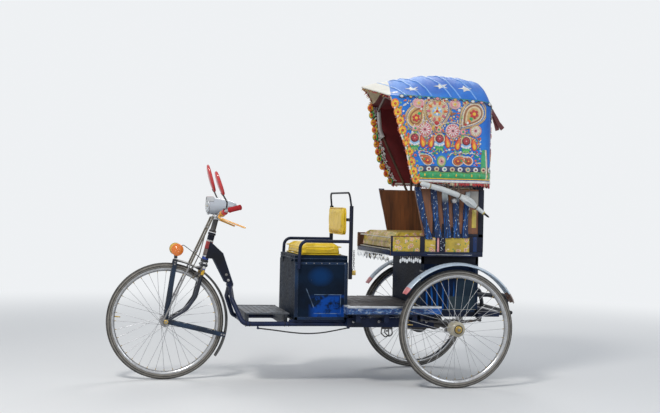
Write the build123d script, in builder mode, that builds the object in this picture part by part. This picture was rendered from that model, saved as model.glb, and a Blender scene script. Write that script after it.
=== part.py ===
"""Electric rickshaw: a three-wheeled passenger cycle cart with a battery drive.

Millimetres. +X forward, +Y to the left, +Z up. The origin lies on the ground
in the middle of the vehicle's length and width.
"""
from build123d import *
import os
from math import cos, pi, radians, sin, sqrt, tan

os.makedirs("parts", exist_ok=True)

# Driving dimensions
WHEEL_R = 357.5  # 28 inch cycle wheel, outside of the tyre
TYRE_W = 42.0
WHEELBASE = 1709.0
TRACK = 940.0
REAR_REACH = 430.0  # bumper behind the rear axle
STEER_RAKE = 75.8  # degrees between the steering axis and the ground
SPOKES = 36
BAR_SIDES = 10  # sides of the section of rods and tubes, to keep the facets few

# Clearances
RUNNING = 0.05  # shaft in its bearing
SEAT = 0.3  # pieces that rest on each other without being one
BOLT_FIT = 0.25  # a bolt or axle in a plain hole

# Places along X
REAR_X = -(WHEELBASE + WHEEL_R - REAR_REACH) / 2
FRONT_X = REAR_X + WHEELBASE
WHEEL_Y = TRACK / 2


def fore(distance):
    """X of a place given forward of the rear axle."""
    return REAR_X + distance


def block(x, y, z, mode=Mode.ADD):
    """Add a block between the pairs of limits x, y and z to the part being built."""
    with Locations(((x[0] + x[1]) / 2, (y[0] + y[1]) / 2, (z[0] + z[1]) / 2)):
        Box(x[1] - x[0], y[1] - y[0], z[1] - z[0], mode=mode)


def rod(start, end, radius, mode=Mode.ADD):
    """Add a straight bar of nearly round section between two points to the part being built."""
    run = Vector(*end) - Vector(*start)
    with BuildSketch(Plane(origin=start, z_dir=run)) as section:
        RegularPolygon(radius, BAR_SIDES)
    extrude(section.sketch, amount=run.length, mode=mode)


def drill(start, end, radius):
    """Cut a round hole between two points from the part being built."""
    run = Vector(*end) - Vector(*start)
    with BuildSketch(Plane(origin=start, z_dir=run)) as section:
        Circle(radius)
    extrude(section.sketch, amount=run.length, mode=Mode.SUBTRACT)


def bent_tube(points, radius, bend):
    """Add a bar of nearly round section along straight runs joined by arcs to the part being built."""
    with BuildLine() as path:
        FilletPolyline(*points, radius=bend)
    with BuildSketch(Plane(origin=path.line @ 0, z_dir=path.line % 0)) as section:
        RegularPolygon(radius, BAR_SIDES)
    sweep(sections=section.sketch, path=path.line)


def side_outline(points, y, thickness):
    """Add a plate with an outline of (x, z) points, from y towards +Y."""
    with BuildSketch(Plane(origin=(0, y, 0), x_dir=(1, 0, 0), z_dir=(0, -1, 0))) as section:
        with BuildLine():
            Polyline(*points, close=True)
        make_face()
    extrude(section.sketch, amount=-thickness)


def cross_disc(x, y, z, radius, inner=0.0, mode=Mode.ADD):
    """Add a disc or ring about an axis along Y between the pair of limits y."""
    with BuildSketch(Plane(origin=(x, y[0], z), x_dir=(1, 0, 0), z_dir=(0, 1, 0))) as section:
        Circle(radius)
        if inner:
            Circle(inner, mode=Mode.SUBTRACT)
    extrude(section.sketch, amount=y[1] - y[0], mode=mode)


# Wheels: a tyre on a steel rim with wire spokes
RIM_R = 318.0  # seat of the tyre
RIM_DEPTH = 13.0
RIM_W = 34.0
HUB_R = 19.0
FLANGE_R = 34.0
FLANGE_T = 6.0
SPOKE_R = 1.2
FRONT_AXLE_R = 6.0
REAR_AXLE_R = 10.0
FRONT_HUB_HALF = 34.0
REAR_HUB_HALF = 50.0

TYRES = {
    # name: (x, y) of the wheel's centre
    "tyre_front": (FRONT_X, 0.0),
    "tyre_rear_left": (REAR_X, WHEEL_Y),
    "tyre_rear_right": (REAR_X, -WHEEL_Y),
}
WHEELS = {
    # name: (x, y, half length of the hub, bore radius)
    "wheel_front": (FRONT_X, 0.0, FRONT_HUB_HALF, FRONT_AXLE_R + RUNNING),
    "wheel_rear_left": (REAR_X, WHEEL_Y, REAR_HUB_HALF, REAR_AXLE_R + RUNNING),
    "wheel_rear_right": (REAR_X, -WHEEL_Y, REAR_HUB_HALF, REAR_AXLE_R + RUNNING),
}

for name, (x, y) in TYRES.items():
    centre = Plane(origin=(x, y, WHEEL_R), x_dir=(0, 1, 0), z_dir=(1, 0, 0))
    bead = RIM_R + SEAT
    belly = bead + (WHEEL_R - bead) * 0.45
    shoulder = WHEEL_R - 4.0
    with BuildPart() as tyre:
        with BuildSketch(centre):
            with BuildLine():
                Polyline(
                    (-TYRE_W / 3, bead), (TYRE_W / 3, bead), (TYRE_W / 2, belly), (TYRE_W * 0.32, shoulder),
                    (0, WHEEL_R), (-TYRE_W * 0.32, shoulder), (-TYRE_W / 2, belly), close=True,
                )
            make_face()
        revolve(axis=Axis((x, y, WHEEL_R), (0, 1, 0)))
    tyre.part.label = name
    export_step(tyre.part, f"parts/{name}.step")

for name, (x, y, half, bore) in WHEELS.items():
    centre = Plane(origin=(x, y, WHEEL_R), x_dir=(0, 1, 0), z_dir=(1, 0, 0))
    spin = Axis((x, y, WHEEL_R), (0, 1, 0))
    flange_y = min(half - FLANGE_T - 2.0, 30.0)
    with BuildPart() as wheel:
        # rim: a box section with its inner corners cut back
        with BuildSketch(centre):
            with BuildLine():
                Polyline(
                    (-RIM_W / 2, RIM_R), (RIM_W / 2, RIM_R), (RIM_W / 2, RIM_R - RIM_DEPTH / 2),
                    (RIM_W / 4, RIM_R - RIM_DEPTH), (-RIM_W / 4, RIM_R - RIM_DEPTH),
                    (-RIM_W / 2, RIM_R - RIM_DEPTH / 2), close=True,
                )
            make_face()
        revolve(axis=spin)
        # hub barrel with two spoke flanges
        with BuildSketch(centre):
            with BuildLine():
                Polyline(
                    (-half, 0), (-half, HUB_R * 0.8), (-flange_y - FLANGE_T, HUB_R),
                    (-flange_y - FLANGE_T, FLANGE_R), (-flange_y, FLANGE_R), (-flange_y, HUB_R),
                    (flange_y, HUB_R), (flange_y, FLANGE_R), (flange_y + FLANGE_T, FLANGE_R),
                    (flange_y + FLANGE_T, HUB_R), (half, HUB_R * 0.8), (half, 0), close=True,
                )
            make_face()
        revolve(axis=spin)
        # spokes leave the two flanges in turn and cross to the rim
        for i in range(SPOKES):
            side = 1 if i % 2 else -1
            lean = 1 if (i // 2) % 2 else -1
            at_rim = radians(360 / SPOKES * i)
            at_hub = at_rim + lean * radians(62)
            inner = (
                x + (FLANGE_R - 4) * cos(at_hub),
                y + side * (flange_y + (FLANGE_T - 0.8 if lean > 0 else 0.8)),
                WHEEL_R + (FLANGE_R - 4) * sin(at_hub),
            )
            outer = (
                x + (RIM_R - RIM_DEPTH + 2) * cos(at_rim),
                y,
                WHEEL_R + (RIM_R - RIM_DEPTH + 2) * sin(at_rim),
            )
            run = Vector(*outer) - Vector(*inner)
            with BuildSketch(Plane(origin=inner, z_dir=run)):
                RegularPolygon(SPOKE_R, 4)
        extrude(amount=run.length)
        cross_disc(x, (y - half, y + half), WHEEL_R, bore, mode=Mode.SUBTRACT)
    wheel.part.label = name
    export_step(wheel.part, f"parts/{name}.step")

# Chassis: two floor rails, two side beams, two rear beams and their cross members
RAIL_R = 14.0
RAIL_Y = 250.0
RAIL_Z = 365.0
BEAM_Y = 300.0
BEAM_W = 30.0
BEAM_BOTTOM = RAIL_Z - RAIL_R
SIDE_BEAM_TOP = 407.0
SEAT_BOX_BOTTOM = 446.0
REAR_BEAM_BOTTOM = SEAT_BOX_BOTTOM - 30.0
REAR_BEAM_BACK = fore(-330)
SIDE_BEAM_BACK = fore(92)
SIDE_BEAM_FRONT = fore(636)
FLOOR_FRONT = fore(1246)
FLOOR_BACK = fore(985)
FOOTBOARD_BOTTOM = 436.0
DRIVER_BOX_BOTTOM = 392.0
DRIVER_BOX_X = (fore(632), fore(958))

# Leaf springs, each beside its beam and over the axle tube
AXLE_TUBE_R = 20.0
SPRING_HALF = 190.0
SPRING_Y = 350.0
SPRING_W = 44.0
SPRING_RISE = 22.0
LEAF_T = 6.0
SPRING_ARC = (SPRING_HALF**2 + SPRING_RISE**2) / (2 * SPRING_RISE)  # radius under the lowest leaf
EYE_R = 9.0
CLAMP_HALF = 30.0  # half length of the plates that clamp a spring to the axle
CLAMP_T = 6.0
CLAMP_BOLT_R = 4.0
LEAF_BOTTOM = WHEEL_R + AXLE_TUBE_R + SEAT
EYE_Z = LEAF_BOTTOM + SPRING_RISE
HANGER_BOTTOM = EYE_Z + EYE_R + SEAT

# steering axis: through a point between the forks, leaning back by the rake
STEER_POINT = (fore(1519), 0.0, 560.0)
STEER_UP = (-cos(radians(STEER_RAKE)), 0.0, sin(radians(STEER_RAKE)))


def on_axis(height, y=0.0, ahead=0.0):
    """Point of the steering axis at a height, moved sideways and ahead at right angles to it."""
    t = (height - STEER_POINT[2]) / STEER_UP[2]
    return (
        STEER_POINT[0] + STEER_UP[0] * t + ahead * STEER_UP[2],
        y,
        height - ahead * STEER_UP[0],
    )


HEAD_BOTTOM = 722.0
HEAD_TOP = 902.0
HEAD_R = 20.0
CUP_R = 24.0
CUP_H = 12.0
STEERER_R = 13.0
NECK_LOW = (fore(1318), 0.0, 590.0)

# Loose cable that sags between two clips under the left floor rail
CABLE_R = 4.0
CABLE_Y = 250.0
CABLE = [
    # x forward of the rear axle, y, z
    (1165, 250, 338), (1075, 252, 328), (980, 251, 314), (880, 249, 305), (790, 250, 309),
    (700, 251, 324), (622, 250, 340),
]
CABLE_ROUTE = [(fore(x), y, z) for x, y, z in CABLE]
CLIP_L = 14.0


def cord_radii(points, diameter):
    """Arc radius for each corner of a cord's route, from its shorter run and its turn."""
    radii = []
    for before, here, after in zip(points, points[1:], points[2:]):
        first = Vector(*here) - Vector(*before)
        second = Vector(*after) - Vector(*here)
        half_turn = radians(first.get_angle(second) / 2)
        radii.append(0.45 * min(first.length, second.length) / tan(half_turn))
    print("cord radii", [round(r) for r in radii], "least in diameters", round(min(radii) / diameter, 1))
    return radii


with BuildPart() as chassis_frame:
    for side in (1, -1):
        outer = side * (BEAM_Y + BEAM_W / 2)
        inner = side * (BEAM_Y - BEAM_W / 2)
        width = (min(outer, inner), max(outer, inner))
        block((SIDE_BEAM_BACK, SIDE_BEAM_FRONT), width, (BEAM_BOTTOM, SIDE_BEAM_TOP))
        block((REAR_BEAM_BACK, SIDE_BEAM_BACK + BEAM_W), width, (REAR_BEAM_BOTTOM, SEAT_BOX_BOTTOM))
        block((SIDE_BEAM_BACK, SIDE_BEAM_BACK + BEAM_W), width, (BEAM_BOTTOM, SEAT_BOX_BOTTOM))
        # floor rail, swept up and inwards to the neck
        bent_tube(
            [
                (SIDE_BEAM_FRONT - 20, side * RAIL_Y, RAIL_Z),
                (fore(1262), side * RAIL_Y, RAIL_Z),
                (fore(1318), side * 150, 500),
                (NECK_LOW[0], side * 20, NECK_LOW[2] - 10),
            ],
            RAIL_R,
            45,
        )
        # spring hangers outside the beams
        low, high = sorted((side * (BEAM_Y + BEAM_W / 2 - 1), side * (SPRING_Y + SPRING_W / 2)))
        block((REAR_X - SPRING_HALF - 6, REAR_X - SPRING_HALF + 14), (low, high), (HANGER_BOTTOM, 440))
        block((REAR_X + SPRING_HALF - 14, REAR_X + SPRING_HALF + 6), (low, high), (HANGER_BOTTOM, 430))
        block((SIDE_BEAM_BACK, REAR_X + SPRING_HALF + 6), width, (SIDE_BEAM_TOP - 5, 430))
    for x in (REAR_BEAM_BACK, SIDE_BEAM_BACK):
        block((x, x + BEAM_W), (-BEAM_Y, BEAM_Y), (REAR_BEAM_BOTTOM, SEAT_BOX_BOTTOM))
    for x in (SIDE_BEAM_FRONT - BEAM_W, FLOOR_BACK, FLOOR_FRONT - 24):
        block((x, x + 24), (-RAIL_Y, RAIL_Y), (RAIL_Z - RAIL_R, RAIL_Z + RAIL_R - 2))
    block((SIDE_BEAM_FRONT - BEAM_W, SIDE_BEAM_FRONT), (-BEAM_Y, BEAM_Y), (BEAM_BOTTOM, RAIL_Z + RAIL_R))
    # bearers under the driver's box and outriggers under the footboard
    for x in (DRIVER_BOX_X[0] + 30, DRIVER_BOX_X[1] - 60):
        block((x, x + 30), (-RAIL_Y - 12, RAIL_Y + 12), (RAIL_Z, DRIVER_BOX_BOTTOM))
    for x in (fore(225), fore(400), fore(575)):
        block((x, x + 28), (-400, 400), (SIDE_BEAM_TOP - 20, FOOTBOARD_BOTTOM))
    # clips that hold the loose cable's ends under the floor rail
    for end, beside in ((CABLE_ROUTE[0], CABLE_ROUTE[1]), (CABLE_ROUTE[-1], CABLE_ROUTE[-2])):
        back = (Vector(*end) - Vector(*beside)).normalized() * CLIP_L
        rod(end, tuple(Vector(*end) + back), CABLE_R + 2.0)
        middle = end[0] + back.X * 0.6
        block((middle - 4, middle + 4), (CABLE_Y - 5, CABLE_Y + 5), (end[2], RAIL_Z - RAIL_R + 2))
chassis_frame.part.label = "chassis_frame"
export_step(chassis_frame.part, "parts/chassis_frame.step")

# Neck: head tube, broad down tube and gusset
with BuildPart() as neck:
    with BuildSketch(Plane(origin=on_axis(HEAD_BOTTOM), z_dir=STEER_UP)):
        Circle(HEAD_R)
    extrude(amount=(HEAD_TOP - HEAD_BOTTOM) / STEER_UP[2])
    side_outline(
        [
            (on_axis(850)[0], 850), (on_axis(745)[0], 745), (fore(1425), 742), (fore(1350), 600),
            (fore(1300), 588), (fore(1368), 780),
        ],
        -31, 62,
    )
    # cups of the two head bearings
    for height in (HEAD_BOTTOM, HEAD_TOP - CUP_H * STEER_UP[2]):
        with BuildSketch(Plane(origin=on_axis(height), z_dir=STEER_UP)):
            Circle(CUP_R)
        extrude(amount=CUP_H)
    with BuildSketch(Plane(origin=on_axis(HEAD_BOTTOM), z_dir=STEER_UP)):
        Circle(STEERER_R + RUNNING)
    extrude(amount=(HEAD_TOP - HEAD_BOTTOM) / STEER_UP[2], mode=Mode.SUBTRACT)
neck.part.label = "neck"
export_step(neck.part, "parts/neck.step")

# Driver's floor plate
with BuildPart() as driver_floor:
    block((FLOOR_BACK, FLOOR_FRONT), (-265, 265), (425, 431))
    for x in (FLOOR_BACK, FLOOR_FRONT - 24):
        block((x, x + 24), (-200, 200), (RAIL_Z + RAIL_R - 2, 425))
driver_floor.part.label = "driver_floor"
export_step(driver_floor.part, "parts/driver_floor.step")

# Driver's box: holds the batteries, with a lid that tips forward
DRIVER_BOX_TOP = 741.0
DRIVER_BOX_HALF = 280.0
BOX_WALL = 10.0
LID_TOP = 780.0
LID_HALF = 262.0
HINGE_PIN_R = 3.5
KNUCKLE_R = 5.5
KNUCKLE_L = 30.0
HINGE_GAP = 0.5
HINGE_X = DRIVER_BOX_X[1] + KNUCKLE_R + HINGE_GAP
HINGE_Z = DRIVER_BOX_TOP + KNUCKLE_R + HINGE_GAP
HINGE_YS = (-160.0, 160.0)
LEAF_IN = 2.5  # how far a hinge leaf stands proud of the faces it is fixed to
with BuildPart() as driver_box:
    block(DRIVER_BOX_X, (-DRIVER_BOX_HALF, DRIVER_BOX_HALF), (DRIVER_BOX_BOTTOM, DRIVER_BOX_TOP))
    block(
        (DRIVER_BOX_X[0] + BOX_WALL, DRIVER_BOX_X[1] - BOX_WALL),
        (BOX_WALL - DRIVER_BOX_HALF, DRIVER_BOX_HALF - BOX_WALL),
        (DRIVER_BOX_BOTTOM + BOX_WALL, DRIVER_BOX_TOP + 1),
        mode=Mode.SUBTRACT,
    )
    # fixed hinge leaves: a middle knuckle with the pin
    for y in HINGE_YS:
        knuckle = (y - KNUCKLE_L / 2, y + KNUCKLE_L / 2)
        cross_disc(HINGE_X, knuckle, HINGE_Z, KNUCKLE_R)
        cross_disc(HINGE_X, (y - 1.5 * KNUCKLE_L, y + 1.5 * KNUCKLE_L), HINGE_Z, HINGE_PIN_R)
        block((DRIVER_BOX_X[1] - 1, DRIVER_BOX_X[1] + LEAF_IN), knuckle, (DRIVER_BOX_TOP - 22, DRIVER_BOX_TOP - 1))
        block((DRIVER_BOX_X[1] + 0.6, DRIVER_BOX_X[1] + LEAF_IN), knuckle, (DRIVER_BOX_TOP - 2, HINGE_Z))
driver_box.part.label = "driver_box"
export_step(driver_box.part, "parts/driver_box.step")

BATTERY = (100.0, 180.0, 210.0)  # length, width and height of one battery
BATTERY_GAP = 8.0
with BuildPart() as battery_pack:
    middle = (DRIVER_BOX_X[0] + DRIVER_BOX_X[1]) / 2
    with Locations((middle, 0, DRIVER_BOX_BOTTOM + BOX_WALL + BATTERY[2] / 2)):
        with GridLocations(BATTERY[0] + BATTERY_GAP, BATTERY[1] + BATTERY_GAP, 2, 2):
            Box(*BATTERY)
    block(
        (middle - BATTERY[0] - BATTERY_GAP / 2, middle + BATTERY[0] + BATTERY_GAP / 2),
        (-BATTERY[1] - BATTERY_GAP / 2, BATTERY[1] + BATTERY_GAP / 2),
        (DRIVER_BOX_BOTTOM + BOX_WALL, DRIVER_BOX_BOTTOM + BOX_WALL + 12),
    )
battery_pack.part.label = "battery_pack"
export_step(battery_pack.part, "parts/battery_pack.step")

with BuildPart() as driver_lid:
    block((DRIVER_BOX_X[0], DRIVER_BOX_X[1]), (-LID_HALF, LID_HALF), (DRIVER_BOX_TOP + SEAT, LID_TOP))
    # moving hinge leaves: two knuckles round each pin
    for y in HINGE_YS:
        for side in (1, -1):
            knuckle = sorted((y + side * (KNUCKLE_L / 2 + HINGE_GAP), y + side * 1.45 * KNUCKLE_L))
            cross_disc(HINGE_X, knuckle, HINGE_Z, KNUCKLE_R)
            block((DRIVER_BOX_X[1] - 1, DRIVER_BOX_X[1] + LEAF_IN), knuckle, (HINGE_Z, LID_TOP - 6))
            cross_disc(HINGE_X, knuckle, HINGE_Z, HINGE_PIN_R + RUNNING, mode=Mode.SUBTRACT)
driver_lid.part.label = "driver_lid"
export_step(driver_lid.part, "parts/driver_lid.step")

DRIVER_CUSHION_TOP = 848.0
with BuildPart() as driver_cushion:
    block((fore(662), fore(930)), (-252, 252), (LID_TOP + SEAT, DRIVER_CUSHION_TOP))
    fillet(driver_cushion.edges().filter_by(Axis.Z), 30)
    fillet(driver_cushion.faces().sort_by(Axis.Z)[-1].edges(), 22)
driver_cushion.part.label = "driver_cushion"
export_step(driver_cushion.part, "parts/driver_cushion.step")

# Driver's rails: a hoop each side and the posts of the back rest
HOOP_Y = 290.3
HOOP_R = 10.0
POST_X = fore(620)
POST_TOP = 1085.0
BACK_BAR_Z = 1000.0
with BuildPart() as driver_rails:
    for side in (1, -1):
        bent_tube(
            [
                (fore(938), side * HOOP_Y, 700),
                (fore(930), side * HOOP_Y, 868),
                (POST_X, side * HOOP_Y, 868),
            ],
            HOOP_R,
            45,
        )
        rod((POST_X, side * HOOP_Y, 640), (POST_X, side * HOOP_Y, POST_TOP), 12)
    rod((POST_X, -HOOP_Y, BACK_BAR_Z), (POST_X, HOOP_Y, BACK_BAR_Z), HOOP_R)
    bent_tube(
        [
            (POST_X, -HOOP_Y, POST_TOP - 12),
            (POST_X + 12, -HOOP_Y + 12, 1165),
            (POST_X + 12, HOOP_Y - 12, 1165),
            (POST_X, HOOP_Y, POST_TOP - 12),
        ],
        6,
        40,
    )
driver_rails.part.label = "driver_rails"
export_step(driver_rails.part, "parts/driver_rails.step")

with BuildPart() as driver_backrest:
    block((POST_X + HOOP_R + SEAT, POST_X + HOOP_R + SEAT + 26), (-215, 215), (906, 1075))
    fillet(driver_backrest.edges().filter_by(Axis.X), 40)
    fillet(driver_backrest.faces().sort_by(Axis.X)[-1].edges(), 8)
driver_backrest.part.label = "driver_backrest"
export_step(driver_backrest.part, "parts/driver_backrest.step")

# Passenger's footboard with a rim at its edge
FOOTBOARD_TOP = 485.0
FOOTBOARD_HALF = 415.0
SEAT_BOX_HALF = 330.0
SEAT_BOX_X = (fore(-180), fore(185))
with BuildPart() as footboard:
    with BuildSketch(Plane.XY.offset(FOOTBOARD_BOTTOM)):
        with BuildLine():
            Polyline(
                (SEAT_BOX_X[1] + 1, -SEAT_BOX_HALF - 4), (fore(75), -SEAT_BOX_HALF - 4),
                (fore(75), -FOOTBOARD_HALF), (fore(659), -FOOTBOARD_HALF),
                (fore(659), -HOOP_Y - 14), (DRIVER_BOX_X[0] - 1, -HOOP_Y - 14),
                (DRIVER_BOX_X[0] - 1, HOOP_Y + 14), (fore(659), HOOP_Y + 14),
                (fore(659), FOOTBOARD_HALF), (fore(75), FOOTBOARD_HALF),
                (fore(75), SEAT_BOX_HALF + 4), (SEAT_BOX_X[1] + 1, SEAT_BOX_HALF + 4), close=True,
            )
        make_face()
    extrude(amount=FOOTBOARD_TOP - FOOTBOARD_BOTTOM)
footboard.part.label = "footboard"
export_step(footboard.part, "parts/footboard.step")

# Seat box over the rear axle
SEAT_FRAME_BOTTOM = 791.0
SEAT_FRAME_TOP = 821.0
SEAT_WALL = 12.0
with BuildPart() as seat_box:
    block(SEAT_BOX_X, (-SEAT_BOX_HALF, SEAT_BOX_HALF), (SEAT_BOX_BOTTOM, SEAT_FRAME_BOTTOM))
    block(
        (SEAT_BOX_X[0] + SEAT_WALL, SEAT_BOX_X[1] - SEAT_WALL),
        (SEAT_WALL - SEAT_BOX_HALF, SEAT_BOX_HALF - SEAT_WALL),
        (SEAT_BOX_BOTTOM + SEAT_WALL, SEAT_FRAME_BOTTOM + 1),
        mode=Mode.SUBTRACT,
    )
seat_box.part.label = "seat_box"
export_step(seat_box.part, "parts/seat_box.step")

# Seat frame: blue side rails round a board
SEAT_FRAME_X = (fore(-172), fore(408))
SEAT_HALF = 420.0
with BuildPart() as seat_frame:
    block(SEAT_FRAME_X, (-SEAT_HALF, SEAT_HALF), (SEAT_FRAME_BOTTOM, SEAT_FRAME_TOP))
    block(
        (SEAT_BOX_X[1] + 4, SEAT_FRAME_X[1] - 30), (30 - SEAT_HALF, SEAT_HALF - 30),
        (SEAT_FRAME_BOTTOM - 1, SEAT_FRAME_TOP - 12), mode=Mode.SUBTRACT,
    )
seat_frame.part.label = "seat_frame"
export_step(seat_frame.part, "parts/seat_frame.step")

with BuildPart() as seat_cushion:
    block((fore(-90), fore(404)), (-SEAT_HALF + 14, SEAT_HALF - 14), (SEAT_FRAME_TOP + SEAT, 925))
    fillet(seat_cushion.faces().sort_by(Axis.Z)[-1].edges(), 30)
seat_cushion.part.label = "seat_cushion"
export_step(seat_cushion.part, "parts/seat_cushion.step")

# Back frame: corner posts, cross rails and the panel that closes the back
POST_W = 41.0
BACK_TOP = 1230.0
with BuildPart() as back_frame:
    for side in (1, -1):
        outer = side * SEAT_HALF
        inner = side * (SEAT_HALF - 32)
        block(
            (SEAT_FRAME_X[0], SEAT_FRAME_X[0] + POST_W), (min(outer, inner), max(outer, inner)),
            (SEAT_FRAME_TOP, BACK_TOP),
        )
    block((SEAT_FRAME_X[0], SEAT_FRAME_X[0] + 14), (-SEAT_HALF, SEAT_HALF), (SEAT_FRAME_TOP, 1190))
    block((SEAT_FRAME_X[0], SEAT_FRAME_X[0] + POST_W), (-SEAT_HALF, SEAT_HALF), (1190, BACK_TOP))
back_frame.part.label = "back_frame"
export_step(back_frame.part, "parts/back_frame.step")

SEAT_BACK_HALF = SEAT_HALF - 35.0
SEAT_BACK_Z = (840.0, 1215.0)
with BuildPart() as seat_back:
    block((SEAT_FRAME_X[0] + POST_W + SEAT, fore(-92)), (-SEAT_BACK_HALF, SEAT_BACK_HALF), SEAT_BACK_Z)
    fillet(seat_back.edges().filter_by(Axis.X), 40)
    fillet(seat_back.faces().sort_by(Axis.X)[-1].edges(), 14)
seat_back.part.label = "seat_back"
export_step(seat_back.part, "parts/seat_back.step")

# Side panels: a wood panel with five fanned slats outside it
PANEL_T = 12.0
SLAT_T = 12.0
SLAT_W = 45.0
SLATS = [
    # x and z at the foot, x and z at the head
    (170, 894, 250, 1208),
    (111, 905, 150, 1200),
    (51, 904, 78, 1195),
    (-3, 905, 5, 1190),
    (-55, 905, -68, 1185),
]
for side, name in ((1, "side_panel_left"), (-1, "side_panel_right")):
    inner = SEAT_HALF + SEAT if side > 0 else -SEAT_HALF - SEAT - PANEL_T
    slat_y = SEAT_HALF + SEAT + PANEL_T if side > 0 else -SEAT_HALF - SEAT - PANEL_T - SLAT_T
    with BuildPart() as side_panel:
        side_outline(
            [
                (SEAT_FRAME_X[0], SEAT_FRAME_BOTTOM), (SEAT_FRAME_X[1], SEAT_FRAME_BOTTOM),
                (SEAT_FRAME_X[1], 908), (fore(205), 912), (fore(268), 1200), (SEAT_FRAME_X[0], 1200),
            ],
            inner, PANEL_T,
        )
        for foot_x, foot_z, head_x, head_z in SLATS:
            side_outline(
                [
                    (fore(foot_x - SLAT_W / 2), foot_z), (fore(foot_x + SLAT_W / 2), foot_z),
                    (fore(head_x + SLAT_W / 2), head_z), (fore(head_x - SLAT_W / 2), head_z),
                ],
                slat_y, SLAT_T,
            )
    side_panel.part.label = name
    export_step(side_panel.part, f"parts/{name}.step")

# Hood: a fabric shell over bows, open to the front and below
HOOD_HALF = SEAT_HALF + 62.0
HOOD_SKIN = 6.0
HOOD_BOTTOM = 1206.0
HOOD_FRONT = [
    # x forward of the rear axle and z down the front edge: under the peak, its tip, the corner, the foot
    (540, 1848), (503, 1841), (393, 1733), (291, 1206), (287, 1100), (540, 1100),
]
HOOD_STATIONS = [
    # x forward of the rear axle, half width, z of the shoulder, z of the crown
    (520, HOOD_HALF, 1694, 1836),
    (268, HOOD_HALF, 1706, 1902),
    (56, HOOD_HALF, 1710, 1930),
    (-110, HOOD_HALF, 1706, 1919),
    (-186, HOOD_HALF, 1696, 1899),
    (-250, HOOD_HALF - 50, 1674, 1868),
    (-298, HOOD_HALF - 130, 1640, 1828),
    (-326, HOOD_HALF - 230, 1600, 1772),
]


def hood_form(inset, below):
    """Lofted hood form, smaller by an inset all round and lengthened below and to the front."""
    last = len(HOOD_STATIONS) - 1
    with BuildPart() as form:
        for i, (x, half, shoulder, crown) in enumerate(HOOD_STATIONS):
            shift = inset if i == last else -inset if i == 0 else 0
            with BuildSketch(Plane(origin=(fore(x + shift), 0, 0), x_dir=(0, 1, 0), z_dir=(1, 0, 0))):
                with BuildLine():
                    Polyline(
                        (half - inset, shoulder), (half - inset, HOOD_BOTTOM - below),
                        (inset - half, HOOD_BOTTOM - below), (inset - half, shoulder),
                    )
                    ThreePointArc((inset - half, shoulder), (0, crown - inset), (half - inset, shoulder))
                make_face()
        loft(ruled=True)
    return form.part


HOOD_OUTER = hood_form(0.0, 0.0)
HOOD_INNER = hood_form(HOOD_SKIN, 10.0)
with BuildPart() as hood:
    add(HOOD_OUTER)
    add(HOOD_INNER, mode=Mode.SUBTRACT)
    with BuildSketch(Plane(origin=(0, 600, 0), x_dir=(1, 0, 0), z_dir=(0, -1, 0))):
        with BuildLine():
            Polyline(*[(fore(x), z) for x, z in HOOD_FRONT], close=True)
        make_face()
    extrude(amount=1200, mode=Mode.SUBTRACT)
hood.part.label = "hood"
export_step(hood.part, "parts/hood.step")

ROLL_R = 20.0
ROLL_Y = HOOD_HALF + ROLL_R + 2.0
ROLL_LINE = [
    # x forward of the rear axle and z of the rolled cover's bends
    (253, 1196), (65, 1150), (-61, 1112), (-238, 1030),
]

# Bows: hoops that fan out from a pivot on each side
BOW_R = 8.0
BOW_HALF = HOOD_HALF - HOOD_SKIN - BOW_R - SEAT
PIVOT = (fore(30), 1130.0)
BOWS = [
    # lean from upright in degrees, height of the shoulder and of the crown along the bow
    (-26.0, 640.0, 730.0),
    (-2.0, 590.0, 760.0),
    (22.0, 600.0, 735.0),
]
with BuildPart() as hood_bows:
    for lean, shoulder, crown in BOWS:
        up = (sin(radians(-lean)), cos(radians(lean)))
        points = []
        for y, s in (
            (-BOW_HALF, 0), (-BOW_HALF, shoulder - 120), (-BOW_HALF * 0.6, crown - 70), (0, crown),
            (BOW_HALF * 0.6, crown - 70), (BOW_HALF, shoulder - 120), (BOW_HALF, 0),
        ):
            points.append((PIVOT[0] + up[0] * s, y, PIVOT[1] + up[1] * s))
        bent_tube(points, BOW_R, 90)
    for side in (1, -1):
        reach = ROLL_Y - ROLL_R * cos(pi / BAR_SIDES) - SEAT if side > 0 else BOW_HALF + BOW_R + 2
        low, high = sorted((side * (SEAT_HALF + SEAT + PANEL_T + SLAT_T + SEAT), side * reach))
        cross_disc(PIVOT[0], (low, high), PIVOT[1], 16)
hood_bows.part.label = "hood_bows"
export_step(hood_bows.part, "parts/hood_bows.step")

# Rolled rain cover tied under the near side of the hood
with BuildPart() as rain_roll:
    bent_tube([(fore(x), ROLL_Y, z) for x, z in ROLL_LINE], ROLL_R, 200)
rain_roll.part.label = "rain_roll"
export_step(rain_roll.part, "parts/rain_roll.step")

# Rear mudguards
GUARD_R = 400.0
GUARD_T = 3.0
GUARD_W = 92.0
GUARD_CROWN = 12.0
GUARD_FRONT = 32.5  # degrees above the horizontal, at the front tip
GUARD_SPAN = 123.5


def guard_section(radius, width, crown):
    """Face of a folded strip across a wheel: flat top and a sloping wing each side."""
    half = width / 2
    with BuildSketch() as section:
        with BuildLine():
            Polyline(
                (-half, radius - crown), (-half * 0.45, radius), (half * 0.45, radius), (half, radius - crown),
                (half, radius - crown - GUARD_T), (half * 0.42, radius - GUARD_T),
                (-half * 0.42, radius - GUARD_T), (-half, radius - crown - GUARD_T), close=True,
            )
        make_face()
    return section.sketch


def ray_plane(centre, angle):
    """Plane across a wheel at an angle up from straight ahead, its y pointing outwards."""
    a = radians(angle)
    return Plane(origin=centre, x_dir=(0, 1, 0), z_dir=(sin(a), 0, -cos(a)))


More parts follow.
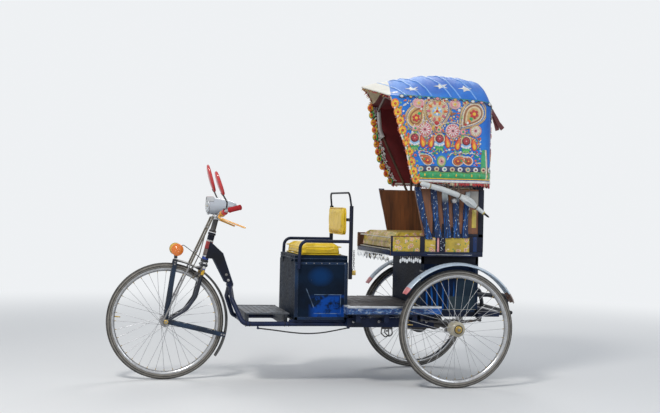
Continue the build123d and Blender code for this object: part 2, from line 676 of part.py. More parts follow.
for side, name in ((1, "mudguard_rear_left"), (-1, "mudguard_rear_right")):
    centre = (REAR_X, side * WHEEL_Y, WHEEL_R)
    with BuildPart() as mudguard:
        with BuildSketch(ray_plane(centre, GUARD_FRONT + GUARD_SPAN)):
            add(guard_section(GUARD_R, GUARD_W, GUARD_CROWN))
        revolve(axis=Axis(centre, (0, 1, 0)), revolution_arc=GUARD_SPAN)
        # two brackets to the body
        for angle in (62.0, 112.0):
            a = radians(angle)
            px = REAR_X + (GUARD_R - 14) * cos(a)
            pz = WHEEL_R + (GUARD_R - 14) * sin(a)
            low, high = sorted((side * (SEAT_BOX_HALF + SEAT), side * (WHEEL_Y - GUARD_W / 2 + 8)))
            block((px - 14, px + 14), (low, high), (pz - 4, pz + 4))
    mudguard.part.label = name
    export_step(mudguard.part, f"parts/{name}.step")

# Rear axle, springs and motor
AXLE_END = 530.0
with BuildPart() as rear_axle:
    cross_disc(REAR_X, (-WHEEL_Y + REAR_HUB_HALF + 2, WHEEL_Y - REAR_HUB_HALF - 2), WHEEL_R, AXLE_TUBE_R)
    cross_disc(REAR_X, (-AXLE_END, AXLE_END), WHEEL_R, REAR_AXLE_R)
    for low, high in ((WHEEL_Y + REAR_HUB_HALF + 2, AXLE_END - 2), (2 - AXLE_END, -WHEEL_Y - REAR_HUB_HALF - 2)):
        with BuildSketch(Plane(origin=(REAR_X, low, WHEEL_R), x_dir=(1, 0, 0), z_dir=(0, 1, 0))):
            RegularPolygon(16, 6)
        extrude(amount=high - low)
rear_axle.part.label = "rear_axle"
export_step(rear_axle.part, "parts/rear_axle.step")

LEAVES = (1.0, 0.72, 0.45)  # length of each leaf as a share of the longest, from the lowest up
with BuildPart() as leaf_springs:
    for y in (SPRING_Y, -SPRING_Y):
        for step, share in enumerate(LEAVES):
            half = SPRING_HALF * share
            base = LEAF_BOTTOM + LEAF_T * step
            under = SPRING_ARC - LEAF_T * step
            rise = under - sqrt(under**2 - half**2)
            rise_top = under - LEAF_T - sqrt((under - LEAF_T) ** 2 - half**2)
            with BuildSketch(Plane(origin=(0, y - SPRING_W / 2, 0), x_dir=(1, 0, 0), z_dir=(0, -1, 0))):
                with BuildLine():
                    ThreePointArc((REAR_X - half, base + rise), (REAR_X, base), (REAR_X + half, base + rise))
                    Line((REAR_X + half, base + rise), (REAR_X + half, base + LEAF_T + rise_top))
                    ThreePointArc(
                        (REAR_X + half, base + LEAF_T + rise_top), (REAR_X, base + LEAF_T),
                        (REAR_X - half, base + LEAF_T + rise_top),
                    )
                    Line((REAR_X - half, base + LEAF_T + rise_top), (REAR_X - half, base + rise))
                make_face()
            extrude(amount=-SPRING_W)
        for x in (REAR_X - SPRING_HALF + 4, REAR_X + SPRING_HALF - 4):
            cross_disc(x, (y - SPRING_W / 2, y + SPRING_W / 2), EYE_Z, EYE_R)
        # plates over the leaves and under the axle tube, drawn together by four bolts
        top = LEAF_BOTTOM + LEAF_T * len(LEAVES)
        bottom = WHEEL_R - AXLE_TUBE_R - SEAT
        plate_x = (REAR_X - CLAMP_HALF, REAR_X + CLAMP_HALF)
        plate_y = (y - SPRING_W / 2, y + SPRING_W / 2)
        block(plate_x, plate_y, (top - 1, top + CLAMP_T))
        block(plate_x, plate_y, (bottom - CLAMP_T, bottom))
        for x in (-1, 1):
            for across in (-1, 1):
                bolt_x = REAR_X + x * (CLAMP_HALF - 5)
                bolt_y = y + across * (SPRING_W / 2 - 6)
                rod((bolt_x, bolt_y, bottom - CLAMP_T - 6), (bolt_x, bolt_y, top + CLAMP_T + 6), CLAMP_BOLT_R)
leaf_springs.part.label = "leaf_springs"
export_step(leaf_springs.part, "parts/leaf_springs.step")

# Motor and gear case: one plain block round the axle
with BuildPart() as drive_unit:
    cross_disc(REAR_X, (-70, 30), WHEEL_R, 52)
    cross_disc(REAR_X + 110, (-150, 60), WHEEL_R - 6, 60)
    block((REAR_X, REAR_X + 110), (-60, 20), (WHEEL_R - 46, WHEEL_R + 46))
    cross_disc(REAR_X, (-80, 40), WHEEL_R, AXLE_TUBE_R + 0.1, mode=Mode.SUBTRACT)
drive_unit.part.label = "drive_unit"
export_step(drive_unit.part, "parts/drive_unit.step")

# Rear bumper: two arms and two cross tubes
BUMPER_R = 13.0
BUMPER_BARS = [
    # x and z of the two cross tubes
    (fore(-REAR_REACH + BUMPER_R + 4), 440), (fore(-REAR_REACH + BUMPER_R + 22), 520),
]
with BuildPart() as rear_bumper:
    for side in (1, -1):
        bent_tube(
            [
                (REAR_BEAM_BACK - SEAT, side * 240, REAR_BEAM_BOTTOM + 15),
                (fore(-REAR_REACH + BUMPER_R), side * 240, REAR_BEAM_BOTTOM + 15),
                (fore(-REAR_REACH + BUMPER_R + 26), side * 240, 546),
                (SEAT_BOX_X[0] - SEAT, side * 240, 546),
            ],
            BUMPER_R,
            26,
        )
    for x, z in BUMPER_BARS:
        rod((x, -300, z), (x, 300, z), BUMPER_R - 1)
rear_bumper.part.label = "rear_bumper"
export_step(rear_bumper.part, "parts/rear_bumper.step")

# Fork: steerer, crown and two blades that curve forward to the axle
BLADE_Y = 50.0
BLADE_R = 11.0
CROWN_Z = (694.0, 716.0)
STEERER_TOP = 1000.0
BLADE_BENDS = [
    # x and z where a blade bends forward
    (fore(1532), 508), (fore(1588), 428),
]
with BuildPart() as fork:
    with BuildSketch(Plane(origin=on_axis(CROWN_Z[0]), z_dir=STEER_UP)):
        RectangleRounded(44, 2 * BLADE_Y + 30, 14)
    extrude(amount=(CROWN_Z[1] - CROWN_Z[0]) / STEER_UP[2])
    with BuildSketch(Plane(origin=on_axis(CROWN_Z[0] + 8), z_dir=STEER_UP)):
        Circle(STEERER_R)
    extrude(amount=(STEERER_TOP - CROWN_Z[0] - 8) / STEER_UP[2])
    for side in (1, -1):
        bent_tube(
            [
                on_axis(CROWN_Z[0] + 6, side * BLADE_Y),
                *[(x, side * BLADE_Y, z) for x, z in BLADE_BENDS],
                (FRONT_X, side * BLADE_Y, WHEEL_R),
            ],
            BLADE_R,
            75,
        )
        cross_disc(FRONT_X, (side * BLADE_Y - BLADE_R, side * BLADE_Y + BLADE_R), WHEEL_R, 18)
    cross_disc(FRONT_X, (-80, 80), WHEEL_R, FRONT_AXLE_R + BOLT_FIT, mode=Mode.SUBTRACT)
fork.part.label = "fork"
export_step(fork.part, "parts/fork.step")

ROD_Y = 66.0
ROD_R = 4.0
ROD_TOP_X = fore(1436)
ROD_TOP_Z = 1000.0
with BuildPart() as front_axle:
    cross_disc(FRONT_X, (-82, 82), WHEEL_R, FRONT_AXLE_R)
    for low, high in ((ROD_Y + ROD_R + SEAT, 80), (-80, -ROD_Y - ROD_R - SEAT)):
        with BuildSketch(Plane(origin=(FRONT_X, low, WHEEL_R), x_dir=(1, 0, 0), z_dir=(0, 1, 0))):
            RegularPolygon(13, 6)
        extrude(amount=high - low)
front_axle.part.label = "front_axle"
export_step(front_axle.part, "parts/front_axle.step")

# Rod stays from the handlebar clamp down to the axle
with BuildPart() as fork_rods:
    for side in (1, -1):
        rod((ROD_TOP_X, side * ROD_Y, ROD_TOP_Z), (FRONT_X + 14, side * ROD_Y, WHEEL_R + 8), ROD_R)
        cross_disc(FRONT_X, (side * ROD_Y - ROD_R, side * ROD_Y + ROD_R), WHEEL_R, 16)
    cross_disc(FRONT_X, (-80, 80), WHEEL_R, FRONT_AXLE_R + BOLT_FIT, mode=Mode.SUBTRACT)
    rod((ROD_TOP_X, -ROD_Y - ROD_R, ROD_TOP_Z - 4), (ROD_TOP_X, ROD_Y + ROD_R, ROD_TOP_Z - 4), 6)
fork_rods.part.label = "fork_rods"
export_step(fork_rods.part, "parts/fork_rods.step")

# Front mudguard with two flat stays each side
FRONT_GUARD_R = 384.0
FRONT_GUARD_W = 62.0
FRONT_GUARD_CROWN = 9.0
STAY_Y = (FRONT_HUB_HALF + 0.6, FRONT_HUB_HALF + 3.6)
with BuildPart() as front_mudguard:
    centre = (FRONT_X, 0, WHEEL_R)
    with BuildSketch(ray_plane(centre, 215)):
        add(guard_section(FRONT_GUARD_R, FRONT_GUARD_W, FRONT_GUARD_CROWN))
    revolve(axis=Axis(centre, (0, 1, 0)), revolution_arc=119)
    for side in (1, -1):
        low = STAY_Y[0] if side > 0 else -STAY_Y[1]
        for angle in (98.0, 193.0):
            a = radians(angle)
            reach = FRONT_GUARD_R - 4
            out = (cos(a), sin(a))
            across = (-sin(a) * 14, cos(a) * 14)
            side_outline(
                [
                    (FRONT_X + across[0], WHEEL_R + across[1]),
                    (FRONT_X + out[0] * reach + across[0], WHEEL_R + out[1] * reach + across[1]),
                    (FRONT_X + out[0] * reach - across[0], WHEEL_R + out[1] * reach - across[1]),
                    (FRONT_X - across[0], WHEEL_R - across[1]),
                ],
                low, STAY_Y[1] - STAY_Y[0],
            )
            # foot that bends in from the stay to the guard
            foot = sorted((side * (FRONT_GUARD_W / 2 - 8), side * STAY_Y[1]))
            px, pz = FRONT_X + out[0] * (reach - 6), WHEEL_R + out[1] * (reach - 6)
            with BuildSketch(Plane(origin=(px, foot[0], pz), x_dir=(out[0], 0, out[1]), z_dir=(0, 1, 0))):
                Rectangle(10, 26)
            extrude(amount=foot[1] - foot[0])
    cross_disc(FRONT_X, (-60, 60), WHEEL_R, FRONT_AXLE_R + BOLT_FIT, mode=Mode.SUBTRACT)
front_mudguard.part.label = "front_mudguard"
export_step(front_mudguard.part, "parts/front_mudguard.step")

# Indicator lamps on a bracket at the mudguard's tip
LAMP_X = fore(1650)
SIDE_LAMP_Z = 797.0
SIDE_LAMP_Y = (62.0, 102.0)
SIDE_LAMP_R = 37.5
BRACKET_R = 7.0
with BuildPart() as indicators:
    rod((LAMP_X, -SIDE_LAMP_Y[0], SIDE_LAMP_Z), (LAMP_X, SIDE_LAMP_Y[0], SIDE_LAMP_Z), BRACKET_R)
    block((LAMP_X - BRACKET_R, LAMP_X + 13), (-12, 12), (WHEEL_R + FRONT_GUARD_R - 2, SIDE_LAMP_Z))
    for side in (1, -1):
        low, high = sorted((side * SIDE_LAMP_Y[0], side * SIDE_LAMP_Y[1]))
        cross_disc(LAMP_X, (low, high), SIDE_LAMP_Z, SIDE_LAMP_R)
indicators.part.label = "indicators"
export_step(indicators.part, "parts/indicators.step")

# Handlebar, grips and levers
BAR_R = 11.0
BAR_Z = 1000.0
BAR_BEND = 50.0
GRIP_L = 84.0
GRIP_R = 16.0
GRIP_END = 3.0


def bar_points(side):
    """Points of one half of the handlebar's line: its end, its bend and its middle run."""
    return (
        Vector(fore(1300), side * 290, 1062), Vector(fore(1372), side * 215, 1040),
        Vector(fore(1408), side * 90, BAR_Z),
    )


with BuildPart() as handlebar:
    with BuildSketch(Plane(origin=on_axis(HEAD_TOP + 3), z_dir=STEER_UP)):
        Circle(20)
    extrude(amount=(BAR_Z + 8 - HEAD_TOP - 3) / STEER_UP[2])
    bent_tube([*bar_points(1), *reversed(bar_points(-1))], BAR_R, BAR_BEND)
    # clamp that carries the rod stays
    block((fore(1408), fore(1428)), (-30, 30), (BAR_Z - 14, BAR_Z + 10))
    with BuildSketch(Plane(origin=on_axis(HEAD_TOP), z_dir=STEER_UP)):
        Circle(STEERER_R + 0.01)
    extrude(amount=(STEERER_TOP - HEAD_TOP + 2) / STEER_UP[2], mode=Mode.SUBTRACT)
handlebar.part.label = "handlebar"
export_step(handlebar.part, "parts/handlebar.step")

with BuildPart() as grips:
    for side in (1, -1):
        end, bend, middle = bar_points(side)
        run = (bend - end).normalized()
        rod(tuple(end - run * GRIP_END), tuple(end + run * GRIP_L), GRIP_R)
        drill(tuple(end), tuple(end + run * (GRIP_L + 2)), BAR_R + 0.1)
grips.part.label = "grips"
export_step(grips.part, "parts/grips.step")

LEVER_R = 5.0
RING_L = 18.0
RING_WALL = 8.0
with BuildPart() as brake_levers:
    for side in (1, -1):
        end, bend, middle = bar_points(side)
        along = (bend - middle).normalized()
        ring = middle + along * 62
        rod(tuple(ring), tuple(ring + along * RING_L), BAR_R + RING_WALL)
        drill(tuple(ring - along), tuple(ring + along * (RING_L + 1)), BAR_R + BOLT_FIT)
        pivot = ring + along * (RING_L / 2) + Vector(BAR_R + RING_WALL, 0, -5)
        bent_tube(
            [tuple(pivot), tuple(pivot + Vector(6, side * 22, -18)), (fore(1262), side * 262, 940)],
            LEVER_R,
            16,
        )
brake_levers.part.label = "brake_levers"
export_step(brake_levers.part, "parts/brake_levers.step")

# Headlamp: a bullet shell above the bar with its glass
LAMP_Z = 1068.0
LAMP_FRONT = fore(1466)
with BuildPart() as headlamp:
    with BuildSketch(Plane(origin=(0, 0, LAMP_Z), x_dir=(1, 0, 0), z_dir=(0, -1, 0))):
        with BuildLine():
            Polyline(
                (LAMP_FRONT, 0), (LAMP_FRONT, 54), (fore(1430), 53), (fore(1370), 44), (fore(1310), 29),
                (fore(1283), 16), (fore(1283), 0), close=True,
            )
        make_face()
    revolve(axis=Axis((0, 0, LAMP_Z), (1, 0, 0)))
    block((fore(1396), fore(1416)), (-14, 14), (BAR_Z + BAR_R + SEAT, LAMP_Z - 20))
headlamp.part.label = "headlamp"
export_step(headlamp.part, "parts/headlamp.step")

GLASS_R = 50.0
GLASS_DOME = 13.0
with BuildPart() as headlamp_glass:
    flat = LAMP_FRONT + SEAT
    with BuildSketch(Plane(origin=(0, 0, LAMP_Z), x_dir=(1, 0, 0), z_dir=(0, -1, 0))):
        with BuildLine():
            Polyline(
                (flat, 0), (flat, GLASS_R), (flat + GLASS_DOME * 0.6, GLASS_R * 0.68),
                (flat + GLASS_DOME, GLASS_R * 0.3), (flat + GLASS_DOME, 0), close=True,
            )
        make_face()
    revolve(axis=Axis((0, 0, LAMP_Z), (1, 0, 0)))
headlamp_glass.part.label = "headlamp_glass"
export_step(headlamp_glass.part, "parts/headlamp_glass.step")

MIRROR_Y = 250.0
MIRROR_SEAT = 0.9  # the stem's foot leans, so its low edge then just clears the bar
for side, name, height, middle_z, lean in (
    (1, "mirror_left", 150, 1198, 20.0),
    (-1, "mirror_right", 180, 1238, 16.0),
):
    foot = tuple(bar_points(side)[1] + Vector(0, 0, BAR_R + MIRROR_SEAT))
    middle = (fore(1436), side * MIRROR_Y, middle_z)
    face = Plane(
        origin=middle, x_dir=(0, 1, 0),
        z_dir=(-cos(radians(lean)), 0, sin(radians(lean))),
    )
    with BuildPart() as mirror:
        with BuildSketch(face):
            Ellipse(48, height / 2)
        extrude(amount=24)
        low = (middle[0] - sin(radians(lean)) * height * 0.42, middle[1], middle_z - cos(radians(lean)) * height * 0.42)
        bent_tube([foot, (foot[0] - 2, foot[1] + side * 6, foot[2] + 40), low], 5, 20)
    mirror.part.label = name
    export_step(mirror.part, f"parts/{name}.step")

# Loose cable
with BuildPart() as loose_cable:
    with BuildLine() as cable_path:
        FilletPolyline(*CABLE_ROUTE, radius=cord_radii(CABLE_ROUTE, 2 * CABLE_R))
    with BuildSketch(Plane(origin=cable_path.line @ 0, z_dir=cable_path.line % 0)):
        Circle(CABLE_R)
    sweep(path=cable_path.line)
loose_cable.part.label = "loose_cable"
export_step(loose_cable.part, "parts/loose_cable.step")
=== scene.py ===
"""Looks of a battery-driven passenger cycle rickshaw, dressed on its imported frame.

Metres. +X forward, +Y to the left, +Z up, the ground at Z 0.
"""
import logging
import math
import random
from dataclasses import dataclass, field
from enum import Enum
from typing import Callable, Iterable, Optional, Sequence

import bmesh
import bpy
from mathutils import Matrix, Vector


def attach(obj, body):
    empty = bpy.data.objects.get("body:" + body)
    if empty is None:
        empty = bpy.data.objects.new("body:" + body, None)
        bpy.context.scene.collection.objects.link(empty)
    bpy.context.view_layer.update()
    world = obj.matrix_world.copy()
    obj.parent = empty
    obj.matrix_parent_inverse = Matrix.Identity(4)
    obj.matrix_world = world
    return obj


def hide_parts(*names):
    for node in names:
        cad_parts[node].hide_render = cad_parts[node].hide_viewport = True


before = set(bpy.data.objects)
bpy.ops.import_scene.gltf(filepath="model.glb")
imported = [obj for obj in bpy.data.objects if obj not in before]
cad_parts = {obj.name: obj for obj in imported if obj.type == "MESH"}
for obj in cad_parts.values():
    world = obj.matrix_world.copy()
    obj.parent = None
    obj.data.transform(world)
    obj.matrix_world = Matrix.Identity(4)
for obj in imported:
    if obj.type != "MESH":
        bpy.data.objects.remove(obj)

LOG = logging.getLogger("rickshaw")
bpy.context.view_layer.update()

Point = Sequence[float]
Colour = tuple[float, float, float]
Socket = bpy.types.NodeSocket
Input = float | Socket

# Places, from the same sizes as the frame
WHEEL_R = 0.3575
WHEELBASE = 1.709
REAR_REACH = 0.43
REAR_X = -(WHEELBASE + WHEEL_R - REAR_REACH) / 2
FRONT_X = REAR_X + WHEELBASE
WHEEL_Y = 0.47
STEER_RAKE = math.radians(75.8)


def fore(distance: float) -> float:
    """X of a place given in metres forward of the rear axle."""
    return REAR_X + distance


def angles(count: int) -> list[float]:
    """Equal steps round a circle, in radians."""
    return [2 * math.pi * k / count for k in range(count)]


# Node trees


class Tree:
    """Adds nodes and links to one node tree with few words."""

    def __init__(self, tree: bpy.types.NodeTree) -> None:
        """Keep the tree that the nodes go into."""
        self.tree = tree

    def put(self, kind: str, values: Optional[dict] = None, **settings) -> bpy.types.Node:
        """Add a node.

        Args:
            kind: Blender's name of the node, without its ShaderNode prefix.
            values: a value or a socket for each named or numbered input.
            settings: properties of the node itself.

        Returns:
            The new node.
        """
        node = self.tree.nodes.new("ShaderNode" + kind)
        for name, setting in settings.items():
            setattr(node, name, setting)
        for name, value in (values or {}).items():
            if isinstance(value, Socket):
                self.tree.links.new(value, node.inputs[name])
            elif isinstance(value, tuple) and len(value) == 3 and node.inputs[name].type == "RGBA":
                node.inputs[name].default_value = (*value, 1.0)
            else:
                node.inputs[name].default_value = value
        return node

    def math(self, operation: str, first: Input, second: Input = 0.0, clamp: bool = False) -> Socket:
        """Sum, product or other operation on two numbers."""
        return self.put("Math", {0: first, 1: second}, operation=operation, use_clamp=clamp).outputs[0]

    def mix(self, share: Input, first: Colour | Socket, second: Colour | Socket, blend: str = "MIX") -> Socket:
        """Colour between two colours.

        Args:
            share: how much of the second, from 0 to 1.
            first: the colour at 0.
            second: the colour at 1.
            blend: Blender's name of the way to blend.

        Returns:
            The colour socket.
        """
        node = self.put("Mix", {0: share, 6: first, 7: second}, data_type="RGBA", blend_type=blend)
        return node.outputs[2]

    def noise(self, place: Socket, scale: float, detail: float = 3.0, rough: float = 0.55) -> Socket:
        """Cloudy value, mostly from 0.3 to 0.7, that changes over about 1/scale metres."""
        values = {"Vector": place, "Scale": scale, "Detail": detail, "Roughness": rough}
        return self.put("TexNoise", values).outputs["Fac"]

    def span(self, value: Input, low: Input, high: Input, first: Input = 0.0, last: Input = 1.0) -> Socket:
        """Value stretched so that low gives first and high gives last, held at both ends."""
        values = {"Value": value, "From Min": low, "From Max": high, "To Min": first, "To Max": last}
        return self.put("MapRange", values).outputs[0]

    def place(self) -> Socket:
        """Place in the object's own frame, in metres."""
        return self.put("TexCoord").outputs["Object"]

    def axes(self, place: Socket) -> list[Socket]:
        """The X, Y and Z of a place."""
        return list(self.put("SeparateXYZ", {0: place}).outputs)

    def bump(self, height: Socket, strength: float, distance: float, normal: Optional[Socket] = None) -> Socket:
        """Normal bent by a height in metres times distance.

        Args:
            height: height over the surface.
            strength: how much of it shows, from 0 to 1.
            distance: metres that a height of 1 stands for.
            normal: normal that is bent.

        Returns:
            The bent normal.
        """
        values = {"Height": height, "Strength": strength, "Distance": distance}
        if normal is not None:
            values["Normal"] = normal
        return self.put("Bump", values).outputs[0]


def new_group(
    name: str, inputs: Sequence[tuple[str, str, float]], outputs: Sequence[tuple[str, str]],
) -> tuple[bpy.types.NodeTree, Tree, dict[str, Socket], bpy.types.Node]:
    """Start a shader node group with named sockets.

    Args:
        name: the group's name.
        inputs: name, kind and default of each input.
        outputs: name and kind of each output.

    Returns:
        The group, its tree helper, its input sockets by name and its output node.
    """
    group = bpy.data.node_groups.new(name, "ShaderNodeTree")
    for title, kind, default in inputs:
        socket = group.interface.new_socket(title, in_out="INPUT", socket_type="NodeSocket" + kind)
        if kind == "Float":
            socket.default_value = default
    for title, kind in outputs:
        group.interface.new_socket(title, in_out="OUTPUT", socket_type="NodeSocket" + kind)
    entry = group.nodes.new("NodeGroupInput")
    exit_node = group.nodes.new("NodeGroupOutput")
    sockets = {title: entry.outputs[title] for title, _, _ in inputs}
    return group, Tree(group), sockets, exit_node


class Effects:
    """The surface effects that several finishes share, each a node group that is built once."""

    def __init__(self) -> None:
        """Build every group."""
        self.wear = self._edge_wear()
        self.dust = self._road_dust()
        self.weave = self._plain_weave()
        self.grain = self._leather_grain()
        self.chips = self._paint_chips()
        self.streaks = self._brush_streaks()

    def _edge_wear(self) -> bpy.types.NodeTree:
        """Mask that is 1 on sharp edges, broken up by noise.

        Returns:
            The node group.
        """
        group, tree, given, out = new_group(
            "edge_wear",
            [("Vector", "Vector", 0), ("Width", "Float", 0.004), ("Amount", "Float", 0.5), ("Scale", "Float", 60)],
            [("Mask", "Float")],
        )
        soft = tree.put("Bevel", {"Radius": given["Width"]}, samples=4).outputs[0]
        sharp = tree.put("NewGeometry").outputs["Normal"]
        alike = tree.put("VectorMath", {0: soft, 1: sharp}, operation="DOT_PRODUCT").outputs["Value"]
        edge = tree.span(alike, 0.995, 0.86)
        broken = tree.noise(given["Vector"], 1.0, 4.0, 0.7)
        tree.tree.links.new(
            tree.put("VectorMath", {0: given["Vector"], "Scale": given["Scale"]}, operation="SCALE").outputs[0],
            broken.node.inputs["Vector"],
        )
        level = tree.math("SUBTRACT", 1.0, given["Amount"])
        picked = tree.math("MULTIPLY", edge, tree.span(broken, tree.math("MULTIPLY", level, 0.8), 0.75))
        group.links.new(tree.math("MULTIPLY", picked, given["Amount"], clamp=True), out.inputs["Mask"])
        return group

    def _road_dust(self) -> bpy.types.NodeTree:
        """Mask of dust that settles on faces that look up and lies thicker near the ground.

        Returns:
            The node group.
        """
        group, tree, given, out = new_group(
            "road_dust",
            [("Vector", "Vector", 0), ("Amount", "Float", 0.5), ("Low", "Float", 0.9)],
            [("Mask", "Float")],
        )
        up = tree.axes(tree.put("NewGeometry").outputs["Normal"])[2]
        height = tree.axes(given["Vector"])[2]
        lying = tree.span(up, 0.1, 0.95, 0.15, 1.0)
        low = tree.put(
            "MapRange",
            {"Value": height, "From Min": given["Low"], "From Max": 0.0, "To Min": 0.25, "To Max": 1.0},
        ).outputs[0]
        cloudy = tree.span(tree.noise(given["Vector"], 9.0, 6.0, 0.65), 0.35, 0.72)
        fine = tree.span(tree.noise(given["Vector"], 140.0, 2.0, 0.6), 0.3, 0.75, 0.55, 1.0)
        amount = tree.math("MULTIPLY", tree.math("MULTIPLY", lying, low), tree.math("MULTIPLY", cloudy, fine))
        group.links.new(tree.math("MULTIPLY", amount, given["Amount"], clamp=True), out.inputs["Mask"])
        return group

    def _plain_weave(self) -> bpy.types.NodeTree:
        """Height and tint of crossed threads.

        Returns:
            The node group.
        """
        group, tree, given, out = new_group(
            "plain_weave",
            [("Vector", "Vector", 0), ("Threads", "Float", 900.0)],
            [("Height", "Float"), ("Tint", "Float")],
        )
        x, y, z = tree.axes(given["Vector"])
        along = tree.math("SINE", tree.math("MULTIPLY", tree.math("ADD", x, y), given["Threads"]))
        across = tree.math("SINE", tree.math("MULTIPLY", tree.math("SUBTRACT", z, tree.math("MULTIPLY", y, 0.3)),
                                             given["Threads"]))
        height = tree.math("MAXIMUM", along, across)
        group.links.new(height, out.inputs["Height"])
        group.links.new(tree.span(height, -1.0, 1.0, 0.8, 1.0), out.inputs["Tint"])
        return group

    def _leather_grain(self) -> bpy.types.NodeTree:
        """Height of the small cells pressed into coated cloth.

        Returns:
            The node group.
        """
        group, tree, given, out = new_group(
            "leather_grain", [("Vector", "Vector", 0), ("Cells", "Float", 420.0)], [("Height", "Float")],
        )
        cells = tree.put(
            "TexVoronoi", {"Vector": given["Vector"], "Scale": given["Cells"]}, feature="DISTANCE_TO_EDGE",
        ).outputs["Distance"]
        group.links.new(tree.span(cells, 0.0, 0.25), out.inputs["Height"])
        return group

    def _paint_chips(self) -> bpy.types.NodeTree:
        """Mask of small chips and scratches scattered over a painted face.

        Returns:
            The node group.
        """
        group, tree, given, out = new_group(
            "paint_chips",
            [("Vector", "Vector", 0), ("Scale", "Float", 45.0), ("Amount", "Float", 0.3)],
            [("Mask", "Float")],
        )
        scaled = tree.put("VectorMath", {0: given["Vector"], "Scale": given["Scale"]}, operation="SCALE").outputs[0]
        spots = tree.noise(scaled, 1.0, 5.0, 0.62)
        patches = tree.noise(scaled, 0.16, 2.0, 0.5)
        level = tree.put(
            "MapRange",
            {"Value": given["Amount"], "From Min": 0.0, "From Max": 1.0, "To Min": 0.80, "To Max": 0.50},
        ).outputs[0]
        raised = tree.math("ADD", spots, tree.math("MULTIPLY", tree.math("SUBTRACT", patches, 0.5), 0.35))
        mask = tree.put(
            "MapRange",
            {"Value": raised, "From Min": level, "From Max": tree.math("ADD", level, 0.03)},
        ).outputs[0]
        group.links.new(mask, out.inputs["Mask"])
        return group

    def _brush_streaks(self) -> bpy.types.NodeTree:
        """Value of fine streaks along X, as on rolled or rubbed metal.

        Returns:
            The node group.
        """
        group, tree, given, out = new_group(
            "brush_streaks", [("Vector", "Vector", 0), ("Scale", "Float", 300.0)], [("Value", "Float")],
        )
        stretched = tree.put(
            "Mapping", {"Vector": given["Vector"], "Scale": (0.05, 1.0, 1.0)}, vector_type="POINT",
        ).outputs[0]
        scaled = tree.put("VectorMath", {0: stretched, "Scale": given["Scale"]}, operation="SCALE").outputs[0]
        group.links.new(tree.noise(scaled, 1.0, 3.0, 0.6), out.inputs["Value"])
        return group


EFFECTS: Optional[Effects] = None


def effect(tree: Tree, group: bpy.types.NodeTree, **values) -> bpy.types.Node:
    """Place a shared effect in a material.

    Args:
        tree: the material's tree helper.
        group: the effect's node group.
        values: a value or a socket for each named input.

    Returns:
        The group node.
    """
    node = tree.tree.nodes.new("ShaderNodeGroup")
    node.node_tree = group
    for name, value in values.items():
        if isinstance(value, Socket):
            tree.tree.links.new(value, node.inputs[name])
        else:
            node.inputs[name].default_value = value
    return node


# Finishes

DUST_COLOUR: Colour = (0.30, 0.26, 0.21)
BARE_COLOUR: Colour = (0.34, 0.34, 0.35)
RUST_COLOUR: Colour = (0.17, 0.065, 0.025)


@dataclass(frozen=True)
class Finish:
    """A surface finish. Its material is made the first time that it is asked for."""

    name: str

    def material(self) -> bpy.types.Material:
        """The Blender material of this finish.

        Returns:
            The material.
        """
        title = self.name + "_finish"
        made = bpy.data.materials.get(title)
        if made is None:
            made = bpy.data.materials.new(title)
            made.use_nodes = True
            made.node_tree.nodes.clear()
            tree = Tree(made.node_tree)
            shader = tree.put("BsdfPrincipled")
            out = tree.put("OutputMaterial")
            made.node_tree.links.new(shader.outputs[0], out.inputs[0])
            self.dress(tree, shader)
        return made

    def dress(self, tree: Tree, shader: bpy.types.Node) -> None:
        """Wire the finish into the shader."""
        raise NotImplementedError

    @staticmethod
    def feed(tree: Tree, shader: bpy.types.Node, **values) -> None:
        """Set or link inputs of the shader, named with underscores for spaces.

        Args:
            tree: nodes of the material.
            shader: the material's Principled shader.
            values: a value or a socket for each input.
        """
        for name, value in values.items():
            socket = shader.inputs[name.replace("_", " ")]
            if isinstance(value, Socket):
                tree.tree.links.new(value, socket)
            elif isinstance(value, tuple) and len(value) == 3 and socket.type == "RGBA":
                socket.default_value = (*value, 1.0)
            else:
                socket.default_value = value


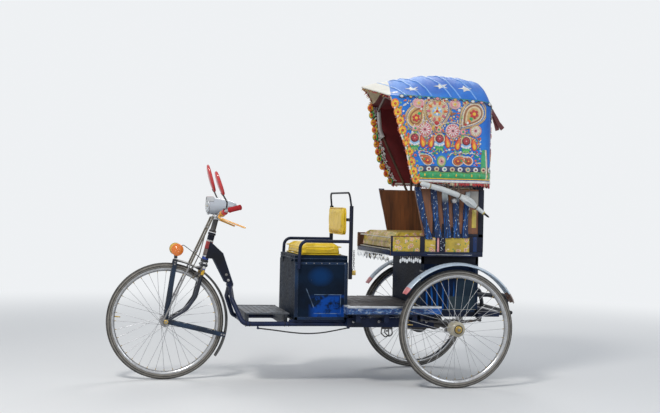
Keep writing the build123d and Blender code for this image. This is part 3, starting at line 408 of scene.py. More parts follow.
@dataclass(frozen=True)
class Paint(Finish):
    """Brushed-on gloss paint over steel or wood, chipped, worn at its edges and dusty."""

    colour: Colour = (0.5, 0.5, 0.5)
    second: Colour = (0.4, 0.4, 0.4)
    patch_scale: float = 6.0
    rough: float = 0.3
    chips: float = 0.3
    chip_colour: Colour = BARE_COLOUR
    wear: float = 0.5
    dust: float = 0.5
    coat: float = 0.3
    rust: float = 0.0
    specular: float = 0.5

    def base(self, tree: Tree, place: Socket) -> Socket:
        """Colour of the paint itself, before wear and dust."""
        cloudy = tree.span(tree.noise(place, self.patch_scale, 4.0, 0.6), 0.38, 0.66)
        return tree.mix(cloudy, self.colour, self.second)

    def dress(self, tree: Tree, shader: bpy.types.Node) -> None:
        """Wire the paint, its chips, worn edges, rust and dust.

        Args:
            tree: nodes of the material.
            shader: the material's Principled shader.
        """
        place = tree.place()
        colour = self.base(tree, place)
        chips = effect(tree, EFFECTS.chips, Vector=place, Scale=70.0, Amount=self.chips).outputs[0]
        edges = effect(tree, EFFECTS.wear, Vector=place, Width=0.003, Amount=self.wear, Scale=70.0).outputs[0]
        bare = tree.math("MAXIMUM", chips, edges)
        colour = tree.mix(bare, colour, self.chip_colour)
        if self.rust:
            spread = tree.span(tree.noise(place, 24.0, 6.0, 0.68), 0.72 - 0.3 * self.rust, 0.78 - 0.2 * self.rust)
            colour = tree.mix(spread, colour, RUST_COLOUR)
        dust = effect(tree, EFFECTS.dust, Vector=place, Amount=self.dust, Low=1.0).outputs[0]
        colour = tree.mix(dust, colour, DUST_COLOUR)
        ripple = tree.noise(place, 90.0, 3.0, 0.5)
        rough = tree.math("ADD", tree.span(ripple, 0.3, 0.7, self.rough * 0.8, self.rough * 1.25),
                          tree.math("MULTIPLY", tree.math("MAXIMUM", dust, bare), 0.4), clamp=True)
        height = tree.math("SUBTRACT", tree.math("MULTIPLY", ripple, 0.4), tree.math("MULTIPLY", bare, 0.6))
        self.feed(tree, shader, Base_Color=colour, Roughness=rough, Coat_Weight=self.coat, Coat_Roughness=0.15,
                  Specular_IOR_Level=self.specular, Normal=tree.bump(height, 0.35, 0.0008))


class Field(Enum):
    """Where the painted decoration of a panel lies."""

    BOX_SIDE = "box side"
    SEAT_BOX = "seat box"
    BOARD_EDGE = "board edge"
    SLAT = "slat"


@dataclass(frozen=True)
class DecoratedPaint(Paint):
    """Paint with plain bands and strokes in other colours laid over its ground."""

    where: Field = Field.BOX_SIDE

    def base(self, tree: Tree, place: Socket) -> Socket:
        """Ground colour with the decoration that belongs to the place.

        Args:
            tree: nodes of the material.
            place: place on the surface, in metres.

        Returns:
            The colour.
        """
        ground = super().base(tree, place)
        painters = {
            Field.SEAT_BOX: self._seat_box, Field.BOX_SIDE: self._box_side, Field.BOARD_EDGE: self._board_edge,
            Field.SLAT: self._slat,
        }
        return painters[self.where](tree, place, ground)

    def _seat_box(self, tree: Tree, place: Socket, ground: Socket) -> Socket:
        """Upright blue strokes at the front and a grey-blue field at the rear.

        Args:
            tree: nodes of the material.
            place: place on the surface, in metres.
            ground: colour under the decoration.

        Returns:
            The colour.
        """
        x, _, z = tree.axes(place)
        wobble = tree.math("MULTIPLY", tree.math("SUBTRACT", tree.noise(place, 7.0, 2.0), 0.5), 0.03)
        stripe = tree.math("SINE", tree.math("MULTIPLY", tree.math("ADD", x, wobble), 2 * math.pi / 0.034))
        strokes = tree.math("MULTIPLY", tree.span(stripe, 0.45, 0.75), tree.span(z, 0.64, 0.54))
        reach = tree.math("MULTIPLY", tree.span(x, fore(-0.06), fore(-0.04)), tree.span(x, fore(0.18), fore(0.16)))
        colour = tree.mix(tree.math("MULTIPLY", strokes, reach), ground, (0.012, 0.12, 0.46))
        below = tree.math("MULTIPLY", tree.span(z, 0.548, 0.540), tree.span(x, fore(0.02), fore(0.0)))
        colour = tree.mix(below, colour, (0.05, 0.075, 0.09))
        grey = tree.math("MULTIPLY", tree.span(x, fore(-0.03), fore(-0.06)), tree.span(z, 0.70, 0.62))
        return tree.mix(tree.math("MULTIPLY", grey, 0.8), colour, (0.035, 0.060, 0.085))

    def _box_side(self, tree: Tree, place: Socket, ground: Socket) -> Socket:
        """A deep-blue cloud, a bright painted corner and thin pale lines.

        Args:
            tree: nodes of the material.
            place: place on the surface, in metres.
            ground: colour under the decoration.

        Returns:
            The colour.
        """
        x, _, z = tree.axes(place)
        blot = tree.span(tree.noise(place, 17.0, 3.0, 0.6), 0.40, 0.52)
        low = tree.math("MULTIPLY", tree.span(z, 0.548, 0.528), tree.span(x, fore(0.875), fore(0.83)))
        colour = tree.mix(tree.math("MULTIPLY", blot, low), ground, (0.004, 0.055, 0.30))
        off_x = tree.math("DIVIDE", tree.math("SUBTRACT", x, fore(0.80)), 0.085)
        off_z = tree.math("DIVIDE", tree.math("SUBTRACT", z, 0.655), 0.065)
        away = tree.math("ADD", tree.math("MULTIPLY", off_x, off_x), tree.math("MULTIPLY", off_z, off_z))
        colour = tree.mix(tree.math("MULTIPLY", tree.span(away, 1.0, 0.1), 0.6), colour, (0.003, 0.045, 0.17))
        line = tree.math("MAXIMUM", self._line(tree, z, 0.545, 0.0020), self._line(tree, z, 0.431, 0.0026))
        inside = tree.math("MULTIPLY", tree.span(x, fore(0.668), fore(0.672)), tree.span(x, fore(0.84), fore(0.836)))
        edges = tree.math("MULTIPLY", self._line(tree, x, fore(0.674), 0.002),
                          tree.math("MULTIPLY", tree.span(z, 0.43, 0.437), tree.span(z, 0.545, 0.540)))
        slant = tree.math("ADD", x, tree.math("MULTIPLY", z, -0.42))
        streak = tree.math("MULTIPLY", self._line(tree, slant, fore(0.643), 0.0035),
                           tree.math("MULTIPLY", tree.span(z, 0.46, 0.475), tree.span(z, 0.585, 0.570)))
        lines = tree.math("MAXIMUM", tree.math("MULTIPLY", line, inside), tree.math("MAXIMUM", edges, streak))
        faded = tree.math("MULTIPLY", lines, tree.span(tree.noise(place, 30.0), 0.35, 0.6, 0.15, 0.7))
        return tree.mix(faded, colour, (0.20, 0.29, 0.42))

    def _board_edge(self, tree: Tree, place: Socket, ground: Socket) -> Socket:
        """A white upper edge over worn blue paint with pale specks.

        Args:
            tree: nodes of the material.
            place: place on the surface, in metres.
            ground: colour under the decoration.

        Returns:
            The colour.
        """
        x, _, z = tree.axes(place)
        drawn = tree.put("Mapping", {"Vector": place, "Scale": (0.5, 1.0, 1.4)}).outputs[0]
        worn = tree.noise(drawn, 48.0, 6.0, 0.72)
        colour = tree.mix(tree.span(worn, 0.46, 0.53), ground, (0.03, 0.11, 0.29))
        colour = tree.mix(tree.span(worn, 0.545, 0.585), colour, (0.30, 0.35, 0.43))
        rear = tree.span(x, fore(0.17), fore(0.12))
        colour = tree.mix(tree.math("MULTIPLY", rear, 0.8), colour, (0.015, 0.11, 0.42))
        return tree.mix(tree.span(z, 0.476, 0.480), colour, (0.42, 0.45, 0.48))

    def _slat(self, tree: Tree, place: Socket, ground: Socket) -> Socket:
        """Blue strokes that brighten towards the foot, with pale flecks.

        Args:
            tree: nodes of the material.
            place: place on the surface, in metres.
            ground: colour under the decoration.

        Returns:
            The colour.
        """
        x, _, z = tree.axes(place)
        drawn = tree.put("Mapping", {"Vector": place, "Scale": (1.0, 1.0, 0.10)}).outputs[0]
        strokes = tree.noise(drawn, 120.0, 4.0, 0.62)
        bright = tree.mix(tree.span(z, 0.98, 1.14), (0.008, 0.10, 0.36), (0.005, 0.035, 0.13))
        colour = tree.mix(tree.span(strokes, 0.50, 0.60), ground, bright)
        flecks = tree.noise(place, 85.0, 4.0, 0.7)
        colour = tree.mix(tree.span(flecks, 0.635, 0.665), colour, (0.50, 0.58, 0.64))
        pale = tree.math("MULTIPLY", tree.span(z, 1.115, 1.150), tree.span(x, fore(0.13), fore(0.10)))
        return tree.mix(pale, colour, (0.36, 0.40, 0.42))

    @staticmethod
    def _line(tree: Tree, value: Socket, middle: float, half: float) -> Socket:
        """Mask of a thin line where a coordinate is close to its middle."""
        off = tree.math("ABSOLUTE", tree.math("SUBTRACT", value, middle))
        return tree.span(off, half, half * 0.6)


@dataclass(frozen=True)
class Metal(Finish):
    """Bare or plated metal with streaks, dirt in patches and some rust."""

    colour: Colour = (0.6, 0.6, 0.6)
    rough: float = 0.3
    dirt: float = 0.4
    rust: float = 0.1
    metallic: float = 1.0

    def dress(self, tree: Tree, shader: bpy.types.Node) -> None:
        """Wire the metal with its dirt and rust.

        Args:
            tree: nodes of the material.
            shader: the material's Principled shader.
        """
        place = tree.place()
        streaks = effect(tree, EFFECTS.streaks, Vector=place, Scale=260.0).outputs[0]
        dirt = tree.math("MULTIPLY", tree.span(tree.noise(place, 22.0, 6.0, 0.65), 0.42, 0.70), self.dirt)
        rust = tree.math("MULTIPLY", tree.span(tree.noise(place, 48.0, 5.0, 0.7), 0.56, 0.66), self.rust)
        colour = tree.mix(tree.span(streaks, 0.3, 0.7), self.colour, tuple(0.82 * c for c in self.colour))
        colour = tree.mix(dirt, colour, (0.11, 0.095, 0.08))
        colour = tree.mix(rust, colour, RUST_COLOUR)
        cover = tree.math("MAXIMUM", dirt, rust)
        rough = tree.math("ADD", tree.span(streaks, 0.3, 0.7, self.rough * 0.8, self.rough * 1.2),
                          tree.math("MULTIPLY", cover, 0.45), clamp=True)
        metallic = tree.span(cover, 0.15, 0.7, self.metallic, 0.1 * self.metallic)
        self.feed(tree, shader, Base_Color=colour, Roughness=rough, Metallic=metallic,
                  Normal=tree.bump(tree.math("ADD", streaks, cover), 0.2, 0.0005))


@dataclass(frozen=True)
class Rubber(Finish):
    """Rubber, greyed by dust in its hollows."""

    colour: Colour = (0.03, 0.03, 0.03)
    worn: Colour = (0.10, 0.095, 0.09)
    dust: float = 0.5
    ribs: float = 0.0

    def dress(self, tree: Tree, shader: bpy.types.Node) -> None:
        """Wire the rubber, with fine pores and dust.

        Args:
            tree: nodes of the material.
            shader: the material's Principled shader.
        """
        place = tree.place()
        cloudy = tree.span(tree.noise(place, 28.0, 5.0, 0.65), 0.36, 0.68)
        fine = tree.noise(place, 700.0, 2.0, 0.6)
        colour = tree.mix(tree.math("MULTIPLY", cloudy, self.dust), self.colour, self.worn)
        rough = tree.span(fine, 0.3, 0.7, 0.62, 0.85)
        self.feed(tree, shader, Base_Color=colour, Roughness=rough, Specular_IOR_Level=0.35,
                  Normal=tree.bump(fine, 0.3, 0.0004))


@dataclass(frozen=True)
class CoatedCloth(Finish):
    """Plastic-coated cloth for seats, with pressed grain, grime and an optional flower print."""

    colour: Colour = (0.8, 0.6, 0.1)
    second: Colour = (0.7, 0.5, 0.08)
    grime: float = 0.35
    flowers: bool = False
    rough: float = 0.36

    def dress(self, tree: Tree, shader: bpy.types.Node) -> None:
        """Wire the coated cloth.

        Args:
            tree: nodes of the material.
            shader: the material's Principled shader.
        """
        place = tree.place()
        cloudy = tree.span(tree.noise(place, 11.0, 4.0, 0.6), 0.36, 0.66)
        colour = tree.mix(cloudy, self.colour, self.second)
        if self.flowers:
            colour = self._print(tree, place, colour)
        grime = tree.span(tree.noise(place, 19.0, 7.0, 0.7), 0.48, 0.74, 0.0, self.grime)
        colour = tree.mix(grime, colour, (0.16, 0.11, 0.05))
        grain = effect(tree, EFFECTS.grain, Vector=place, Cells=380.0).outputs[0]
        rough = tree.math("ADD", tree.span(grain, 0.0, 1.0, self.rough + 0.12, self.rough), grime, clamp=True)
        creases = tree.noise(place, 34.0, 3.0, 0.6)
        height = tree.math("ADD", tree.math("MULTIPLY", grain, 0.25), creases)
        self.feed(tree, shader, Base_Color=colour, Roughness=rough, Sheen_Weight=0.05, Coat_Weight=0.12,
                  Coat_Roughness=0.3, Normal=tree.bump(height, 0.4, 0.0012))

    @staticmethod
    def _print(tree: Tree, place: Socket, ground: Socket) -> Socket:
        """Scattered flowers: a red heart in pale petals, with green leaves between.

        Args:
            tree: nodes of the material.
            place: place on the surface, in metres.
            ground: colour under the print.

        Returns:
            The colour with the print.
        """
        node = tree.put("TexVoronoi", {"Vector": place, "Scale": 27.0, "Randomness": 0.85})
        off = tree.put("VectorMath", {0: place, 1: node.outputs["Position"]}, operation="SUBTRACT").outputs[0]
        ox, oy, oz = tree.axes(off)
        angle = tree.math("ARCTAN2", tree.math("ADD", ox, oy), oz)
        petal = tree.math("SINE", tree.math("MULTIPLY", angle, 5.0))
        distance = node.outputs["Distance"]
        petals = tree.math("ADD", distance, tree.math("MULTIPLY", petal, 0.06))
        leaves = tree.put("TexVoronoi", {"Vector": place, "Scale": 52.0, "Randomness": 1.0}).outputs["Distance"]
        colour = tree.mix(tree.span(leaves, 0.26, 0.22), ground, (0.06, 0.20, 0.07))
        colour = tree.mix(tree.span(petals, 0.36, 0.33), colour, (0.66, 0.54, 0.40))
        colour = tree.mix(tree.span(petals, 0.27, 0.24), colour, (0.50, 0.17, 0.13))
        return tree.mix(tree.span(distance, 0.13, 0.11), colour, (0.85, 0.66, 0.12))


@dataclass(frozen=True)
class Cloth(Finish):
    """Woven cloth with slack folds, fading and dust."""

    colour: Colour = (0.05, 0.2, 0.6)
    faded: Colour = (0.12, 0.3, 0.7)
    threads: float = 1500.0
    rough: float = 0.62
    sheen: float = 0.25
    stain: float = 0.3
    glossy: float = 0.0

    def dress(self, tree: Tree, shader: bpy.types.Node) -> None:
        """Wire the cloth.

        Args:
            tree: nodes of the material.
            shader: the material's Principled shader.
        """
        place = tree.place()
        weave = effect(tree, EFFECTS.weave, Vector=place, Threads=self.threads)
        cloudy = tree.span(tree.noise(place, 4.5, 5.0, 0.6), 0.38, 0.64)
        colour = tree.mix(cloudy, self.colour, self.faded)
        dirty = tree.span(tree.noise(place, 12.0, 7.0, 0.7), 0.5, 0.78, 0.0, self.stain)
        colour = tree.mix(dirty, colour, tuple(0.35 * c + 0.02 for c in self.colour))
        colour = tree.mix(1.0, colour, self._grey(tree, weave.outputs["Tint"]), "MULTIPLY")
        folds = tree.noise(place, 26.0, 3.0, 0.5)
        height = tree.math("ADD", folds, tree.math("MULTIPLY", weave.outputs["Height"], 0.06))
        self.feed(tree, shader, Base_Color=colour, Roughness=self.rough, Sheen_Weight=self.sheen,
                  Sheen_Roughness=0.4, Coat_Weight=self.glossy, Coat_Roughness=0.35,
                  Normal=tree.bump(height, 0.4, 0.003))

    @staticmethod
    def _grey(tree: Tree, value: Socket) -> Socket:
        """Grey colour of a value."""
        return tree.put("CombineColor", {0: value, 1: value, 2: value}).outputs[0]


@dataclass(frozen=True)
class SewnCloth(Finish):
    """Bright sewn-on cloth or foil, stitched in close rows."""

    colour: Colour = (0.8, 0.1, 0.1)
    second: Colour = (0.6, 0.1, 0.1)
    rows: float = 2600.0
    shine: float = 0.35

    def dress(self, tree: Tree, shader: bpy.types.Node) -> None:
        """Wire the sewn patch with its rows of thread.

        Args:
            tree: nodes of the material.
            shader: the material's Principled shader.
        """
        place = tree.place()
        x, _, z = tree.axes(place)
        wander = tree.math("MULTIPLY", tree.noise(place, 40.0, 2.0), 0.006)
        thread = tree.math("SINE", tree.math("MULTIPLY", tree.math("ADD", tree.math("ADD", x, z), wander), self.rows))
        cloudy = tree.span(tree.noise(place, 55.0, 4.0, 0.6), 0.4, 0.62)
        colour = tree.mix(cloudy, self.colour, self.second)
        dirt = tree.span(tree.noise(place, 90.0, 5.0, 0.7), 0.55, 0.8, 0.0, 0.25)
        colour = tree.mix(dirt, colour, (0.10, 0.07, 0.05))
        height = tree.math("ADD", tree.math("MULTIPLY", thread, 0.3), tree.noise(place, 160.0, 2.0))
        self.feed(tree, shader, Base_Color=colour, Roughness=0.5 - 0.3 * self.shine, Sheen_Weight=0.2,
                  Coat_Weight=self.shine, Coat_Roughness=0.3, Normal=tree.bump(height, 0.35, 0.0006))


@dataclass(frozen=True)
class Wood(Finish):
    """Varnished board or cane with its grain along one axis."""

    colour: Colour = (0.3, 0.14, 0.06)
    dark: Colour = (0.12, 0.05, 0.02)
    stretch: Colour = (1.0, 1.0, 0.08)
    rough: float = 0.45

    def dress(self, tree: Tree, shader: bpy.types.Node) -> None:
        """Wire the wood grain.

        Args:
            tree: nodes of the material.
            shader: the material's Principled shader.
        """
        place = tree.place()
        drawn = tree.put("Mapping", {"Vector": place, "Scale": self.stretch}).outputs[0]
        fibres = tree.noise(drawn, 90.0, 6.0, 0.65)
        rings = tree.noise(drawn, 16.0, 3.0, 0.5)
        grain = tree.math("ADD", tree.math("MULTIPLY", fibres, 0.5), tree.math("MULTIPLY", rings, 0.5))
        colour = tree.mix(tree.span(grain, 0.36, 0.62), self.dark, self.colour)
        dust = effect(tree, EFFECTS.dust, Vector=place, Amount=0.4, Low=1.6).outputs[0]
        colour = tree.mix(dust, colour, DUST_COLOUR)
        self.feed(tree, shader, Base_Color=colour, Roughness=tree.span(fibres, 0.3, 0.7, self.rough, self.rough + 0.2),
                  Coat_Weight=0.15, Coat_Roughness=0.3, Normal=tree.bump(grain, 0.35, 0.001))


@dataclass(frozen=True)
class Plastic(Finish):
    """Moulded plastic with fine scratches."""

    colour: Colour = (0.5, 0.05, 0.05)
    rough: float = 0.2
    coat: float = 0.5
    dust: float = 0.2

    def dress(self, tree: Tree, shader: bpy.types.Node) -> None:
        """Wire the plastic.

        Args:
            tree: nodes of the material.
            shader: the material's Principled shader.
        """
        place = tree.place()
        cloudy = tree.span(tree.noise(place, 30.0, 5.0, 0.65), 0.4, 0.7)
        dust = tree.math("MULTIPLY", cloudy, self.dust)
        colour = tree.mix(dust, self.colour, tuple(0.7 * c + 0.08 for c in self.colour))
        scratch = effect(tree, EFFECTS.streaks, Vector=place, Scale=420.0).outputs[0]
        rough = tree.math("ADD", tree.span(scratch, 0.35, 0.7, self.rough, self.rough + 0.15), dust, clamp=True)
        self.feed(tree, shader, Base_Color=colour, Roughness=rough, Coat_Weight=self.coat, Coat_Roughness=0.1,
                  Normal=tree.bump(tree.noise(place, 260.0, 2.0), 0.15, 0.0004))


@dataclass(frozen=True)
class Lens(Finish):
    """Coloured or clear lens plastic or glass that lets some light through."""

    colour: Colour = (0.9, 0.4, 0.05)
    through: float = 0.4
    flutes: float = 0.0

    def dress(self, tree: Tree, shader: bpy.types.Node) -> None:
        """Wire the lens with its pressed prisms.

        Args:
            tree: nodes of the material.
            shader: the material's Principled shader.
        """
        place = tree.place()
        _, y, _ = tree.axes(place)
        cells = tree.put("TexVoronoi", {"Vector": place, "Scale": 130.0},
                         feature="DISTANCE_TO_EDGE").outputs["Distance"]
        height = cells
        if self.flutes:
            height = tree.math("ABSOLUTE", tree.math("SINE", tree.math("MULTIPLY", y, self.flutes)))
        dirt = tree.span(tree.noise(place, 60.0, 5.0, 0.7), 0.5, 0.8, 0.0, 0.3)
        colour = tree.mix(dirt, self.colour, tuple(0.5 * c for c in self.colour))
        self.feed(tree, shader, Base_Color=colour, Roughness=tree.math("ADD", dirt, 0.1), IOR=1.49,
                  Transmission_Weight=self.through, Coat_Weight=0.6, Coat_Roughness=0.05,
                  Normal=tree.bump(height, 0.5, 0.0015))


# Colours read as the photograph shows them
NAVY: Colour = (0.010, 0.017, 0.045)
DEEP_BLUE: Colour = (0.012, 0.045, 0.16)
HOOD_BLUE: Colour = (0.006, 0.125, 0.56)
HOOD_PALE: Colour = (0.015, 0.21, 0.70)


class Palette:
    """Every finish of the vehicle, by the part that wears it."""

    frame_blue = Paint("frame_blue", (0.006, 0.016, 0.06), (0.004, 0.008, 0.022), chips=0.2, wear=0.35, dust=0.15,
                       rough=0.45, coat=0.0, rust=0.25, specular=0.22)
    rail_blue = Paint("rail_blue", (0.008, 0.045, 0.17), (0.006, 0.022, 0.09), chips=0.2, wear=0.4, dust=0.1,
                      rough=0.4, coat=0.0, rust=0.2, specular=0.3)
    neck_black = Paint("neck_black", (0.006, 0.007, 0.012), (0.009, 0.012, 0.03), chips=0.12, wear=0.35, dust=0.1,
                       rough=0.5, coat=0.0, specular=0.2)
    fork_black = Paint("fork_black", (0.010, 0.011, 0.015), (0.014, 0.02, 0.04), chips=0.12, wear=0.4, dust=0.12,
                       rough=0.3, coat=0.25, specular=0.4)
    stay_blue = Paint("stay_blue", (0.008, 0.014, 0.025), (0.010, 0.03, 0.07), chips=0.2, wear=0.4,
                      dust=0.15, coat=0.1, specular=0.3)
    box_navy = DecoratedPaint("box_navy", (0.003, 0.007, 0.016), (0.004, 0.013, 0.032), chips=0.12, wear=0.4,
                              dust=0.02, rough=0.55, coat=0.0, specular=0.08, where=Field.BOX_SIDE)
    seat_box_navy = DecoratedPaint("seat_box_navy", (0.004, 0.010, 0.030), (0.006, 0.018, 0.055), chips=0.12,
                                   wear=0.3, dust=0.03, rough=0.55, coat=0.0, specular=0.08, where=Field.SEAT_BOX)
    board_edge = DecoratedPaint("board_edge", (0.022, 0.030, 0.11), (0.03, 0.06, 0.17), patch_scale=14.0, chips=0.4,
                                wear=0.5, dust=0.2, rough=0.45, coat=0.0, specular=0.25,
                                chip_colour=(0.45, 0.46, 0.48), where=Field.BOARD_EDGE)
    slat_blue = DecoratedPaint("slat_blue", (0.004, 0.022, 0.085), (0.004, 0.012, 0.045), patch_scale=16.0, chips=0.2,
                               chip_colour=(0.45, 0.52, 0.58), wear=0.3, dust=0.03, rough=0.38, coat=0.05,
                               specular=0.3, where=Field.SLAT)
    guard_silver = Paint("guard_silver", (0.44, 0.54, 0.66), (0.56, 0.66, 0.76), chips=0.15, wear=0.3, dust=0.15,
                         rough=0.28, coat=0.5, rust=0.1)
    guard_pink = Paint("guard_pink", (0.62, 0.16, 0.17), (0.70, 0.30, 0.30), chips=0.35, dust=0.3)
    guard_brown = Paint("guard_brown", (0.16, 0.09, 0.06), (0.30, 0.30, 0.33), patch_scale=24.0, chips=0.3,
                        rust=0.8, dust=0.4)
    guard_dark = Paint("guard_dark", (0.030, 0.033, 0.036), (0.07, 0.07, 0.068), chips=0.3, wear=0.5, dust=0.35)
    bumper_black = Paint("bumper_black", (0.008, 0.009, 0.012), (0.014, 0.02, 0.035), chips=0.2, wear=0.4, dust=0.15,
                         coat=0.1, specular=0.3)
    floor_sheet = Metal("floor_sheet", (0.11, 0.125, 0.15), rough=0.5, dirt=0.6, rust=0.15)
    # footboard's top sheet: darker and dirtier than the floor sheet, partly dirt and partly painted shade under the
    # seat
    shaded_board_sheet = Metal("shaded_board_sheet", (0.10, 0.10, 0.11), rough=0.62, dirt=0.8, rust=0.2)
    far_board = Wood("far_board", (0.30, 0.29, 0.27), (0.18, 0.17, 0.16))
    chrome = Metal("chrome", (0.62, 0.63, 0.65), rough=0.16, dirt=0.35, rust=0.15)
    dull_steel = Metal("dull_steel", (0.40, 0.40, 0.41), rough=0.38, dirt=0.7, rust=0.35)
    dark_steel = Metal("dark_steel", (0.10, 0.10, 0.105), rough=0.5, dirt=0.8, rust=0.4)
    rim_steel = Metal("rim_steel", (0.58, 0.59, 0.61), rough=0.22, dirt=0.4, rust=0.15)
    spoke_steel = Metal("spoke_steel", (0.52, 0.53, 0.55), rough=0.5, dirt=0.3, rust=0.08)
    brass = Metal("brass", (0.52, 0.36, 0.10), rough=0.3, dirt=0.5, rust=0.2)
    hub_cream = Paint("hub_cream", (0.42, 0.38, 0.28), (0.30, 0.28, 0.24), chips=0.35, wear=0.6, dust=0.5, rust=0.2)
    box_edge = Paint("box_edge", (0.005, 0.012, 0.030), (0.008, 0.028, 0.075), chips=0.25, wear=0.6, dust=0.06,
                     rough=0.45, coat=0.0, specular=0.2, chip_colour=(0.25, 0.30, 0.36))
    tape_white = Plastic("tape_white", (0.62, 0.62, 0.60), rough=0.4, coat=0.2, dust=0.5)
    tape_blue = Plastic("tape_blue", (0.02, 0.06, 0.35), rough=0.35, coat=0.3, dust=0.4)
    tape_red = Plastic("tape_red", (0.42, 0.03, 0.03), rough=0.4, coat=0.2, dust=0.6)
    lamp_yellow = Plastic("lamp_yellow", (0.72, 0.42, 0.02), rough=0.3, coat=0.3, dust=0.3)
    # pale cloth of the roof's fold cords: a painted highlight on the folds
    hood_fold_highlight = Cloth("hood_fold_highlight", (0.20, 0.42, 0.82), (0.12, 0.34, 0.78), glossy=0.25, rough=0.45)
    fleck_white = Paint("fleck_white", (0.62, 0.66, 0.70), (0.45, 0.52, 0.60), chips=0.1, wear=0.0, dust=0.1)
    strip_yellow = Paint("strip_yellow", (0.62, 0.46, 0.06), (0.40, 0.32, 0.07), patch_scale=20.0, chips=0.3, dust=0.3)
    edge_pale = Metal("edge_pale", (0.60, 0.63, 0.66), rough=0.35, dirt=0.3, rust=0.1)
    foil_silver = Metal("foil_silver", (0.75, 0.77, 0.80), rough=0.18, dirt=0.15, rust=0.0)
    visor_under = Cloth("visor_under", (0.80, 0.68, 0.46), (0.70, 0.56, 0.36), stain=0.3, sheen=0.1)
    tread = Rubber("tread", (0.040, 0.038, 0.036), (0.15, 0.14, 0.13), dust=0.75)
    sidewall = Rubber("sidewall", (0.17, 0.16, 0.145), (0.27, 0.25, 0.22), dust=0.8)
    black_rubber = Rubber("black_rubber", (0.016, 0.016, 0.017), (0.07, 0.065, 0.06), dust=0.5)
    grip_red = Rubber("grip_red", (0.42, 0.012, 0.018), (0.30, 0.03, 0.03), dust=0.4)
    lever_orange = Paint("lever_orange", (0.78, 0.30, 0.02), (0.70, 0.42, 0.05), chips=0.25,
                         wear=0.5, dust=0.1, rough=0.3)
    yellow_seat = CoatedCloth("yellow_seat", (0.86, 0.60, 0.006), (0.74, 0.50, 0.010))
    floral_seat = CoatedCloth("floral_seat", (0.56, 0.40, 0.035), (0.36, 0.26, 0.03), flowers=True, grime=0.6)
    piping_white = CoatedCloth("piping_white", (0.62, 0.60, 0.52), (0.48, 0.45, 0.36))
    battery_black = Plastic("battery_black", (0.015, 0.015, 0.017), rough=0.4, coat=0.1, dust=0.5)
    mirror_red = Plastic("mirror_red", (0.56, 0.012, 0.014), rough=0.16, coat=0.7, dust=0.1)
    black_plastic = Plastic("black_plastic", (0.014, 0.014, 0.016), rough=0.35, coat=0.2)
    lamp_shell = Plastic("lamp_shell", (0.46, 0.50, 0.56), rough=0.22, coat=0.6, dust=0.25)
    rod_steel = Metal("rod_steel", (0.21, 0.19, 0.155), rough=0.4, dirt=0.5, rust=0.2)
    mirror_glass = Metal("mirror_glass", (0.80, 0.82, 0.84), rough=0.03, dirt=0.1, rust=0.0)
    amber = Lens("amber", (0.92, 0.22, 0.008), through=0.15)
    yellow_lens = Lens("yellow_lens", (0.90, 0.52, 0.02), through=0.15)
    red_lens = Lens("red_lens", (0.55, 0.01, 0.01), through=0.2)
    clear_lens = Lens("clear_lens", (0.88, 0.92, 0.95), through=0.75, flutes=420.0)
    panel_wood = Wood("panel_wood", (0.22, 0.075, 0.024), (0.055, 0.020, 0.010))
    lath = Wood("lath", (0.17, 0.10, 0.075), (0.085, 0.045, 0.032), stretch=(1.0, 1.0, 0.06))
    sleeve = Cloth("sleeve", (0.66, 0.65, 0.64), (0.50, 0.49, 0.50), threads=1800.0, stain=0.3)
    cane = Wood("cane", (0.11, 0.055, 0.030), (0.045, 0.022, 0.014), stretch=(1.0, 1.0, 0.15))
    hood_blue = Cloth("hood_blue", HOOD_BLUE, HOOD_PALE, glossy=0.05, rough=0.6, sheen=0.03)
    lining_red = Cloth("lining_red", (0.13, 0.006, 0.010), (0.20, 0.012, 0.016), threads=1300.0, glossy=0.1)
    visor_white = Cloth("visor_white", (0.72, 0.70, 0.62), (0.80, 0.78, 0.70), stain=0.2)
    strap_red = Cloth("strap_red", (0.14, 0.008, 0.010), (0.10, 0.008, 0.010), threads=2600.0, glossy=0.2)
    rain_white = Plastic("rain_white", (0.56, 0.59, 0.60), rough=0.3, coat=0.4, dust=0.6)
    rain_tie = Cloth("rain_tie", (0.38, 0.26, 0.10), (0.06, 0.05, 0.05), threads=2200.0)
    cable_black = Plastic("cable_black", (0.004, 0.004, 0.005), rough=0.5, coat=0.0, dust=0.03)


class Trim:
    """Colours of the sewn decoration."""

    white = SewnCloth("sewn_white", (0.74, 0.73, 0.70), (0.58, 0.57, 0.55))
    cream = SewnCloth("sewn_cream", (0.62, 0.50, 0.32), (0.50, 0.38, 0.22))
    gold = SewnCloth("sewn_gold", (0.56, 0.36, 0.10), (0.42, 0.26, 0.08), shine=0.6)
    yellow = SewnCloth("sewn_yellow", (0.80, 0.50, 0.015), (0.66, 0.38, 0.02))
    orange = SewnCloth("sewn_orange", (0.76, 0.17, 0.012), (0.60, 0.10, 0.01))
    red = SewnCloth("sewn_red", (0.52, 0.015, 0.015), (0.36, 0.01, 0.012))
    plum = SewnCloth("sewn_plum", (0.17, 0.008, 0.025), (0.10, 0.006, 0.02))
    pink = SewnCloth("sewn_pink", (0.72, 0.34, 0.36), (0.60, 0.22, 0.26))
    rose = SewnCloth("sewn_rose", (0.56, 0.13, 0.17), (0.46, 0.10, 0.13))
    green = SewnCloth("sewn_green", (0.010, 0.34, 0.11), (0.008, 0.24, 0.07))
    leaf = SewnCloth("sewn_leaf", (0.22, 0.44, 0.12), (0.12, 0.30, 0.08))
    teal = SewnCloth("sewn_teal", (0.03, 0.32, 0.33), (0.02, 0.22, 0.24), shine=0.6)
    sky = SewnCloth("sewn_sky", (0.28, 0.48, 0.72), (0.18, 0.36, 0.62))
    navy = SewnCloth("sewn_navy", (0.010, 0.025, 0.10), (0.008, 0.018, 0.07))
    brown = SewnCloth("sewn_brown", (0.30, 0.10, 0.03), (0.20, 0.06, 0.02))
    black = SewnCloth("sewn_black", (0.012, 0.012, 0.016), (0.02, 0.02, 0.03))


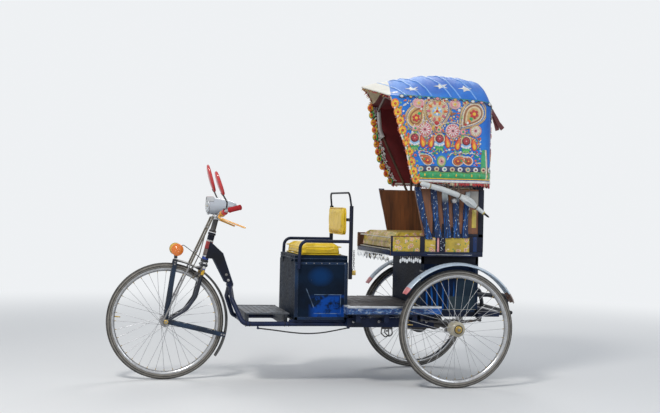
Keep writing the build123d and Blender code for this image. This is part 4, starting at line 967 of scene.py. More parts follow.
# Which finish a carried-over node wears
NODE_FINISHES: dict[str, Finish] = {
    "chassis_frame": Palette.frame_blue,
    "neck": Palette.neck_black,
    "driver_floor": Palette.floor_sheet,
    "driver_box": Palette.box_navy,
    "driver_lid": Palette.box_navy,
    "battery_pack": Palette.battery_black,
    "driver_rails": Palette.rail_blue,
    "footboard": Palette.board_edge,
    "seat_box": Palette.seat_box_navy,
    "seat_frame": Palette.frame_blue,
    "back_frame": Palette.frame_blue,
    "driver_cushion": Palette.yellow_seat,
    "driver_backrest": Palette.yellow_seat,
    "seat_cushion": Palette.floral_seat,
    "seat_back": Palette.floral_seat,
    "side_panel_left": Palette.panel_wood,
    "side_panel_right": Palette.panel_wood,
    "hood": Palette.hood_blue,
    "hood_bows": Palette.cane,
    "rain_roll": Palette.rain_white,
    "mudguard_rear_left": Palette.guard_silver,
    "mudguard_rear_right": Palette.guard_silver,
    "front_mudguard": Palette.guard_dark,
    "rear_bumper": Palette.bumper_black,
    "rear_axle": Palette.dark_steel,
    "front_axle": Palette.dull_steel,
    "leaf_springs": Palette.dark_steel,
    "drive_unit": Palette.dark_steel,
    "fork": Palette.fork_black,
    "fork_rods": Palette.chrome,
    "handlebar": Palette.chrome,
    "wheel_front": Palette.rim_steel,
    "wheel_rear_left": Palette.rim_steel,
    "wheel_rear_right": Palette.rim_steel,
    "tyre_front": Palette.sidewall,
    "tyre_rear_left": Palette.sidewall,
    "tyre_rear_right": Palette.sidewall,
    "grips": Palette.grip_red,
    "brake_levers": Palette.lever_orange,
    "indicators": Palette.amber,
    "headlamp": Palette.lamp_shell,
    "headlamp_glass": Palette.clear_lens,
    "mirror_left": Palette.mirror_red,
    "mirror_right": Palette.mirror_red,
    "loose_cable": Palette.cable_black,
}


# Shapes


def rounded(points: Sequence[Point], bend: float, steps: int = 6) -> list[Vector]:
    """Straight runs joined by arcs.

    Args:
        points: the corners of the line, its two ends first and last.
        bend: radius of every arc.
        steps: pieces of each arc.

    Returns:
        The points of the line.
    """
    corners = [Vector(p) for p in points]
    line = [corners[0]]
    for before, here, after in zip(corners, corners[1:], corners[2:]):
        back, on = (before - here).normalized(), (after - here).normalized()
        half = back.angle(on) / 2
        reach = bend / math.tan(half)
        centre = here + (back + on).normalized() * (bend / math.sin(half))
        first, last = here + back * reach - centre, here + on * reach - centre
        turn = first.angle(last)
        for i in range(steps + 1):
            share = i / steps
            weights = math.sin((1 - share) * turn) / math.sin(turn), math.sin(share * turn) / math.sin(turn)
            line.append(centre + first * weights[0] + last * weights[1])
    line.append(corners[-1])
    return line


class Shape:
    """Collects the vertices and faces of one piece, each face with its finish."""

    def __init__(self, name: str) -> None:
        """Start an empty piece of that name.

        Args:
            name: name of the piece.
        """
        self.name = name
        self.points: list[Vector] = []
        self.faces: list[tuple[int, ...]] = []
        self.marks: list[int] = []
        self.finishes: list[Finish] = []

    def _mark(self, finish: Finish) -> int:
        """Number of a finish in this piece.

        Args:
            finish: finish of the faces.

        Returns:
            Its number.
        """
        if finish not in self.finishes:
            self.finishes.append(finish)
        return self.finishes.index(finish)

    def add(self, points: Iterable[Point], faces: Iterable[Sequence[int]], finish: Finish) -> None:
        """Add faces that index into their own points.

        Args:
            points: places of the corners.
            faces: numbers of each face's corners.
            finish: finish of the faces.
        """
        start = len(self.points)
        self.points += [Vector(p) for p in points]
        mark = self._mark(finish)
        for face in faces:
            self.faces.append(tuple(start + i for i in face))
            self.marks.append(mark)

    def rings(
        self, rings: Sequence[Sequence[Point]], finish: Finish, around: bool = True, along: bool = False,
        caps: bool = True, pick: Optional[Callable[[int], Finish]] = None,
    ) -> None:
        """Skin a row of rings that have as many points each.

        Args:
            rings: the rings, in order.
            finish: what the faces wear.
            around: whether each ring is closed.
            along: whether the last ring joins the first.
            caps: whether the first and last rings are filled, where along is off.
            pick: the finish of the faces between points i and i + 1 of each ring, if it varies.
        """
        count = len(rings[0])
        start = len(self.points)
        for ring in rings:
            self.points += [Vector(p) for p in ring]
        last_ring = len(rings) if along else len(rings) - 1
        last_point = count if around else count - 1
        for r in range(last_ring):
            low, high = start + r * count, start + (r + 1) % len(rings) * count
            for i in range(last_point):
                j = (i + 1) % count
                self.faces.append((low + i, low + j, high + j, high + i))
                self.marks.append(self._mark(pick(i) if pick else finish))
        if caps and around and not along:
            self.faces.append(tuple(start + i for i in reversed(range(count))))
            self.faces.append(tuple(start + (len(rings) - 1) * count + i for i in range(count)))
            self.marks += [self._mark(finish)] * 2

    def spans(self, rings: Sequence[Sequence[Point]], parts: Sequence[tuple[int, Finish]]) -> None:
        """Skin a row of closed rings in runs of different finishes, filled at both ends.

        Args:
            rings: the rings, in order.
            parts: how many steps each run takes, and what it wears.
        """
        at = 0
        for steps, finish in parts:
            self.rings(rings[at:at + steps + 1], finish, caps=False)
            at += steps
        count = len(rings[0])
        self.add(rings[0], [tuple(reversed(range(count)))], parts[0][1])
        self.add(rings[-1], [tuple(range(count))], parts[-1][1])

    def tube(
        self, line: Sequence[Point], radius: float | Sequence[float], finish: Finish, sides: int = 14,
        flat: float = 1.0, loop: bool = False,
    ) -> None:
        """Add a round or flattened tube along a line.

        Args:
            line: the points of its middle line.
            radius: one radius, or one for each point.
            finish: what it wears.
            sides: faces round the tube.
            flat: height of its section as a share of its width.
            loop: whether it closes on itself.
        """
        places = [Vector(p) for p in line]
        radii = [radius] * len(places) if isinstance(radius, (int, float)) else list(radius)
        count = len(places)
        side = None
        rings = []
        for i, here in enumerate(places):
            before = places[i - 1] if i or loop else here
            after = places[(i + 1) % count] if i + 1 < count or loop else here
            ahead = (after - before).normalized()
            if side is None:
                start = Vector((0, 0, 1)) if abs(ahead.z) < 0.9 else Vector((0, 1, 0))
                side = ahead.cross(start)
            side = (side - ahead * side.dot(ahead)).normalized()
            up = side.cross(ahead)
            rings.append([
                here + side * (radii[i] * math.cos(a)) + up * (radii[i] * flat * math.sin(a))
                for a in (2 * math.pi * k / sides for k in range(sides))
            ])
        self.rings(rings, finish, along=loop)

    def lathe(
        self, profile: Sequence[tuple[float, float]], centre: Point, axis: Point, finish: Finish,
        sides: int = 32, closed: bool = False, pick: Optional[Callable[[int], Finish]] = None,
    ) -> None:
        """Turn a profile about an axis.

        Args:
            profile: distance from the axis and place along it, for each point.
            centre: a point of the axis.
            axis: its direction.
            finish: what it wears.
            sides: steps round the axis.
            closed: whether the profile joins its own start, as on a ring.
            pick: the finish of each face along the profile, if it varies.
        """
        middle, along = Vector(centre), Vector(axis).normalized()
        start = Vector((0, 0, 1)) if abs(along.z) < 0.9 else Vector((1, 0, 0))
        u = along.cross(start).normalized()
        v = along.cross(u)
        rings = [
            [middle + along * h + (u * math.cos(a) + v * math.sin(a)) * r for r, h in profile]
            for a in (2 * math.pi * k / sides for k in range(sides))
        ]
        self.rings(rings, finish, around=closed, along=True, caps=False, pick=pick)

    def box(self, low: Point, high: Point, finish: Finish, turn: Optional[Matrix] = None, edge: float = 0.0) -> None:
        """Add a block between two corners, turned about its middle, with its edges cut back.

        Args:
            low: lowest corner.
            high: highest corner.
            finish: finish of the faces.
            turn: turn about the middle.
            edge: width of the cut edge.
        """
        middle = (Vector(low) + Vector(high)) / 2
        half = (Vector(high) - Vector(low)) / 2
        grown = bmesh.new()
        bmesh.ops.create_cube(grown, size=2.0)
        for vert in grown.verts:
            vert.co = Vector((vert.co.x * half.x, vert.co.y * half.y, vert.co.z * half.z))
        if edge:
            bmesh.ops.bevel(grown, geom=list(grown.edges), offset=edge, segments=2, affect="EDGES", profile=0.5)
        grown.verts.index_update()
        spots = [(turn @ v.co if turn else v.co) + middle for v in grown.verts]
        self.add(spots, [[v.index for v in f.verts] for f in grown.faces], finish)
        grown.free()

    def disc(self, centre: Point, axis: Point, radius: float, thick: float, finish: Finish, sides: int = 20) -> None:
        """Add a round plate with a small bevel, from its centre forward along the axis.

        Args:
            centre: middle of the foot.
            axis: direction from the foot to the top.
            radius: radius in metres.
            thick: thickness in metres.
            finish: finish of the faces.
            sides: how many sides the circle has.
        """
        edge = min(thick, radius) * 0.25
        profile = [(0, 0), (radius - edge, 0), (radius, edge), (radius, thick - edge),
                   (radius - edge, thick), (0, thick)]
        self.lathe(profile, centre, axis, finish, sides)

    def nut(self, centre: Point, axis: Point, across: float, thick: float, finish: Finish) -> None:
        """Add a six-sided nut with a bolt's end through it.

        Args:
            centre: middle of the foot.
            axis: direction from the foot to the top.
            across: distance across the flats.
            thick: thickness in metres.
            finish: finish of the faces.
        """
        self.disc(centre, axis, across * 0.72, thick * 0.2, finish, 20)
        along = Vector(axis).normalized()
        self.lathe(
            [(0, thick * 0.2), (across * 0.56, thick * 0.2), (across * 0.577, thick * 0.9), (across * 0.48, thick),
             (0, thick)], centre, along, finish, 6,
        )
        self.disc(Vector(centre) + along * thick, along, across * 0.28, thick * 0.3, finish, 12)

    def finish(
        self, body: str, slot: str, replaces: Sequence[str] = (), smooth: float = 40.0, close: float = 0.0,
    ) -> bpy.types.Object:
        """Turn the collected faces into an object of the scene.

        Args:
            body: the body that it rides on.
            slot: not used.
            replaces: nodes that it stands for.
            smooth: angle in degrees below which faces shade as one.
            close: points nearer than this are joined.

        Returns:
            The new object.
        """
        mesh = bpy.data.meshes.new(self.name)
        mesh.from_pydata(self.points, [], self.faces)
        for finish in self.finishes:
            mesh.materials.append(finish.material())
        mesh.polygons.foreach_set("material_index", self.marks)
        work = bmesh.new()
        work.from_mesh(mesh)
        bmesh.ops.remove_doubles(work, verts=work.verts, dist=max(close, 1e-6))
        bmesh.ops.recalc_face_normals(work, faces=work.faces)
        work.to_mesh(mesh)
        work.free()
        mesh.polygons.foreach_set("use_smooth", [True] * len(mesh.polygons))
        mesh.set_sharp_from_angle(angle=math.radians(smooth))
        piece = bpy.data.objects.new(self.name, mesh)
        bpy.context.scene.collection.objects.link(piece)
        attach(piece, body)
        if replaces:
            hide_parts(*replaces)
        LOG.info("%s: %d faces on %s", self.name, len(mesh.polygons), body)
        return piece


# Studio


@dataclass(frozen=True)
class FloorFinish(Finish):
    """Plain matt floor that keeps the shadow near the object and turns into the backdrop further out."""

    colour: Colour = (0.80, 0.81, 0.82)
    backdrop: Colour = (0.86, 0.88, 0.90)
    near: float = 2.6
    far: float = 7.5

    def dress(self, tree: Tree, shader: bpy.types.Node) -> None:
        """Wire the matt floor, and the backdrop's colour for what is seen of it far out.

        Args:
            tree: nodes of the material.
            shader: the material's Principled shader.
        """
        self.feed(tree, shader, Base_Color=self.colour, Roughness=0.92)
        x, y, _ = tree.axes(tree.place())
        flat = tree.put("CombineXYZ", {0: x, 1: y}).outputs[0]
        away = tree.put("VectorMath", {0: flat}, operation="LENGTH").outputs["Value"]
        share = tree.put("MapRange", {"Value": away, "From Min": self.near, "From Max": self.far},
                         interpolation_type="SMOOTHSTEP").outputs[0]
        path = tree.put("LightPath").outputs
        seen = tree.math("MAXIMUM", path["Is Camera Ray"], tree.math("MAXIMUM", path["Is Glossy Ray"],
                                                                    path["Is Transmission Ray"]))
        glow = tree.put("Emission", {"Color": (*self.backdrop, 1.0), "Strength": 1.0})
        mixed = tree.put("MixShader", {0: tree.math("MULTIPLY", share, seen)})
        out = next(n for n in tree.tree.nodes if n.type == "OUTPUT_MATERIAL")
        tree.tree.links.new(shader.outputs[0], mixed.inputs[1])
        tree.tree.links.new(glow.outputs[0], mixed.inputs[2])
        tree.tree.links.new(mixed.outputs[0], out.inputs[0])


@dataclass
class Studio:
    """Camera, floor, backdrop and lamps."""

    eye: tuple[float, float, float] = (2.179 + REAR_X, 7.081, 1.079)
    turn: float = math.radians(11.85)
    roll: float = math.radians(1.23)
    lens: float = 62.6
    floor: FloorFinish = FloorFinish("stage_floor")

    def camera(self) -> None:
        """Set up the camera at the photograph's viewing angle."""
        back = Vector((math.sin(self.turn), math.cos(self.turn), 0.0))
        right = Vector((-math.cos(self.turn), math.sin(self.turn), 0.0))
        up = back.cross(right)
        side = right * math.cos(self.roll) + up * math.sin(self.roll)
        top = up * math.cos(self.roll) - right * math.sin(self.roll)
        data = bpy.data.cameras.new("camera")
        data.lens = self.lens
        data.sensor_width = 36.0
        data.clip_end = 300.0
        data.dof.use_dof = False
        camera = bpy.data.objects.new("camera", data)
        camera.matrix_world = Matrix((
            (side.x, top.x, back.x, self.eye[0]),
            (side.y, top.y, back.y, self.eye[1]),
            (side.z, top.z, back.z, self.eye[2]),
            (0, 0, 0, 1),
        ))
        bpy.context.scene.collection.objects.link(camera)
        bpy.context.scene.camera = camera

    def ground(self) -> None:
        """Lay the pale floor."""
        shape = Shape("studio_floor")
        rings = [
            [(r * math.cos(a), r * math.sin(a), 0.0) for r in (0.0, 1.0, 2.5, 5.0, 10.0, 25.0, 60.0)]
            for a in angles(72)
        ]
        shape.rings(rings, self.floor, around=False, along=True, caps=False)
        mesh = bpy.data.meshes.new(shape.name)
        mesh.from_pydata(shape.points, [], shape.faces)
        mesh.materials.append(self.floor.material())
        piece = bpy.data.objects.new(shape.name, mesh)
        bpy.context.scene.collection.objects.link(piece)

    def lamp(self, name: str, place: Point, target: Point, size: float, power: float, colour: Colour) -> None:
        """Hang a round lamp that points at a target.

        Args:
            name: name of the piece.
            place: where it hangs.
            target: point that it faces.
            size: size in metres.
            power: power in watts.
            colour: colour of the light.
        """
        data = bpy.data.lights.new(name, "AREA")
        data.shape = "DISK"
        data.size = size
        data.energy = power
        data.color = colour
        lamp = bpy.data.objects.new(name, data)
        lamp.location = place
        lamp.rotation_euler = (Vector(target) - Vector(place)).to_track_quat("-Z", "Y").to_euler()
        bpy.context.scene.collection.objects.link(lamp)

    def sky(self) -> None:
        """Set the world: soft light on the object, and a plain pale colour where it is seen itself."""
        world = bpy.data.worlds.new("world")
        bpy.context.scene.world = world
        world.use_nodes = True
        world.node_tree.nodes.clear()
        tree = Tree(world.node_tree)
        path = tree.put("LightPath").outputs
        seen = tree.math("MAXIMUM", path["Is Camera Ray"], tree.math("MAXIMUM", path["Is Glossy Ray"],
                                                                    path["Is Transmission Ray"]))
        soft = tree.put("Background", {"Color": (0.86, 0.92, 1.0, 1.0), "Strength": 0.44})
        plain = tree.put("Background", {"Color": (*self.floor.backdrop, 1.0), "Strength": 1.0})
        mixed = tree.put("MixShader", {0: seen})
        out = tree.put("OutputWorld")
        world.node_tree.links.new(soft.outputs[0], mixed.inputs[1])
        world.node_tree.links.new(plain.outputs[0], mixed.inputs[2])
        world.node_tree.links.new(mixed.outputs[0], out.inputs[0])

    def build(self) -> None:
        """Build the whole studio."""
        bpy.context.scene.view_settings.view_transform = "Standard"
        self.camera()
        self.ground()
        self.sky()
        self.lamp("key", (2.6, 3.6, 5.4), (0.0, 0.0, 0.8), 1.3, 200.0, (1.0, 0.97, 0.92))
        self.lamp("fill", (-3.5, 4.5, 2.6), (0.0, 0.0, 0.8), 3.0, 45.0, (0.92, 0.96, 1.0))
        self.lamp("rear", (-1.5, -4.0, 4.5), (0.0, 0.0, 1.0), 2.5, 80.0, (1.0, 0.98, 0.95))


# Wheels


@dataclass
class Wheel:
    """A spoked cycle wheel with its tyre."""

    name: str
    body: str
    x: float
    y: float
    hub_half: float
    barrel: float
    tyre_node: str
    wheel_node: str
    rim_r: float = 0.318
    spokes: int = 36
    blocks: int = 112
    tyre_half: float = 0.021
    section_r: float = 0.018

    @property
    def centre(self) -> Vector:
        """Middle of the wheel."""
        return Vector((self.x, self.y, WHEEL_R))

    def spot(self, turn: float, radius: float, across: float) -> Vector:
        """Point of the wheel at an angle up from straight ahead."""
        return self.centre + Vector((radius * math.cos(turn), across, radius * math.sin(turn)))

    def tyre(self) -> None:
        """Build the tyre: its casing with a black line on each wall, and the tread's ribs and blocks."""
        shape = Shape(self.name + "_tyre")
        core = self.rim_r + 0.0195
        angles = [math.radians(a) for a in range(-140, 141, 14)]
        profile = [(core + self.section_r * math.cos(a), self.tyre_half * math.sin(a)) for a in angles]
        profile = [(self.rim_r + 0.0003, -0.012), *profile, (self.rim_r + 0.0003, 0.012)]

        def wall(i: int) -> Finish:
            """The rubber at one point of the section.

            Args:
                i: number of the point along the section.

            Returns:
                The finish of the band that starts there.
            """
            if i == 0 or i >= len(profile) - 2:
                return Palette.black_rubber
            middle = abs(math.degrees(angles[i - 1]) + 7)
            if middle < 57:
                return Palette.tread
            return Palette.black_rubber if 86 < middle < 96 else Palette.sidewall

        shape.lathe(profile, self.centre, (0, 1, 0), Palette.sidewall, 120, closed=True, pick=wall)
        top = WHEEL_R - core
        for mid in (-9.0, 9.0):
            rib = []
            for a, grow in ((mid - 6, 0.0), (mid - 5, 1.0), (mid + 5, 1.0), (mid + 6, 0.0)):
                reach = self.section_r - 0.0005 + (top - self.section_r) * grow
                rib.append((core + reach * math.cos(math.radians(a)), 1.12 * reach * math.sin(math.radians(a))))
            shape.lathe(rib, self.centre, (0, 1, 0), Palette.tread, 120)
        for k in range(self.blocks):
            for low, high, skew in ((-54, -22, 0.55), (22, 54, -0.55)):
                corners = []
                for grow, inset in ((0.0, 0.0), (1.0, 0.16)):
                    for a, along in ((low, -0.34), (high, -0.34), (high, 0.34), (low, 0.34)):
                        side = a + (low + high - 2 * a) * 0.5 * inset
                        shift = along * (1 - inset) + skew * (a - (low + high) / 2) / 32 * 0.3 * math.copysign(1, low)
                        reach = self.section_r - 0.0006 + 0.0021 * grow
                        turn = 2 * math.pi * (k + shift + (0.5 if low > 0 else 0)) / self.blocks
                        radius = core + reach * math.cos(math.radians(side))
                        corners.append(self.spot(turn, radius, 1.15 * reach * math.sin(math.radians(side))))
                shape.add(corners, [(4, 5, 6, 7), (0, 1, 5, 4), (1, 2, 6, 5), (2, 3, 7, 6), (3, 0, 4, 7)],
                          Palette.tread)
        shape.finish(self.body, "tyre_rubber", [self.tyre_node])

    def rim(self, shape: Shape) -> None:
        """Add the rim with its rolled edges and the valve.

        Args:
            shape: shape that takes the faces.
        """
        half, r = 0.0168, self.rim_r
        outline = [
            (r + 0.0065, -half), (r + 0.0065, -half + 0.0016), (r - 0.001, -half + 0.0022), (r - 0.004, -0.009),
            (r - 0.006, 0.0), (r - 0.004, 0.009), (r - 0.001, half - 0.0022), (r + 0.0065, half - 0.0016),
            (r + 0.0065, half), (r + 0.002, half + 0.0004), (r - 0.004, half - 0.0018), (r - 0.0095, 0.0095),
            (r - 0.0125, 0.005), (r - 0.0115, 0.0), (r - 0.0125, -0.005), (r - 0.0095, -0.0095),
            (r - 0.004, -half + 0.0018), (r + 0.002, -half - 0.0004),
        ]
        shape.lathe(outline, self.centre, (0, 1, 0), Palette.rim_steel, 120, closed=True)
        valve = [self.spot(math.radians(5), r - 0.012 - d, 0.0) for d in (0.0, 0.022, 0.023, 0.034)]
        shape.tube(valve, [0.004, 0.004, 0.0032, 0.0032], Palette.brass, 10)

    def wires(self, shape: Shape) -> None:
        """Add the spokes, crossed from the two flanges to the rim, with a nipple at each.

        Args:
            shape: shape that takes the faces.
        """
        flange_y = min(self.hub_half - 0.008, 0.030)
        for i in range(self.spokes):
            side = 1 if i % 2 else -1
            lean = 1 if (i // 2) % 2 else -1
            at_rim = 2 * math.pi / self.spokes * i
            at_hub = at_rim + lean * math.radians(62)
            start = self.spot(at_hub, 0.030, side * (flange_y + (0.0052 if lean > 0 else 0.0008)))
            end = self.spot(at_rim, self.rim_r - 0.012, side * 0.003)
            away = (end - start).normalized()
            shape.tube([start, end], 0.00135, Palette.spoke_steel, 6)
            shape.tube([end - away * 0.010, end], [0.0018, 0.0026], Palette.brass, 7)
            shape.tube([start - Vector((0, side * 0.002, 0)), start + Vector((0, side * 0.002, 0))], 0.0025,
                       Palette.spoke_steel, 6)

    def hub(self, shape: Shape) -> None:
        """Add the hub with its flanges and dust caps."""
        raise NotImplementedError

    def build(self) -> None:
        """Build the tyre and the wheel."""
        self.tyre()
        shape = Shape(self.name + "_wheel")
        self.rim(shape)
        self.wires(shape)
        self.hub(shape)
        shape.finish(self.body, "wheel_steel", [self.wheel_node])


@dataclass
class FrontWheel(Wheel):
    """The steered wheel, on a slim hub."""

    def hub(self, shape: Shape) -> None:
        """Add the slim hub.

        Args:
            shape: shape that takes the faces.
        """
        half, flange, r = self.hub_half, 0.026, self.barrel
        side = [
            (0.0065, half), (0.012, half), (0.0135, half - 0.003), (0.0145, flange + 0.0065), (0.033, flange + 0.0055),
            (0.034, flange + 0.004), (0.034, flange + 0.001), (0.030, flange), (r + 0.002, flange - 0.002),
            (r - 0.002, flange - 0.010), (r - 0.003, 0.0),
        ]
        profile = [(radius, -h) for radius, h in side] + [(radius, h) for radius, h in reversed(side[:-1])]
        shape.lathe(profile, self.centre, (0, 1, 0), Palette.dull_steel, 36)


@dataclass
class RearWheel(Wheel):
    """A driven wheel, on a broad hub with a nut in its cap."""

    def hub(self, shape: Shape) -> None:
        """Add the broad hub, its painted cap and its dark seal ring.

        Args:
            shape: shape that takes the faces.
        """
        half, flange, r = self.hub_half, 0.030, self.barrel
        side = [
            (0.0105, half), (0.0285, half), (0.0305, half - 0.002), (0.0330, half - 0.008), (0.0400, half - 0.012),
            (0.0445, flange + 0.0065), (0.0455, flange + 0.004), (0.0455, flange + 0.001),
            (0.0430, flange), (r + 0.006, flange - 0.003), (r, flange - 0.010), (r, 0.0),
        ]
        profile = [(radius, -h) for radius, h in side] + [(radius, h) for radius, h in reversed(side[:-1])]
        shape.lathe(profile, self.centre, (0, 1, 0), Palette.hub_cream, 40)
        out = math.copysign(1.0, self.y)
        face = self.centre + Vector((0, out * (half - 0.0004), 0))
        shape.lathe([(0.0175, 0), (0.0175, 0.0012), (0.0185, 0.0018), (0.0262, 0.0018), (0.0272, 0.0012), (0.0272, 0)],
                    face, (0, out, 0), Palette.black_rubber, 36)


@dataclass
class RearAxle:
    """The axle's visible ends: washers, nuts and the tips of the axle."""

    end: float = 0.530
    face: float = 0.522

    def build(self) -> None:
        """Build both ends over the axle's own nuts."""
        shape = Shape("axle_ends")
        for side in (1, -1):
            seat = Vector((REAR_X, side * self.face, WHEEL_R))
            along = Vector((0, side, 0))
            shape.lathe([(0, 0), (0.0215, 0), (0.0222, 0.0006), (0.0222, 0.0018), (0.0215, 0.0024), (0, 0.0024)],
                        seat - along * 0.0002, along, Palette.brass, 28)
            shape.lathe([(0, 0.002), (0.0165, 0.002), (0.0172, 0.0032), (0.0172, 0.0062),
                         (0.0145, 0.0076), (0, 0.0076)],
                        seat, along, Palette.brass, 6)
            shape.lathe([(0, 0.0070), (0.0098, 0.0070), (0.0098, 0.0077), (0.0086, 0.0080), (0, 0.0080)],
                        seat, along, Palette.dull_steel, 18)
        shape.finish("chassis", "bare_steel")


# Steering

STEER_TURN = Matrix.Rotation(STEER_RAKE - math.pi / 2, 3, "Y")
STEER_UP = Vector((-math.cos(STEER_RAKE), 0.0, math.sin(STEER_RAKE)))
STEER_POINT = Vector((fore(1.519), 0.0, 0.560))


def on_axis(height: float, y: float = 0.0, ahead: float = 0.0) -> Vector:
    """Point of the steering axis at a height, moved sideways and ahead at right angles to it."""
    spot = STEER_POINT + STEER_UP * ((height - STEER_POINT.z) / STEER_UP.z)
    return spot + Vector((ahead * STEER_UP.z, y, -ahead * STEER_UP.x))


@dataclass
class FrontFork:
    """Fork, its crown, the rod stays and the axle's nuts."""

    blade_y: float = 0.050
    crown: tuple[float, float] = (0.694, 0.716)
    rod_y: float = 0.066
    rod_r: float = 0.004

    def blades(self) -> None:
        """Build the blades, their taped tops, the crown and the dropouts."""
        shape = Shape("fork_blades")
        for side in (1, -1):
            y = side * self.blade_y
            line = rounded([on_axis(0.700, y), (fore(1.532), y, 0.508), (fore(1.588), y, 0.428), (FRONT_X, y, WHEEL_R)],
                           0.075, 8)
            count = len(line) - 1
            radii = [0.0125 - 0.004 * (i / count) for i in range(count + 1)]
            shape.tube(line, radii, Palette.fork_black, 18)
            # tape at the top of the blade
            run = (line[1] - line[0]).normalized()
            for start, end, finish in ((0.004, 0.020, Palette.tape_white), (0.020, 0.026, Palette.tape_blue),
                                       (0.026, 0.058, Palette.lamp_yellow)):
                a, b = line[0] + run * start, line[0] + run * end
                shape.tube([a, a + run * 0.002, b - run * 0.002, b], [0.0131, 0.0145, 0.0145, 0.0131], finish, 18)
            shape.disc((FRONT_X, y - 0.0055, WHEEL_R), (0, 1, 0), 0.018, 0.011, Palette.fork_black, 26)
        middle = (on_axis(self.crown[0]) + on_axis(self.crown[1])) / 2
        half = Vector((0.021, self.blade_y + 0.014, 0.0105))
        shape.box(middle - half, middle + half, Palette.fork_black, STEER_TURN, 0.007)
        for side in (1, -1):
            top = on_axis(self.crown[1] + 0.0005, side * self.blade_y)
            shape.lathe([(0, 0.006), (0.009, 0.005), (0.0135, 0.0), (0.0145, -0.004)], top,
                        STEER_UP, Palette.chrome, 20)
            shape.nut(on_axis(0.705, side * 0.028, 0.0205), (STEER_UP.z, 0, -STEER_UP.x), 0.011, 0.005,
                      Palette.dull_steel)
        line = [on_axis(self.crown[1]), on_axis(0.900)]
        shape.tube(line, 0.0132, Palette.dull_steel, 18)
        # cup under the head tube
        shape.lathe([(0.014, 0.0), (0.022, 0.0), (0.0235, 0.001), (0.0235, 0.003), (0.0215, 0.0045), (0.014, 0.0045)],
                    on_axis(self.crown[1]), STEER_UP, Palette.chrome, 28)
        shape.finish("steering", "fork_paint", ["fork"])

    def brake(self) -> None:
        """Build the stirrup brake that sits over the front wheel."""
        shape = Shape("stirrup_brake")
        for side in (1, -1):
            y = side * 0.030
            start = on_axis(0.688, y, 0.012)
            low = Vector((fore(1.560), side * 0.029, 0.672))
            shape.tube(rounded([start, (fore(1.545), y, 0.690), low], 0.008, 4), 0.0035, Palette.dull_steel, 10)
            shape.box(low + Vector((-0.016, -0.005, -0.010)), low + Vector((0.016, 0.005, 0.004)),
                      Palette.black_rubber, Matrix.Rotation(math.radians(20), 3, "Y"), 0.0015)
        shape.tube([(fore(1.545), -0.030, 0.690), (fore(1.545), 0.030, 0.690)], 0.0035, Palette.dull_steel, 10)
        shape.tube([(fore(1.545), 0.0, 0.690), on_axis(0.760, 0.0, 0.040), on_axis(0.985, 0.0, 0.040)], 0.003,
                   Palette.rod_steel, 10)
        for side in (1, -1):
            arm = rounded([on_axis(0.700, side * 0.060, 0.010), (fore(1.512), side * 0.062, 0.640),
                           (fore(1.548), side * 0.044, 0.628), (fore(1.556), side * 0.030, 0.655)], 0.012, 4)
            shape.tube(arm, 0.0046, Palette.dark_steel, 12)
            for x, z in ((1.512, 0.640), (1.549, 0.630), (1.500, 0.676)):
                shape.nut((fore(x), side * 0.0655, z), (0, side, 0), 0.011, 0.006, Palette.rod_steel)
            shape.lathe([(0, 0), (0.011, 0.0), (0.012, 0.002), (0.012, 0.009), (0.009, 0.012), (0, 0.012)],
                        (fore(1.528), side * 0.060, 0.652), (0, side, 0), Palette.dark_steel, 20)
        shape.finish("steering", "chrome")

    def rods(self) -> None:
        """Build the straight rod stays, hooked round the axle and joined by a bar at the top."""
        shape = Shape("rod_stays")
        for side in (1, -1):
            y = side * self.rod_y
            top = Vector((fore(1.436), y, 1.000))
            foot = Vector((FRONT_X + 0.014, y, WHEEL_R + 0.008))
            join = top.lerp(foot, 0.46)
            shape.tube([top, join], self.rod_r + 0.0018, Palette.rod_steel, 12)
            shape.tube([join, foot], self.rod_r + 0.0012, Palette.dull_steel, 12)
            hook = [
                (FRONT_X + 0.0125 * math.cos(a), y, WHEEL_R + 0.0125 * math.sin(a))
                for a in (math.radians(30 - 30 * k) for k in range(12))
            ]
            shape.tube(hook, 0.0036, Palette.rod_steel, 10)
            # clamps along the rod
            for share in (0.10, 0.33, 0.52, 0.76):
                spot = top.lerp(foot, share)
                away = (foot - top).normalized()
                shape.tube([spot - away * 0.006, spot - away * 0.005, spot + away * 0.005, spot + away * 0.006],
                           [0.004, 0.0072, 0.0072, 0.004], Palette.dull_steel, 12)
        bar = [(fore(1.436), -self.rod_y - 0.004, 0.996), (fore(1.436), self.rod_y + 0.004, 0.996)]
        shape.tube(bar, 0.006, Palette.rod_steel, 14)
        shape.finish("steering", "chrome", ["fork_rods"])

    def nuts(self) -> None:
        """Build the axle's washers and nuts over its plain ends."""
        shape = Shape("front_axle_nuts")
        for side in (1, -1):
            out = (0, side, 0)
            shape.disc((FRONT_X, side * 0.0702, WHEEL_R), out, 0.015, 0.0015, Palette.dull_steel, 24)
            shape.lathe([(0, 0), (0.0138, 0), (0.0143, 0.001), (0.0143, 0.0075), (0.0125, 0.0088), (0, 0.0088)],
                        (FRONT_X, side * 0.0716, WHEEL_R), out, Palette.brass, 6)
        shape.finish("steering", "bare_steel")

    def build(self) -> None:
        """Build every piece of the fork."""
        self.blades()
        self.brake()
        self.rods()
        self.nuts()


